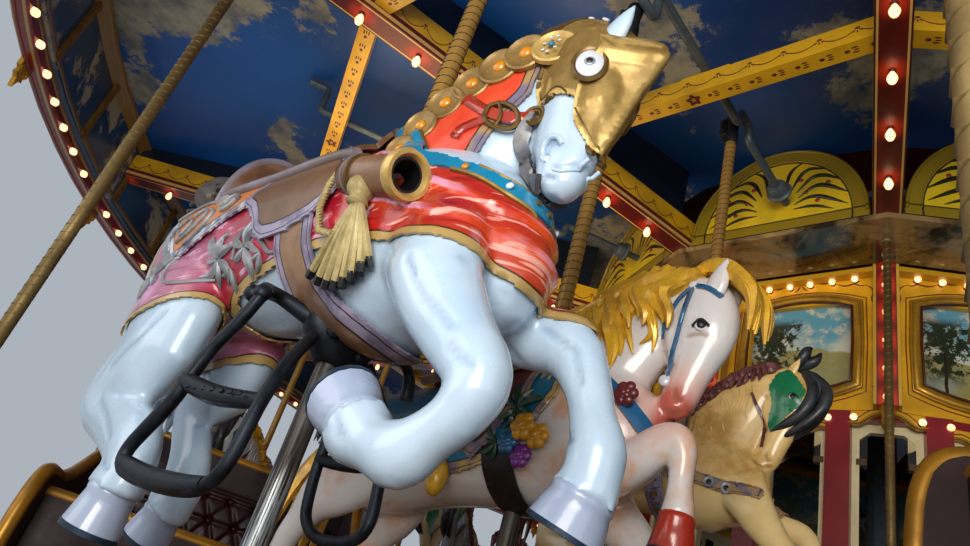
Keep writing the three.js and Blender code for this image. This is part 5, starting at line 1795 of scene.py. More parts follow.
LUNETTE_PAINT = lunette_paint()
LEAF_GREEN = gloss("leaf green", "#101a12", "#060b08")
FLOWER_RED = gloss("flower red", "#8e1f12", "#4d0d0a")
parts = [painted(slab(arch_points(), LUNETTE_FACE - LUNETTE_THICK, LUNETTE_FACE), LUNETTE_PAINT)]
arch_line = [(LUNETTE_FACE + .003, LUNETTE_HALF * .985 * math.cos(a), LUNETTE_SPRING
              + LUNETTE_RISE * .985 * math.sin(a))
             for a in np.linspace(0, math.pi, 40)]
parts.append(painted(cord(arch_line, .0085, 6), LUNETTE_PAINT))
inner_line = [(LUNETTE_FACE + .001, y * .862, LUNETTE_SPRING + (z - LUNETTE_SPRING) * .862) for _, y,
              z in arch_line]
parts.append(painted(cord(inner_line, .0045, 6), LUNETTE_PAINT))
leaf_strokes, flower_strokes = [], []
for side in (1, -1):
    for start, bend, end, wide in (((.10, 3.36), (.20, 3.40), (.37, 3.30), .016),
                                   ((.12, 3.40), (.22, 3.47), (.38, 3.37), .017),
                                   ((.11, 3.44), (.21, 3.54), (.35, 3.46), .016),
                                   ((.08, 3.46), (.15, 3.59), (.27, 3.56), .015),
                                   ((.05, 3.47), (.07, 3.60), (.15, 3.655), .013),
                                   ((.10, 3.33), (.20, 3.33), (.30, 3.285), .012)):
        leaf_strokes.append(stroke([(side * a, b) for a, b in (start, bend, end)], [.003, wide, .002],
                                   LUNETTE_FACE + .001))
    for a, b in ((.16, 3.43), (.22, 3.36), (.13, 3.52), (.27, 3.47)):
        flower = stone((LUNETTE_FACE + .002, side * a, b), (1, 0, 0), .013, .4)
        flower_strokes.append(flower)
parts.append(painted(join(leaf_strokes, "leaves"), LEAF_GREEN))
parts.append(painted(join(flower_strokes, "flowers"), FLOWER_RED))
lunettes = scatter(capped(join(mapped(parts), "lunette"), LUNETTE_MOST), [about_axis(turn) for turn in BAY_ANGLES],
                   "lunettes")
settle(lunettes, "lunettes", "turntable")
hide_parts("lunette_boards")
print("lunettes:", triangles(lunettes), "triangles")

# %% [markdown]
# **Drum.** Gilt frames with bowed top and bottom edges hold the pictures. Above each is a painted bow
# with scrolls, and below a shaped valance with bulbs. The flat drum node stays behind them.

# %% Frames, scrolls, valance and corbels on the drum
DRUM_FACE, DRUM_TRIM_MOST = 1.6034, 4200
GILT = metal("gilt frame", "#b98a26", "#6f4d14", 0.3, 0.45, 10.0)
MAROON = gloss("scroll maroon", "#7a1614", "#400c0c")
DRUM_YELLOW = gloss("valance yellow", "#e0a81c", "#a87c16", 0.5)


def shaped_frame(half, top_corner, top_middle, low_corner, low_middle, steps=9):
    """A frame outline with bowed top and bottom and nipped corners, as (aside, up) points."""
    top = [(half * t, top_corner + (top_middle - top_corner) * (1 - t * t)) for t in np.linspace(-1, 1, steps)]
    low = [(half * t, low_corner - (low_corner - low_middle) * (1 - t * t)) for t in np.linspace(1, -1, steps)]
    return top + [(half * 1.02, (top_corner + low_corner) / 2)] + low + [(-half * 1.02,
                                                                          (top_corner + low_corner) / 2)]


def band_between(outer, inner, back, front):
    """A flat ring of moulding between two outlines with as many points."""
    count = len(outer)
    deselect()
    bpy.ops.mesh.primitive_grid_add(x_subdivisions=3, y_subdivisions=count, size=1)
    obj = bpy.context.object
    for number, vertex in enumerate(obj.data.vertices):
        row, column = divmod(number, 4)
        a, b = outer[row % count], inner[row % count]
        share = (0, .25, .7, 1)[column]
        vertex.co = ((back, front, front - .006, back)[column], a[0] + (b[0] - a[0]) * share, a[1]
                     + (b[1] - a[1]) * share)
    return thickened(outward(obj, 0.0002), .004)


outer_line = shaped_frame(.318, 2.99, 3.062, 2.49, 2.42)
inner_line = shaped_frame(.268, 2.965, 3.016, 2.53, 2.475)
parts = [painted(band_between(outer_line, inner_line, DRUM_FACE + .001, DRUM_FACE + .022), GILT)]
for line, thread, finish in ((outer_line, .0075, GILT), (inner_line, .006, SOCKET),
                             (shaped_frame(.336, 3.012, 3.084, 2.468, 2.398), .0035, MAROON)):
    parts.append(painted(cord([(DRUM_FACE + .012 * (finish is not MAROON), a, b) for a, b in line], thread, 6,
                              False, True), finish))
scroll_strokes = []
for side in (1, -1):
    for points, wide in (([(.02, 3.145), (.07, 3.150), (.12, 3.128), (.16, 3.140), (.19, 3.118)], .0055),
                         ([(.19, 3.118), (.23, 3.098), (.28, 3.110), (.31, 3.085), (.335, 3.092)], .005),
                         ([(.335, 3.092), (.365, 3.07), (.372, 3.03), (.355, 3.00), (.378, 2.965)], .005),
                         ([(.378, 2.965), (.395, 2.93), (.375, 2.895), (.395, 2.86)], .0045),
                         ([(.16, 3.140), (.175, 3.152), (.19, 3.146)], .004),
                         ([(.28, 3.110), (.292, 3.122), (.305, 3.118)], .004),
                         ([(.01, 3.140), (.03, 3.162), (.052, 3.150), (.02, 3.136)], .006),
                         ([(.005, 3.135), (.018, 3.112), (.036, 3.100)], .005),
                         ([(.36, 2.50), (.385, 2.47), (.37, 2.44), (.395, 2.41)], .0045)):
        scroll_strokes.append(stroke([(side * a, b) for a, b in points], [.0015, wide, wide * .8, .0015],
                                     DRUM_FACE + .001, .5, 4))
parts.append(painted(join(scroll_strokes, "scrolls"), MAROON))
valance_low = [(v, 2.352 - .082 * max(0, math.cos(v / .40 * math.pi / 2)) ** .7 + .010 * math.cos(v * 52))
               for v in np.linspace(-.425, .425, 35)]
valance = [(-.425, 2.368), (.425, 2.368)] + valance_low[::-1]
parts.append(painted(slab(valance, DRUM_FACE - .030, DRUM_FACE - .002), DRUM_YELLOW))
parts.append(painted(cord([(DRUM_FACE + .000, v, z + .004) for v, z in valance_low], .006, 6), GILT))
parts.append(painted(cord([(DRUM_FACE - .001, v * .96, z + .026) for v, z in valance_low[1:-1]], .0030, 4),
                     MAROON))
drum_trim = scatter(capped(join(parts, "drum trim"), DRUM_TRIM_MOST), [about_axis(turn) for turn in BAY_ANGLES],
                    "drum_gilt_frames")
settle(drum_trim, "drum_gilt_frames", "turntable")
corbel = loft([((0, 1.69, 2.372), .030, .060), ((0, 1.69, 2.345), .034, .064), ((0, 1.685, 2.325), .026, .050),
               ((0, 1.68, 2.290), .030, .046), ((0, 1.675, 2.262), .018, .030), ((0, 1.67, 2.246), .006, .010)],
              14, 2)
corbels = scatter(painted(smooth(corbel), GILT), [about_axis(turn) for turn in SWEEP_ANGLES], "post_corbels")
settle(corbels, "post_corbels", "turntable")
print("drum trim:", triangles(drum_trim) + triangles(corbels), "triangles")

# %% [markdown]
# **Housing windows.** Each tall window of the machinery housing has a dark board behind an ogee head
# at its top and a brown bar below that, and is open under the bar.

# %% Heads and bars of the housing windows
WINDOWS, HOUSING_RADIUS = 24, 1.568
window_step = 360.0 / WINDOWS
window_angles = [window_step * (k + 0.5) for k in range(WINDOWS)]
shoulder = [(-.118, 2.29)] + [(-.118 + .118 * t, 2.205 + .075 * math.sin(t * math.pi / 2) ** 1.6)
                              for t in np.linspace(0, 1, 7)]
shoulder += [(.118 - .118 * t, 2.205 + .075 * math.cos(t * math.pi / 2) ** 1.6)
             for t in np.linspace(0, 1, 7)][1:] + [(.118, 2.29)]
parts = [painted(slab([(-.118, 2.135), (.118, 2.135), (.118, 2.29), (-.118, 2.29)], -.030, -.016), BLACK),
         painted(slab(shoulder, -.015, -.004), gloss("window cream", "#d9c792", "#9c8759")),
         painted(slab([(-.118, 2.120), (.118, 2.120), (.118, 2.152), (-.118, 2.152)], -.032, .004),
                 gloss("bar brown", "#5a3b1c", "#2e1c0c"))]
window_head = join(parts, "window head")
apothem = HOUSING_RADIUS * math.cos(math.radians(window_step / 2))
for vertex in window_head.data.vertices:
    vertex.co.x += apothem
window_heads = scatter(window_head, [about_axis(turn) for turn in window_angles], "window_heads")
settle(window_heads, "window_heads", "turntable")
print("window heads:", triangles(window_heads), "triangles")

# %% [markdown]
# **Rim.** The CAD rim has 24 flat sides. Here each part of it is one profile spun round the axis, with
# its mouldings, so that it is truly round. Ribs stand on the cove every seven and a half degrees.

# %% Round rim
RIM_STEPS = 96


def rim_bands():
    """Red rail with a maroon bulb band and tan mouldings, by height and radius."""
    paint = Finish("rim bands")
    x, y, z = paint.axes()
    radius = paint.math("SQRT", x * x + y * y)
    colour = worn(paint, tint("#8a1310"), tint("#4c0b0a"), 0.5, 4.0)
    colour = paint.mix(colour, tint("#a98848"), z.within(2.930, 2.942,
                                                         0.001).either(z.within(2.976, 2.996, 0.001)))
    colour = paint.mix(colour, tint("#4a0f0d"), z.within(2.944, 2.974, 0.001))
    colour = paint.mix(colour, tint("#b08d45"), radius.within(5.616, 5.632, 0.001) * z.under(2.87))
    colour = paint.mix(colour, tint("#b08d45"), radius.within(5.684, 5.698, 0.001) * z.under(2.88))
    return paint.use(colour, 0.3, coat=0.4, height=paint.noise(35), strength=0.1, depth=0.003)


def cove_panels():
    """Navy cloud panels between gold-brown ribs, with a tan line at the top and bottom."""
    paint = Finish("cove cloud panels")
    _, _, z = paint.axes()
    cloud = paint.noise(2.2, 7, 0.72, None, 0.4)
    colour = paint.mix(tint("#152334"), tint("#2c5078"), paint.noise(0.9, 2).over(0.5, 0.15))
    colour = paint.mix(colour, tint("#a49a7c"), cloud.over(0.56, 0.03))
    colour = paint.mix(colour, tint("#7a5a26"), z.within(3.000, 3.030, 0.001).either(z.over(3.415, 0.001)))
    colour = paint.mix(colour, tint("#3a1a10"), z.within(3.030, 3.040, 0.001))
    return paint.use(colour, 0.3, coat=0.35, height=cloud, strength=0.08, depth=0.004)


def rounding_panels():
    """Cream boards outside, with a red line round each panel and a gold scroll of leaves."""
    paint = Finish("rounding board panels")
    _, aside, z, _ = folded(paint, 15)
    up = z - 3.33
    panel = abs(aside).under(1.22, 0.002) * abs(up).under(0.23, 0.002)
    line = panel * (1 - abs(aside).under(1.18, 0.002) * abs(up).under(0.19, 0.002))
    colour = worn(paint, tint("#cdb98a"), tint("#93805a"), 0.45, 4.0)
    colour = paint.mix(colour, tint("#8c1713"), line)
    wave = up - paint.math("SINE", aside * 14) * 0.05
    vine = abs(wave).under(0.008, 0.002) * abs(aside).under(1.1)
    leaves = leaf_marks(paint, aside, wave * 0.5, 0.112) * abs(aside).under(1.1)
    colour = paint.mix(colour, tint("#1f4a2c"), vine)
    colour = paint.mix(colour, tint("#a3781c"), leaves)
    return paint.use(colour, 0.35, coat=0.35, height=paint.noise(20, 3), strength=0.1, depth=0.004)


rail = painted(smooth(spun([(5.602, 2.874), (5.612, 2.866), (5.634, 2.866), (5.640, 2.872), (5.668, 2.872),
                            (5.674, 2.866), (5.692, 2.866), (5.702, 2.876), (5.702, 2.948), (5.690, 2.960),
                            (5.606, 2.960), (5.598, 2.952), (5.606, 2.940), (5.606, 2.925), (5.600, 2.915),
                            (5.600, 2.885)], RIM_STEPS), 35),
               rim_bands())
boards_ring = painted(smooth(spun([(5.642, 2.962), (5.676, 2.962), (5.682, 2.975), (5.672, 2.990), (5.668, 3.05),
                                   (5.668, 3.55),
                                   (5.676, 3.568), (5.676, 3.70), (5.600, 3.70), (5.600, 3.69), (5.642, 3.69)],
                                  RIM_STEPS), 35),
                      rounding_panels())
cove = [smooth(spun([(5.606, 2.962), (5.640, 2.962), (5.640, 3.500), (5.560, 3.500), (5.545, 3.488),
                     (5.552, 3.470), (5.580, 3.455),
                     (5.596, 3.430), (5.606, 3.420), (5.606, 3.034), (5.594, 3.026), (5.594, 3.006),
                     (5.600, 2.998), (5.592, 2.990), (5.592, 2.976)], RIM_STEPS), 35)]
painted(cove[0], cove_panels())
rib = slab([(-.024, 3.000), (.024, 3.000), (.030, 3.030), (.022, 3.05), (.022, 3.40), (.030, 3.425), (.024, 3.45),
            (-.024, 3.45), (-.030, 3.425), (-.022, 3.40), (-.022, 3.05), (-.030, 3.030)], -5.604, -5.582)
for vertex in rib.data.vertices:
    vertex.co.x = -vertex.co.x
outward(rib)
RIB_GOLD = metal("rib gold brown", "#85601f", "#4c3512", 0.4, 0.3)
ribs = scatter(painted(rib, RIB_GOLD), [about_axis(7.5 * k) for k in range(48)], "ribs")
cove = join(cove + [ribs], "cove")
crown = painted(smooth(spun([(5.676, 3.572), (5.690, 3.580), (5.700, 3.62), (5.730, 3.66), (5.736, 3.70),
                             (5.748, 3.712), (5.748, 3.728),
                             (5.630, 3.730), (5.630, 3.702), (5.676, 3.700)], RIM_STEPS), 35), GOLD_PAINT)
crest_line = [(-.26, 3.69), (.26, 3.69), (.262, 3.76), (.235, 3.80), (.255, 3.835), (.215, 3.868), (.175, 3.850),
              (.150, 3.885), (.105, 3.905), (.075, 3.955), (.035, 3.975), (.0, 4.018)]
crest_line += [(-a, b) for a, b in crest_line[:1:-1][1:]]
parts = [painted(slab(crest_line, 5.712, 5.738), GOLD_PAINT)]
for side in (1, -1):
    for points, wide in (([(.05, 3.74), (.12, 3.76), (.17, 3.81), (.14, 3.85), (.10, 3.83)], .016),
                         ([(.10, 3.735), (.19, 3.74), (.225, 3.785), (.195, 3.815)], .014),
                         ([(.02, 3.80), (.05, 3.87), (.03, 3.94)], .014)):
        parts.append(painted(stroke([(side * a, b) for a, b in points], [.006, wide, wide * .9, .006], 5.738, .7),
                             GOLD_PAINT))
parts.append(painted(stone((5.738, 0, 3.79), (1, 0, 0), .035, .5), FLOWER_RED))
crests = scatter(join(parts, "crest"), [about_axis(turn) for turn in SWEEP_ANGLES], "crests")
crown = join([crown, crests], "crown")
drop = slab([(-.070, 2.872), (.070, 2.872), (.066, 2.83), (.040, 2.822), (.050, 2.79), (.020, 2.775), (.0, 2.72),
             (-.020, 2.775), (-.050, 2.79), (-.040, 2.822), (-.066, 2.83)], 5.676, 5.698)
parts = [painted(drop, GOLD_PAINT)]
for side in (1, -1):
    parts.append(painted(stroke([(side * a, b) for a, b in ((.01, 2.85), (.045, 2.85), (.05, 2.82), (.02, 2.815))],
                                [.004, .010, .009, .004], 5.676, .6), GOLD_PAINT))
drops = scatter(join(parts, "drop"), [about_axis(15 * k) for k in range(24)], "rim_drops")
for piece, name, node, slot in ((rail, "rim_rail_round", "rim_bulb_rail", "rail_paint"),
                                (boards_ring, "rounding_boards_round", "rounding_boards", "board_paint"),
                                (cove, "rim_cove_round", "rim_cove", "cove_paint"),
                                (crown, "rim_crown_round", "rim_crown", "crown_gold")):
    settle(piece, name, "turntable")
    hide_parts(node)
settle(drops, "rim_drops", "turntable")
print("rim:", sum(triangles(o) for o in (rail, boards_ring, cove, crown, drops)), "triangles")

# %% [markdown]
# **Poles and foot rests.** Each horse slides on a pole sleeved in twisted brass above the saddle and
# bare steel below, hung from the crank by a black casting. Under the leading horse is a cast-iron
# foot rest: two stirrup-shaped loops with two treads each, clamped to the pole by four bolts.

# %% Poles
def steel_finish():
    paint = Finish("worn pole steel")
    x, y, z = paint.axes()
    streak = paint.noise(30, 4, 0.6, paint.vector(x * 6, y * 6, z * 0.25))
    bright = z.under(0.98, 0.03)
    colour = paint.mix(tint("#2c2622"), tint("#5d5852"), streak.over(0.48, 0.12))
    colour = paint.mix(colour, tint("#aab0b4"), bright * streak.over(0.50, 0.07))
    return paint.use(colour, 0.55 - bright * 0.18, 0.6, height=streak, strength=0.2, depth=0.002)


POLE_STEEL = steel_finish()


POLE_HALF, SLEEVE_HALF = .0245, .0255


def pole(row, bay, name, seams=True):
    """A pole with its sleeve, seam and hanger, in world places."""
    low_saddle = horse_place(row, bay).translation
    rise = crank_rise(row, bay)
    seat_height = low_saddle.z - .06 * ROW_SCALES[row]
    top = 3.40 + rise
    made = [painted(tube(POLE_HALF, .235 + rise, seat_height - .25, 14), POLE_STEEL),
            painted(tube(SLEEVE_HALF, seat_height - .26, top, 14), SLEEVE_BRASS)]
    if seams:
        made.append(painted(winding(.0256, seat_height - .05, top - .16, .029, .0024, 11), ROD_SEAM))
    hanger = turned([(.0, -.165), (.027, -.165), (.033, -.15), (.033, -.115), (.029, -.10), (.029, -.035),
                     (.034, -.025), (.034, .006), (.026, .014), (.0, .014)], 14)
    made.append(painted(placed(hanger, Matrix.Translation((0, 0, top))), CAST_IRON))
    made.append(painted(block((0, -.036, top - .06), (.060, .040, .105), .008), CAST_IRON))
    for height in (-.09, -.03):
        bolt = turned([(.0, 0), (.011, 0), (.011, .008), (.006, .012), (.0, .012)], 6)
        made.append(painted(placed(bolt, facing((.030, -.036, top + height), (1, 0, 0))), CAST_IRON))
    return placed(join(made, name), Matrix.Translation((low_saddle.x, low_saddle.y, 0))
                  @ about_axis(BAY_ANGLES[bay]))


lead_pole = pole("outer", 0, "lead pole")
settle(lead_pole, "outer_horse_1_twisted_pole", "outer_horse_1")
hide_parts("outer_horse_1_pole")
print("leading pole:", triangles(lead_pole), "triangles")

# %% Foot rest of the leading horse
NEAR_LOOP = [(.205, -.01, -.585), (.210, -.03, -.64), (.215, -.085, -.70), (.218, -.11, -.77), (.220, -.125, -.82),
             (.220, -.18, -.88), (.220, -.215, -.92), (.220, -.205, -.955), (.220, -.14, -.972),
             (.220, -.02, -.985), (.220, .08, -.99), (.220, .135, -.985), (.220, .175, -.955), (.220, .188, -.90),
             (.215, .183, -.83), (.195, .168, -.765), (.150, .115, -.69), (.085, .04, -.615)]
FAR_LOOP = [(-.06, -.02, -.565), (-.13, -.035, -.575), (-.185, -.10, -.61), (-.20, -.18, -.68), (-.20, -.19, -.76),
            (-.20, -.175, -.86),
            (-.20, -.155, -.915), (-.20, -.10, -.948), (-.20, -.02, -.955), (-.20, .045, -.942),
            (-.20, .070, -.905), (-.20, .055, -.83), (-.20, .035, -.74), (-.165, .02, -.65), (-.09, .01, -.59)]
rest_parts = [cord(NEAR_LOOP, [.013] * 3 + [.015] * 3 + [.014] * 4 + [.013] * 8, 10), cord(FAR_LOOP, .0135, 10),
              cord([(.07, 0, -.565), (.125, -.035, -.548), (.165, -.045, -.545), (.20, -.015, -.565)],
                   [.022, .017, .015, .018], 10),
              cord([(.218, -.115, -.775), (.218, -.03, -.800), (.218, .07, -.820), (.210, .178, -.825)],
                   [.018, .021, .019, .014], 10),
              cord([(.220, -.19, -.948), (.220, -.08, -.972), (.220, .08, -.985), (.220, .14, -.978)],
                   [.017, .021, .021, .015], 10),
              cord([(-.20, -.19, -.77), (-.20, -.06, -.79), (-.20, .045, -.78)], [.014, .018, .013], 10),
              cord([(-.06, .02, -.565), (-.12, .05, -.56), (-.16, .045, -.545), (-.20, .04, -.57),
                    (-.205, .04, -.62)], [.020, .014, .012, .014, .016], 10)]
hub = loft([((0, 0, -.505), .040, .060), ((0, 0, -.520), .052, .090), ((0, 0, -.56), .056, .100),
            ((0, 0, -.60), .050, .080), ((0, 0, -.630), .036, .045), ((0, 0, -.638), .030, .034)], 20, 2)
rest_parts.append(smooth(hub, 50))
for aside, up in ((.045, -.54), (.050, -.585), (-.045, -.555), (-.035, -.60)):
    bolt = turned([(.0, -.01), (.013, -.01), (.014, .008), (.010, .014), (.0, .016)], 10)
    rest_parts.append(placed(bolt, facing((aside, .050, up), (aside, 1.2, -.35))))
for place in ((.205, -.012, -.575), (.20, -.06, -.565)):
    rest_parts.append(stone(place, (1, .2, .3), .020, .9))
for n in range(7):
    rest_parts.append(stone((.236, -.06 + .034 * n, -.797 - .004 * n), (1, .1, .4), .006, .5))
rest = painted(join(rest_parts, "foot rest"), metal("blue black iron", "#12151b", "#26303c", 0.30, 0.6, 22.0))
set_down(rest, "outer_horse_1_cast_foot_rest", "outer", 0)
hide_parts("outer_horse_1_foot_rest")
print("foot rest:", triangles(rest), "triangles")

# %% [markdown]
# # The other horses
# Two more horses are modelled in full, the golden-maned one and the tan one behind it, each from its
# own rings. The rest of the three rows are lighter copies of these two in other colours, as a
# carver's shop repeats its patterns and changes the paint.

# %% Rings of the golden-maned horse and the tan horse
GOLD_RINGS = [
    [((-.92, 0, -.55), .06, .05), ((-.86, 0, -.53), .14, .11), ((-.74, 0, -.50), .20, .16),
     ((-.58, 0, -.47), .225, .19), ((-.38, 0, -.44), .215, .195), ((-.15, 0, -.42), .22, .2),
     ((.06, 0, -.41), .235, .2), ((.22, 0, -.40), .23, .185), ((.33, 0, -.42), .20, .155),
     ((.41, 0, -.45), .14, .11), ((.46, 0, -.47), .07, .06)],
    [((.10, 0, -.26), .24, .13), ((.22, 0, -.14), .21, .11), ((.33, 0, -.03), .17, .088),
     ((.42, 0, .05), .13, .075), ((.49, 0, .075), .10, .066)],
    [((.50, 0, .11), .05, .05), ((.535, 0, .05), .10, .07), ((.565, 0, -.03), .105, .078),
     ((.565, 0, -.10), .092, .068), ((.545, 0, -.17), .072, .055), ((.525, 0, -.235), .060, .050),
     ((.508, 0, -.29), .056, .046), ((.498, 0, -.33), .040, .036), ((.494, 0, -.345), .02, .02)],
    [((.50, 0, .02), .06, .055), ((.49, 0, -.06), .075, .062), ((.495, 0, -.12), .06, .054),
     ((.515, 0, -.19), .04, .04)]]
GOLD_LEGS = [
    [((.26, .07, -.46), .12, .07), ((.36, .10, -.55), .085, .07), ((.45, .11, -.53), .066, .06),
     ((.535, .11, -.47), .058, .052), ((.585, .11, -.455), .046, .046), ((.605, .11, -.50), .040, .038),
     ((.608, .11, -.57), .034, .032), ((.612, .11, -.635), .042, .040), ((.612, .11, -.665), .050, .046)],
    [((.18, -.08, -.48), .12, .07), ((.28, -.11, -.60), .085, .06), ((.38, -.12, -.68), .062, .052),
     ((.44, -.12, -.76), .046, .044),
     ((.44, -.12, -.82), .036, .035), ((.425, -.12, -.88), .042, .040), ((.418, -.12, -.91), .050, .046)],
    [((-.66, .08, -.52), .19, .10), ((-.74, .11, -.62), .15, .085), ((-.83, .12, -.70), .10, .07),
     ((-.89, .12, -.78), .062, .05), ((-.93, .12, -.85), .050, .045), ((-.95, .12, -.92), .042, .040),
     ((-.975, .12, -.98), .046, .042), ((-.985, .12, -1.0), .052, .048)],
    [((-.62, -.08, -.50), .19, .10), ((-.66, -.11, -.64), .14, .08), ((-.72, -.12, -.74), .085, .06),
     ((-.76, -.12, -.82), .054, .046),
     ((-.72, -.12, -.89), .042, .040), ((-.70, -.12, -.96), .048, .044), ((-.70, -.12, -.985), .052, .048)]]
GOLD_HOOVES = [((.612, .11, -.66), (.605, .11, -.76)), ((.418, -.12, -.905), (.395, -.12, -.985)),
               ((-.985, .12, -1.0), (-1.025, .12, -1.06)), ((-.70, -.12, -.98), (-.705, -.12, -1.055))]
TAN_RINGS = [
    [((-.90, 0, -.50), .06, .05), ((-.84, 0, -.48), .14, .11), ((-.70, 0, -.46), .20, .17),
     ((-.5, 0, -.45), .215, .19),
     ((-.25, 0, -.46), .21, .2), ((0, 0, -.48), .225, .205), ((.15, 0, -.51), .235, .19),
     ((.26, 0, -.55), .20, .16), ((.33, 0, -.60), .14, .11), ((.365, 0, -.63), .07, .06)],
    [((.06, 0, -.44), .26, .155), ((.13, 0, -.27), .225, .13), ((.24, 0, -.12), .18, .10),
     ((.36, 0, -.02), .135, .082), ((.44, 0, .03), .10, .066)],
    [((.42, 0, .08), .05, .05), ((.47, 0, .02), .10, .07), ((.50, 0, -.07), .105, .076),
     ((.49, 0, -.15), .09, .066), ((.46, 0, -.22), .072, .057), ((.43, 0, -.29), .064, .054),
     ((.405, 0, -.355), .060, .052), ((.385, 0, -.410), .048, .044), ((.375, 0, -.440), .022, .02)],
    [((.43, 0, -.01), .06, .055), ((.415, 0, -.09), .075, .062), ((.405, 0, -.16), .06, .054),
     ((.41, 0, -.22), .04, .04)]]
TAN_LEGS = [[((a, b, c - .12), across, aside) for (a, b, c), across, aside in rings] for rings in LEAD_LEGS]
TAN_HOOVES = [((a, b, c - .12), (d, e, f - .12)) for (a, b, c), (d, e, f) in LEAD_HOOVES]


def peach_paint():
    """White gloss with orange shading at the joints, a pink-red muzzle, and painted brown shade in the carved
    grooves.
    """
    paint = Finish("white and peach horse")
    local = paint.attribute_vector("local")
    _, forward, up = paint.axes(local)
    groove = paint.attribute("groove")
    blotch = paint.noise(4.2, 4, 0.6, local)
    base = paint.mix(tint("#d6d2d2"), tint("#d79a68"), blotch.over(0.56, 0.10) * (up.under(-0.25, 0.15) * 0.85))
    dx, dz = forward - 0.50, up + 0.335
    muzzle = paint.math("SQRT", dx * dx + dz * dz)
    base = paint.mix(base, tint("#d9a79a"), muzzle.under(0.14, 0.06) * 0.8)
    base = paint.mix(base, tint("#b5402a"), (muzzle + (blotch - 0.5) * 0.1).under(0.070,
                                                                                  0.03) * forward.over(0.462,
                                                                                                       0.012) * 0.85)
    # painted shade: brown in the carved grooves
    base = paint.mix(base, tint("#8d5a44"), groove.over(0.4, 0.4) * 0.55)
    return paint.use(base, 0.24, coat=0.55, height=paint.noise(38, 3, 0.6, local), strength=0.12, depth=0.002)


def roached_paint():
    """Golden tan gloss, paler on the belly, with painted dark shade in the grooves."""
    paint = Finish("golden tan horse")
    local = paint.attribute_vector("local")
    _, forward, up = paint.axes(local)
    groove = paint.attribute("groove")
    blotch = paint.noise(5, 5, 0.6, local)
    base = paint.mix(tint("#f6d088"), tint("#cc9c50"), blotch.over(0.52, 0.14))
    base = paint.mix(base, tint("#e8cf98"), (up + (blotch - 0.5) * 0.3).under(-0.55, 0.12) * 0.7)
    # painted shade: dark brown in the carved grooves
    base = paint.mix(base, tint("#6d4a1e"), groove.over(0.45, 0.45) * 0.5)
    return paint.use(base, 0.25, coat=0.5, height=paint.noise(38, 3, 0.6, local), strength=0.12, depth=0.002)


GOLD_HAIR = carved_metal("carved golden hair", "#f0bc34", "#a8741e", 0.24, 0.2)
MAROON_HAIR = carved_metal("maroon mane", "#4f1f22", "#8a5550", 0.35, 0.05)
BLACK_HAIR = carved_metal("black plume", "#0e0f12", "#3c4046", 0.4, 0.1)
MASK_GREEN = enamel("green mask", "#127a4c", "#0d5238", None, 0.25)
STRAP_BLUE = enamel("blue strap", "#1c5f8d", "#123f63", None, 0.25)
RED_HOOF = enamel("red hoof", "#a5301c", "#6b1a10", None, 0.25)
CLOTH_BLUE = leather("blue cloth", "#167aa0", "#0f5472", "#b89a5a")
CLOTH_MAROON = leather("maroon cloth", "#4a1418", "#6d2226", "#a08052")
CLOTH_GREEN = leather("green cloth", "#1f5a3c", "#123a28", "#b89a5a")
ROSE_YELLOW = enamel("yellow rose", "#d69a14", "#a86a08", None, 0.25)
ROSE_PURPLE = enamel("purple rose", "#7d2a86", "#3a2470", None, 0.25)
LEAF_PAINT = enamel("carved leaf green", "#14452c", "#0b2a1c", None, 0.25)
PEACH, TAN = peach_paint(), roached_paint()
print("rings and paints for two more horses")

# %% [markdown]
# **Hair.** A carved mane is a bundle of locks. Each lock is a tapering cord laid on the neck in a wave,
# and its neighbours cross it a little, so that light breaks on many ridges.

# %% Hair, bridle, flowers
def lock(body, start, end, side, size, wave, lift, phase):
    """One tapering lock, laid on the body in a wave."""
    a, b = np.array(start, float), np.array(end, float)
    run = b - a
    bow = np.array([-run[1], run[0]]) / max(np.linalg.norm(run), 1e-6)
    path = [a + run * t + bow * wave * math.sin(phase + t * 7.5) for t in np.linspace(0, 1, 8)]
    points = [touch(body, p, q, side, lift + .004 * math.sin(phase * 3 + n)) for n, (p, q) in enumerate(path)]
    return cord(points, [size * v for v in (.75, 1.0, 1.1, 1.05, .9, .75, .5, .12)], 6)


def mane(body, crest, drop, sides=(1, -1), count=20, size=.017, spread=.05, wave=.016):
    """Locks from a crest line; drop is how a lock runs from its root, forward and up."""
    locks = []
    roots = along(crest, count)
    for side in sides:
        for layer in range(2):
            for number, (forward, up) in enumerate(roots):
                rng = random.Random(number * 7 + layer * 31 + (side > 0) * 101)
                reach = (1.0 if layer == 0 else .62) * (.85 + .3 * rng.random())
                end = (forward + drop[0] * reach + spread * (rng.random() - .5), up + drop[1] * reach)
                locks.append(lock(body, (forward, up), end, side, size * (.8 + .4 * rng.random()),
                                  wave * (.8 + .5 * rng.random()),
                                  .008 + .014 * layer, rng.random() * 1.6))
    for number, (forward, up) in enumerate(roots):
        rng = random.Random(number + 500)
        locks.append(cord([(.028 * (rng.random() - .5), forward + .03, up + .005),
                           (.02 * (rng.random() - .5), forward - .01, up + .022),
                           (.03 * (rng.random() - .5), forward - .06, up - .005)],
                          [size * .6, size * 1.2, size * .5], 6))
    return join(locks, "mane")


def flower(body, forward, up, side, size):
    """A carved rose of small overlapping domes."""
    centre = touch(body, forward, up, side, .022)
    made = []
    for ring, (count, reach, bud) in enumerate(((6, .62, .46), (5, .30, .34), (1, 0, .30))):
        for number in range(count):
            angle = 2 * math.pi * number / count + ring * .5
            spot = centre + Vector((side * .006 * (ring + 1), size * reach * math.cos(angle),
                                    size * reach * math.sin(angle)))
            made.append(stone(spot, (side, .25 * math.cos(angle), .25 * math.sin(angle)), size * bud, .7))
    return made


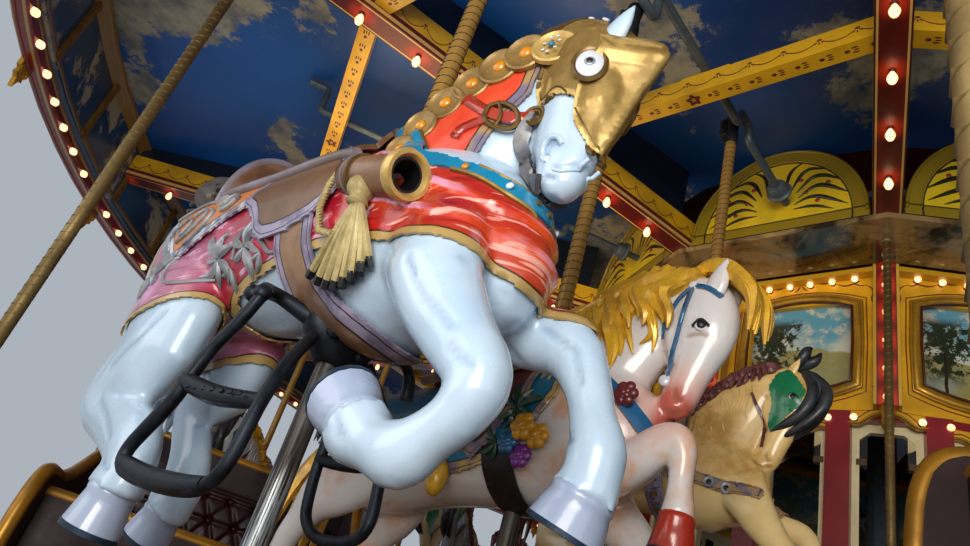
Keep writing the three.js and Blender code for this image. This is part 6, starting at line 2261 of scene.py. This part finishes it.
def real_eye(body, forward, up, side):
    """A dark eye with its white and a painted lid."""
    size = .017
    place = touch(body, forward, up, side, -.004)
    look = (side, .45, .0)
    white = painted(stone(place, look, size * 1.25, .45), PEARL)
    dark = painted(stone(place + Vector(look).normalized() * .006, look, size * .85, .5), BLACK)
    lid = painted(laid_cord(body, [(forward - size * 1.4, up - size * .2), (forward, up + size * 1.0),
                                   (forward + size * 1.4, up - size * .3)],
                            .0045, side, .006, 8), BLACK)
    return [white, dark, lid]


def shod(feet, finish, top, sole):
    """Painted hooves with their shoes."""
    made = []
    for start, end in feet:
        horn_part, shoe_part = hoof(start, end, top, sole, 16)
        made += [painted(horn_part, finish), painted(shoe_part, SHOE)]
    return made


def carved_tail(line, radii, sway, rate, finish):
    """Seven tapering locks; line gives the place of each point, backward and up."""
    locks = []
    for n in range(7):
        a, w = (n - 3) * .018, sway * math.sin(n * rate)
        asides = (a * .3, a, a * 1.6, a * 1.9 + w, a * 2 + w)
        locks.append(cord([(x, y + bend, z) for x, (y, z), bend in zip(asides, line, (0, 0, w, -w, w))], radii, 7))
    return painted(join(locks, "tail"), finish)


def carve_face(body, eye_at, nostril, mouth, cheek):
    """Grooves for the nostril, mouth, cheek and brow."""
    carved(body, [nostril], .012, .012)
    carved(body, [mouth, cheek, [(eye_at[0] - .04, eye_at[1] - .035), (eye_at[0], eye_at[1] - .028),
                                 (eye_at[0] + .035, eye_at[1] - .04)]],
           .005, .010)


print("hair and flowers ready")

# %% Golden-maned horse
gold = melted([loft(rings, 22) for rings in GOLD_RINGS] + [loft(rings, 16) for rings in GOLD_LEGS], "gold body",
              GOLD_VOXEL, 6)
carve_face(gold, (.585, -.075), [(.532, -.305), (.520, -.300), (.512, -.285), (.522, -.272)],
           [(.545, -.325), (.52, -.338), (.495, -.335), (.480, -.325)],
           [(.47, -.05), (.455, -.10), (.470, -.16), (.50, -.20)])
painted(gold, PEACH)
gold_mane = painted(mane(gold, [(.08, -.05), (.17, .02), (.26, .085), (.35, .13), (.44, .15), (.51, .145)],
                         (-.11, -.31), (1, -1), 17, .024, .07, .036), GOLD_HAIR)
forelocks = []
for number in range(13):
    rng = random.Random(number + 40)
    side = 1 if number % 3 else -1
    reach = .75 + .45 * rng.random()
    aside = side * (.02 + .05 * rng.random())
    forelocks.append(cord([(aside * .2, .50, .155), (aside * .5, .57, .165 + .02 * rng.random()),
                           (aside * .8, .64, .12 + .03 * rng.random()),
                           (aside * 1.2, .68 + .03 * reach, .07 - .03 * rng.random()),
                           (aside * 1.0, .715 + .02 * reach, .02 - .05 * rng.random()),
                           (aside * 1.3, .69 + .04 * reach, -.04 - .07 * rng.random())],
                          [.014, .024, .027, .026, .020, .004], 7))
forelocks = painted(join(forelocks, "forelock"), GOLD_HAIR)
gold_tail = carved_tail([(-.88, -.44), (-.98, -.46), (-1.06, -.60), (-1.04, -.76), (-1.08, -.93)],
                        [.026, .030, .028, .022, .004], .028, 2.2, GOLD_HAIR)
gold_bits = []
gold_tack = []
for side in (1, -1):
    gold_bits += real_eye(gold, .585, -.078, side)
    for path, width in (([(.545, .075), (.535, .0), (.510, -.10), (.490, -.19), (.482, -.235)], .013),
                        ([(.545, .06), (.50, .02), (.465, -.04), (.455, -.10)], .012),
                        ([(.545, .065), (.59, .05), (.63, .02)], .013)):
        gold_tack.append(strap(gold, path, width, .004, side, .003, 14, 2))
    gold_tack.append(strap(gold, [(.20, -.17), (.30, -.26), (.40, -.345), (.462, -.42)], .040, .005, side, .004,
                           14))
    gold_bits.append(painted(stone(touch(gold, .482, -.240, side, .006), (side, .3, 0), .020, .5), PEARL))
    gold_bits.append(painted(stone(touch(gold, .545, .065, side, .006), (side, .3, 0), .016, .5), PEARL))
    for forward, up, size, finish in ((.135, -.455, .044, ROSE_YELLOW), (.185, -.480, .040, ROSE_YELLOW),
                                      (.085, -.500, .036, STRAP_BLUE),
                                      (.130, -.530, .038, ROSE_PURPLE), (.40, -.33, .040, CLOTH_MAROON)):
        gold_bits.append(painted(join(flower(gold, forward, up, side, size), "flower"), finish))
    greens = spray(gold, (.10, -.40), .09, (20, 60, 100, 140, 200, 240, 290, 330), side, .022) + \
        spray(gold, (.04, -.50), .07, (120, 160, 200, 240), side, .020)
    gold_bits.append(painted(join(greens, "greens"), LEAF_PAINT))
gold_tack = painted(join(gold_tack, "tack"), STRAP_BLUE)
gold_cloth = painted(peeled(gold, [(-.62, -.56), (-.45, -.60), (-.28, -.60), (-.07, -.57), (.06, -.535),
                                   (.16, -.45), (.22, -.34), (.20, -.20),
                                   (.10, .2), (-.66, .2), (-.68, -.45)], .006, .006), CLOTH_BLUE)
gold_flap = join([painted(peeled(gold, [(-.16, -.50), (-.06, -.545), (.02, -.50), (.12, -.36), (.12, -.20),
                                        (-.30, -.20), (-.28, -.30)], .018, .006, side),
                          CLOTH_MAROON) for side in (1, -1)], "flap")
gold_seat = painted(peeled(gold, [(-.42, -.30), (-.30, -.29), (.02, -.27), (.10, -.24), (.08, .2), (-.46, .2)],
                           .035, .030), CLOTH_MAROON)
gold_horn = painted(smooth(loft([((.06, 0, -.22), .08, .10), ((.02, 0, -.14), .055, .07),
                                 ((.0, 0, -.07), .035, .045), ((-.01, 0, -.04), .02, .025)], 14)), CLOTH_MAROON)
gold_cantle = painted(smooth(loft([((-.36, 0, -.25), .05, .16), ((-.42, 0, -.15), .035, .16),
                                   ((-.47, 0, -.07), .028, .12), ((-.485, 0, -.045), .012, .07)], 18)),
                      CLOTH_MAROON)
gold_girth = painted(peeled(gold, [(-.03, -.50), (.09, -.50), (.10, -.62), (.13, -.8), (-.02, -.8), (-.03, -.62)],
                            .012, .006), BLACK)
gold_ears = [painted(ear((.600, side * .046, .040), (.640, side * .060, .158), .036, .018), PEACH)
             for side in (1, -1)]
gold_hooves = shod(GOLD_HOOVES, RED_HOOF, .046, .060)
for place in ((.17, -.20, -.60), (.15, -.78, -.58)):
    gold_bits.append(painted(smooth(loft([((place[1], place[0], place[2] + .05), .016, .016),
                                          ((place[1], place[0], place[2] + .02), .034, .030),
                                          ((place[1], place[0], place[2] - .03), .036, .032),
                                          ((place[1], place[0], place[2] - .07), .014, .014)], 12)), GOLD_HAIR))
print("golden-maned horse:", triangles(gold), "triangles in the body,", triangles(gold_mane), "in the mane")

# %% Tan horse
tan = melted([loft(rings, 22) for rings in TAN_RINGS] + [loft(rings, 16) for rings in TAN_LEGS], "tan body",
             TAN_VOXEL, 6)
carve_face(tan, (.52, -.08), [(.422, -.395), (.408, -.390), (.402, -.375), (.414, -.364)],
           [(.43, -.415), (.40, -.425), (.375, -.42), (.355, -.400)],
           [(.40, -.06), (.375, -.12), (.375, -.18), (.40, -.24)])
painted(tan, TAN)
tan_strands = []
for side in (1, -1):
    for number in range(11):
        root = (.02 + .030 * number, -.20 + .021 * number + .012 * math.sin(number * 1.7))
        reach = .17 + .04 * math.sin(number * 2.3)
        path = [(root[0], root[1]), (root[0] + .022, root[1] - reach * .35),
                (root[0] + .008, root[1] - reach * .7), (root[0] + .026, root[1] - reach)]
        places = [touch(tan, a, b, side, -.003) for a, b in rounded(path, 9)]
        tan_strands.append(cord(places, [.004, .010, .013, .013, .012, .011, .009, .006, .002], 6))
tan_strands = painted(join(tan_strands, "strands"), TAN)
tan_mane = painted(mane(tan, [(.0, -.17), (.08, -.09), (.16, -.01), (.24, .05), (.33, .09), (.42, .10)],
                        (-.075, -.085), (1, -1), 15, .022, .02), MAROON_HAIR)
tan_bits = []
for side in (1, -1):
    tan_bits += real_eye(tan, .525, -.08, side)
    tan_bits.append(painted(peeled(tan, [(.44, .06), (.40, -.02), (.42, -.10), (.40, -.20), (.415, -.26),
                                         (.45, -.25), (.50, -.18), (.56, -.13),
                                         (.58, -.04), (.54, .03), (.50, .08)], .003, .003, side), MASK_GREEN))
    tan_bits.append(painted(strap(tan, [(.33, -.06), (.36, -.14), (.385, -.20), (.39, -.27), (.385, -.33)], .014,
                                  .004, side, .004, 12, 2), CLOTH_MAROON))
    for forward, up in ((.10, -.535), (.20, -.56), (.29, -.585)):
        ring = turned([(.012, 0), (.018, .004), (.024, .004), (.028, 0), (.022, -.004), (.014, -.004)], 14)
        ring = placed(ring, facing(touch(tan, forward, up, side, .018), (side, .35, 0)))
        tan_bits.append(painted(ring, SILVER))
        tan_bits.append(painted(stone(touch(tan, forward, up, side, .012), (side, .35, 0), .014, .4), BLACK))
tan_belt = painted(peeled(tan, [(-.02, -.50), (.10, -.50), (.20, -.525), (.30, -.545), (.46, -.58), (.46, -.64),
                                (.30, -.61), (.20, -.59), (.10, -.565), (-.02, -.56)],
                          .006, .006), leather("belt brown", "#7a5a30", "#54391a", "#a9895a"))
plumes = []
for path in ([(.0, .56, .08), (.01, .64, .03), (.02, .675, -.07), (.03, .63, -.16), (.035, .54, -.235),
              (.03, .45, -.285)],
             [(.0, .57, .06), (-.01, .63, .0), (-.01, .65, -.09), (-.01, .60, -.18), (-.01, .51, -.25),
              (.0, .43, -.31)],
             [(.03, .56, .06), (.04, .61, .0), (.05, .61, -.08), (.055, .57, -.16), (.055, .49, -.22),
              (.05, .42, -.25)],
             [(.0, .50, .09), (.0, .56, .13), (.0, .61, .15), (.0, .625, .19)],
             [(.01, .50, .08), (.01, .58, .07), (.01, .64, .0), (.02, .60, -.09), (.02, .50, -.20)],
             [(-.01, .50, .08), (-.01, .57, .06), (-.01, .61, -.02), (-.01, .58, -.10), (0, .49, -.22)],
             [(.02, .50, .09), (.03, .55, .15), (.03, .57, .20), (.02, .59, .21)],
             [(-.02, .50, .09), (-.03, .54, .14), (-.03, .58, .17), (-.02, .61, .18)]):
    plumes.append(cord(path, [float(v) for v in np.interp(np.linspace(0, 1, len(path)), (0, .25, .5, .8, 1),
                                                          (.015, .030, .032, .022, .006))], 10))
plumes = painted(join(plumes, "plumes"), BLACK_HAIR)
tan_ears = [painted(ear((.49, side * .040, .05), (.545, side * .055, .135), .026, .014), TAN) for side in (1, -1)]
tan_cloth = painted(peeled(tan, [(-.60, -.58), (-.40, -.62), (-.15, -.60), (-.02, -.52), (.02, -.40), (.06, .2),
                                 (-.62, .2), (-.64, -.46)], .006, .006), CLOTH_GREEN)
tan_seat = painted(peeled(tan, [(-.42, -.36), (-.30, -.34), (-.02, -.33), (.04, -.30), (.02, .2), (-.46, .2)],
                          .040, .040), CLOTH_MAROON)
tan_cantle = painted(smooth(loft([((-.36, 0, -.30), .05, .16), ((-.42, 0, -.19), .035, .15),
                                  ((-.47, 0, -.10), .026, .11), ((-.485, 0, -.08), .012, .07)], 18)), SADDLE)
tan_horn = painted(smooth(loft([((.02, 0, -.28), .08, .10), ((-.02, 0, -.17), .055, .07),
                                ((-.04, 0, -.08), .035, .045), ((-.05, 0, -.05), .02, .025)], 14)), SADDLE)
tan_girth = painted(peeled(tan, [(-.14, -.50), (-.03, -.50), (-.03, -.8), (-.14, -.8)], .012, .006), GIRTH)
tan_tail = carved_tail([(-.86, -.38), (-.96, -.42), (-1.02, -.56), (-1.0, -.72), (-1.03, -.90)],
                       [.024, .028, .026, .022, .004], .026, 1.7, MAROON_HAIR)
tan_hooves = shod(TAN_HOOVES, BLACK_HAIR, .048, .062)
print("tan horse:", triangles(tan), "triangles in the body")

# %% [markdown]
# The two models are joined, each into one piece with its own paints, and set down in the first bay.
# Before that a light copy of each is kept as a pattern for the other bays.

# %% Patterns for the copies
GOLD_MOST, TAN_MOST = 74000, 56000
GOLD_PATTERN_MOST, TAN_PATTERN_MOST = 6200, 5900


def lightened(parts, name, wanted):
    """A copy of some parts as one mesh with about the wanted number of triangles."""
    return smooth(capped(join([own_copy(part) for part in parts], name), wanted), 60)


def flat_attributes(obj):
    """Every paint attribute exists on every piece, so that joined pieces keep theirs."""
    for name in ("groove", "edge", "fold"):
        if name not in obj.data.attributes:
            store(obj.data, name, np.full(len(obj.data.vertices), .5 if name == "edge" else 0.0))
    return obj


gold_saddlery = [gold_tack, gold_cloth, gold_flap, gold_seat, gold_horn, gold_cantle, gold_girth]
gold_hair = [gold_mane, forelocks, gold_tail]
gold_small = gold_bits + gold_ears + gold_hooves
gold_parts = [gold] + gold_hair + gold_saddlery + gold_small
tan_parts = [tan, tan_mane, tan_strands, plumes, tan_belt, tan_cloth, tan_seat, tan_cantle, tan_horn, tan_girth,
             tan_tail] + tan_bits + tan_ears + tan_hooves
for part in gold_parts + tan_parts:
    flat_attributes(part)
gold_pattern = lightened([gold] + gold_saddlery + gold_hair + gold_small, "gold pattern", GOLD_PATTERN_MOST)
tan_pattern = lightened(tan_parts, "tan pattern", TAN_PATTERN_MOST)
gold_horse = join(gold_parts, "gold horse")
tan_horse = join(tan_parts, "tan horse")
set_down(capped(gold_horse, GOLD_MOST), "middle_horse_1_carving", "middle", 0)
set_down(capped(tan_horse, TAN_MOST), "inner_horse_1_carving", "inner", 0)
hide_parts("middle_horse_1")
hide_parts("inner_horse_1")
for row in ROWS[1:]:
    settle(pole(row, 0, "pole"), "%s_horse_1_twisted_pole" % row, "%s_horse_1" % row)
print("golden horse", triangles(gold_horse), "tan horse", triangles(tan_horse), "patterns",
      triangles(gold_pattern), triangles(tan_pattern))

# %% [markdown]
# The other 21 horses take the two patterns in turn. Each copy has its own mesh, and its paints are
# changed for a bay, grey, black, white or cream coat and another cloth.

# %% The rest of the rows
COATS = [enamel("coat white", "#d2d4d6", "#a3adb8", "#6f7a86"),
         enamel("coat bay", "#5e2f16", "#3a1c0c", "#1f0f08"),
         enamel("coat dapple grey", "#8f959c", "#5d6269", "#35393f"),
         enamel("coat black", "#1d1d21", "#101013", "#08080a"),
         enamel("coat cream", "#cdb78e", "#a88d5d", "#6d5630")]
CLOTHS = [CLOTH_BLUE, CLOTH_MAROON, CLOTH_GREEN, leather("purple cloth", "#3c2360", "#241440", "#b89a5a"),
          leather("scarlet cloth", "#9c1c18", "#6a100f", "#b89a5a")]
MANES = [GOLD_HAIR, MAROON_HAIR, BLACK_HAIR]


def repainted(obj, swaps):
    """Changes an object's paints, given as old material to new material."""
    for slot in obj.material_slots:
        for old, new in swaps.items():
            if slot.material == old:
                slot.material = new
                break


number = 0
for bay in HORSE_BAYS[1:]:
    for order, row in enumerate(ROWS):
        pattern = gold_pattern if (bay + order) % 2 else tan_pattern
        horse = own_copy(pattern)
        coat, cloth_paint_here, hair = COATS[number % 5], CLOTHS[(number * 3 + 1) % 5], MANES[(number * 2) % 3]
        repainted(horse, {PEACH.material: coat.material, TAN.material: coat.material,
                          CLOTH_BLUE.material: cloth_paint_here.material,
                          CLOTH_GREEN.material: cloth_paint_here.material, GOLD_HAIR.material: hair.material,
                          MAROON_HAIR.material: hair.material})
        name = "%s_horse_%d" % (row, bay + 1)
        set_down(horse, name + "_carving", row, bay)
        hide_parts(name)
        settle(pole(row, bay, "pole", seams=False), name + "_twisted_pole", name)
        number += 1
for pattern in (gold_pattern, tan_pattern):
    bpy.data.objects.remove(pattern)
print("copies:", number, "horses; all pieces so far", sum(triangles(o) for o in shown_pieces() if o.type == "MESH"))

# %% [markdown]
# # The chariots
# Four chariots for seated riders stand in the bays without horses. Each has two thick side boards
# with a rolled gold edge and carved scrolls, a floor, a dash, a seat box and a deep-buttoned seat.

# %% Carved chariot body
SIDE_POINTS = [(-.72, .0), (.62, .0), (.76, .22), (.70, .52), (.38, .56), (.12, .64), (-.26, .82), (-.56, 1.06),
               (-.80, 1.02), (-.82, .52)]
SIDE_INNER, SIDE_OUTER = .610, .660
CHARIOT_RADIUS, DECK_TOP, BODY_MOST = 3.8, .45, 10000


def closed_curve(points, steps=5):
    """A smooth closed line through the points, kept above the floor."""
    count = len(points)
    rows = [np.array(p, float) for p in points]
    made = []
    for n in range(count):
        a, b, c, d = (rows[(n + k) % count] for k in (-1, 0, 1, 2))
        for step in range(steps):
            t = step / steps
            spot = 0.5 * (2 * b + (c - a) * t + (2 * a - 5 * b + 4 * c - d) * t * t
                          + (3 * b - a - 3 * c + d) * t ** 3)
            made.append((float(spot[0]), max(.004, float(spot[1]))))
    return made


def spiral(centre, start, turns, size, hand=1, steps=16):
    """A volute that winds in to its centre, as (forward, up) points."""
    made = []
    for n in range(steps):
        share = n / (steps - 1)
        angle = math.radians(start) + hand * share * turns * 2 * math.pi
        made.append((centre[0] + size * (1 - share * .92) * math.cos(angle), centre[1]
                     + size * (1 - share * .92) * math.sin(angle)))
    return made


CHARIOT_GOLD = metal("carved chariot gold", "#b98422", "#5d3c10", 0.3, 0.45, 8.0)
CHARIOT_MAROON = metal("chariot maroon", "#2a0910", "#140508", 0.5, 0.0, 4.0)
CHARIOT_GREEN = gloss("chariot green", "#184a3a", "#0c261f", 0.5, 4.0)
CHARIOT_WOOD = boards("chariot floor boards", "#7c5a34", "#4a3520", 0.09)
side_line = closed_curve(SIDE_POINTS)
inner_line = [(-.03 + (a + .03) * .86, .42 + (b - .46) * .82) for a, b in side_line]
body_parts = []
for place, face in ((SIDE_INNER, 1), (-SIDE_OUTER, -1)):
    board = slab(side_line, place, place + .05)
    add_modifier(board, "BEVEL", width=.010, segments=2, limit_method="ANGLE")
    body_parts.append(painted(board, CHARIOT_MAROON))
    middle = place + .025
    body_parts.append(painted(cord([(middle, a, b) for a, b in side_line], .027, 8, True, True), CHARIOT_GOLD))
    outer_face = place + .05 if face > 0 else place
    body_parts.append(painted(cord([(outer_face, a, b) for a, b in inner_line], .009, 6, True, True),
                              CHARIOT_GOLD))
    for points, radii, finish in (
            (spiral((-.66, .90), 200, 1.6, .13, -1), [.034, .030, .026, .020, .014], CHARIOT_GOLD),
            (spiral((.60, .38), 300, 1.5, .12, 1), [.032, .028, .022, .018, .012], CHARIOT_GOLD),
            (spiral((-.52, .26), 20, 1.4, .15, 1), [.030, .028, .022, .016, .010], CHARIOT_GOLD),
            ([(-.40, .33), (-.22, .24), (.02, .22), (.22, .32), (.44, .30), (.52, .24)],
             [.012, .026, .030, .028, .022, .008], CHARIOT_GOLD),
            ([(-.56, .78), (-.42, .66), (-.24, .62), (-.06, .54), (.14, .46), (.34, .44)],
             [.014, .028, .030, .026, .020, .006], CHARIOT_GOLD),
            ([(-.24, .62), (-.20, .52), (-.26, .44)], [.022, .020, .006], CHARIOT_GREEN),
            ([(.02, .22), (.06, .32), (.0, .40)], [.022, .020, .006], CHARIOT_GREEN),
            ([(-.42, .66), (-.46, .54), (-.40, .46)], [.022, .020, .006], CHARIOT_GREEN),
            ([(.22, .32), (.30, .22), (.28, .12)], [.020, .018, .006], CHARIOT_GREEN)):
        body_parts.append(painted(stroke(points, radii, outer_face, .6, 6), finish))
    for number in range(9):
        angle = math.radians(40 * number)
        spot = (outer_face + face * .006, -.06 + .045 * math.cos(angle), .36 + .045 * math.sin(angle))
        body_parts.append(painted(stone(spot, (face, 0, 0), .020, .6), CHARIOT_GOLD))
    body_parts.append(painted(stone((outer_face + face * .010, -.06, .36), (face, 0, 0), .026, .7),
                              CHARIOT_MAROON))
for size, place, finish, soft in (((1.23, 1.34, .05), (0, -.05, .025), CHARIOT_WOOD, .004),
                                  ((1.23, .04, .70), (0, -.70, .68), CHARIOT_MAROON, .010),
                                  ((1.23, .42, .33), (0, -.47, .19), CHARIOT_MAROON, .012),
                                  ((1.23, .04, .46), (0, .60, .25), CHARIOT_MAROON, .010)):
    body_parts.append(painted(block(place, size, soft), finish))
for y, z, radius in ((-.70, 1.03, .026), (.60, .48, .024), (-.262, .345, .012), (-.262, .05, .012)):
    body_parts.append(painted(cord([(-.61, y, z), (0, y, z + .0001), (.61, y, z)], radius, 8), CHARIOT_GOLD))
for at_x in np.linspace(-.50, .50, 6):
    body_parts.append(painted(stone((at_x, -.262, .20), (0, 1, 0), .030, .4), CHARIOT_GOLD))
chariot_body = capped(join(mapped(body_parts), "chariot body"), BODY_MOST)
print("chariot body:", triangles(chariot_body), "triangles")

# %% [markdown]
# **Seats.** The cushion and the back pad are blown up by a cloth simulation, which crowns them and
# leaves their edges held. How far a point may move is capped. The back then gets deep buttons in a
# diamond pattern with pleats between, and both get piping along their edges.

# %% Stuffed seats
PRESSURE, SWELL_FRAMES, SWELL_CAP = 4, 20, .020
BACK_MOST, CUSHION_MOST, LIGHT_BACK_MOST, LIGHT_CUSHION_MOST = 30000, 16000, 7000, 5000


def stuffed(size, place, voxel):
    """A pad of this size, swollen by cloth pressure, with one subdivision."""
    pad = block(place, size, min(size) * .22, 3)
    add_modifier(pad, "REMESH", mode="VOXEL", voxel_size=voxel)
    before = coordinates(pad.data)
    swell = pad.modifiers.new("swell", "CLOTH")
    swell.settings.use_pressure = True
    swell.settings.uniform_pressure_force = PRESSURE
    swell.settings.effector_weights.gravity = 0
    swell.point_cache.frame_start, swell.point_cache.frame_end = 1, SWELL_FRAMES
    for step in range(1, SWELL_FRAMES + 1):
        bpy.context.scene.frame_set(step)
    active(pad)
    bpy.ops.object.modifier_apply(modifier=swell.name)
    bpy.context.scene.frame_set(1)
    move = coordinates(pad.data) - before
    far = np.linalg.norm(move, axis=1)
    move *= (np.minimum(far, SWELL_CAP) / np.maximum(far, 1e-9))[:, None]
    pad.data.vertices.foreach_set("co", (before + move).ravel())
    pad.data.update()
    add_modifier(pad, "SMOOTH", factor=0.5, iterations=2)
    add_modifier(pad, "SUBSURF", levels=1, render_levels=1)
    return smooth(pad)


def buttoned(pad, axis, spots, depth, pull, neighbours):
    """Pushes dimples and pleats into one face; axis is 1 for the front and 2 for the top."""
    place = coordinates(pad.data)
    other = 3 - axis
    flat = place[:, [0, other]]
    middle = (place[:, axis].min() + place[:, axis].max()) / 2
    lines = [[a, b] for a in spots for b in spots if a < b and math.hypot(a[0] - b[0], a[1] - b[1]) < neighbours]
    to_button = near_lines(flat, [[s, s] for s in spots])
    to_pleat = near_lines(flat, lines)
    sink = depth * np.exp(-(to_button / .020) ** 2) + pull * np.exp(-(to_pleat / .013) ** 2)
    place[:, axis] -= np.where(place[:, axis] > middle, sink, 0)
    pad.data.vertices.foreach_set("co", place.ravel())
    pad.data.update()
    return smooth(pad)


def piping(low, high, axis, at, radius=.007):
    """A corded seam round one face of a pad."""
    (a, b), (c, d) = low, high
    corner = .03
    points = [(a + corner, b), (c - corner, b), (c, b + corner), (c, d - corner), (c - corner, d), (a + corner, d),
              (a, d - corner), (a, b + corner)]
    return painted(cord([(u, at, v) if axis == 1 else (u, v, at) for u, v in points], radius, 6, True, True),
                   LEATHER)


BACK_SPOTS = [(x + (.07 if row % 2 else 0), .44 + .12 * row) for row in range(4) for x in np.linspace(-.49, .49, 8)
              if abs(x + (.07 if row % 2 else 0)) < .55]
SEAT_SPOTS = [(x + (.06 if row % 2 else 0), -.58 + .11 * row) for row in range(3)
              for x in np.linspace(-.48, .48, 9) if abs(x + (.06 if row % 2 else 0)) < .55]
back_pad = buttoned(stuffed((1.16, .070, .48), (0, -.633, .617), .013), 1, BACK_SPOTS, .030, .012, .145)
cushion = buttoned(stuffed((1.16, .385, .080), (0, -.466, .410), .016), 2, SEAT_SPOTS, .020, .007, .15)
painted(back_pad, LEATHER)
painted(cushion, LEATHER)
back_buttons = [painted(stone((x, -.590, z), (0, 1, 0), .010, .5), LEATHER) for x, z in BACK_SPOTS]
seat_buttons = [painted(stone((x, y, .450), (0, 0, 1), .009, .5), LEATHER) for x, y in SEAT_SPOTS]
back_pad = join([capped(back_pad, BACK_MOST), piping((-.585, .385), (.585, .85), 1, -.600)] + back_buttons,
                "back pad")
cushion = join([capped(cushion, CUSHION_MOST), piping((-.585, -.655), (.585, -.275), 2, .438)] + seat_buttons,
               "cushion")
print("back pad:", triangles(back_pad), "cushion:", triangles(cushion), "triangles")

# %% Four chariots
for number, bay in enumerate(CHARIOT_BAYS):
    polar = BAY_ANGLES[bay]
    for source, name, slot, most in ((chariot_body, "chariot_%d_carved_body", "chariot_paint", None),
                                       (back_pad, "chariot_%d_buttoned_back", "seat_leather", LIGHT_BACK_MOST),
                                     (cushion, "chariot_%d_cushion", "seat_leather", LIGHT_CUSHION_MOST)):
        piece = own_copy(source)
        if most and number:
            capped(piece, most)
        piece.matrix_world = Matrix.Translation(on_polar(CHARIOT_RADIUS, polar, DECK_TOP)) @ about_axis(polar)
        settle(piece, name % (number + 1), "turntable")
        if source is chariot_body:
            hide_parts("chariot_%d" % (number + 1))
        else:
            if source is back_pad:
                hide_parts("chariot_%d_seat" % (number + 1))
for source in (chariot_body, back_pad, cushion):
    bpy.data.objects.remove(source)
print("chariots set down; all pieces", sum(triangles(o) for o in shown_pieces() if o.type == "MESH"), "triangles")
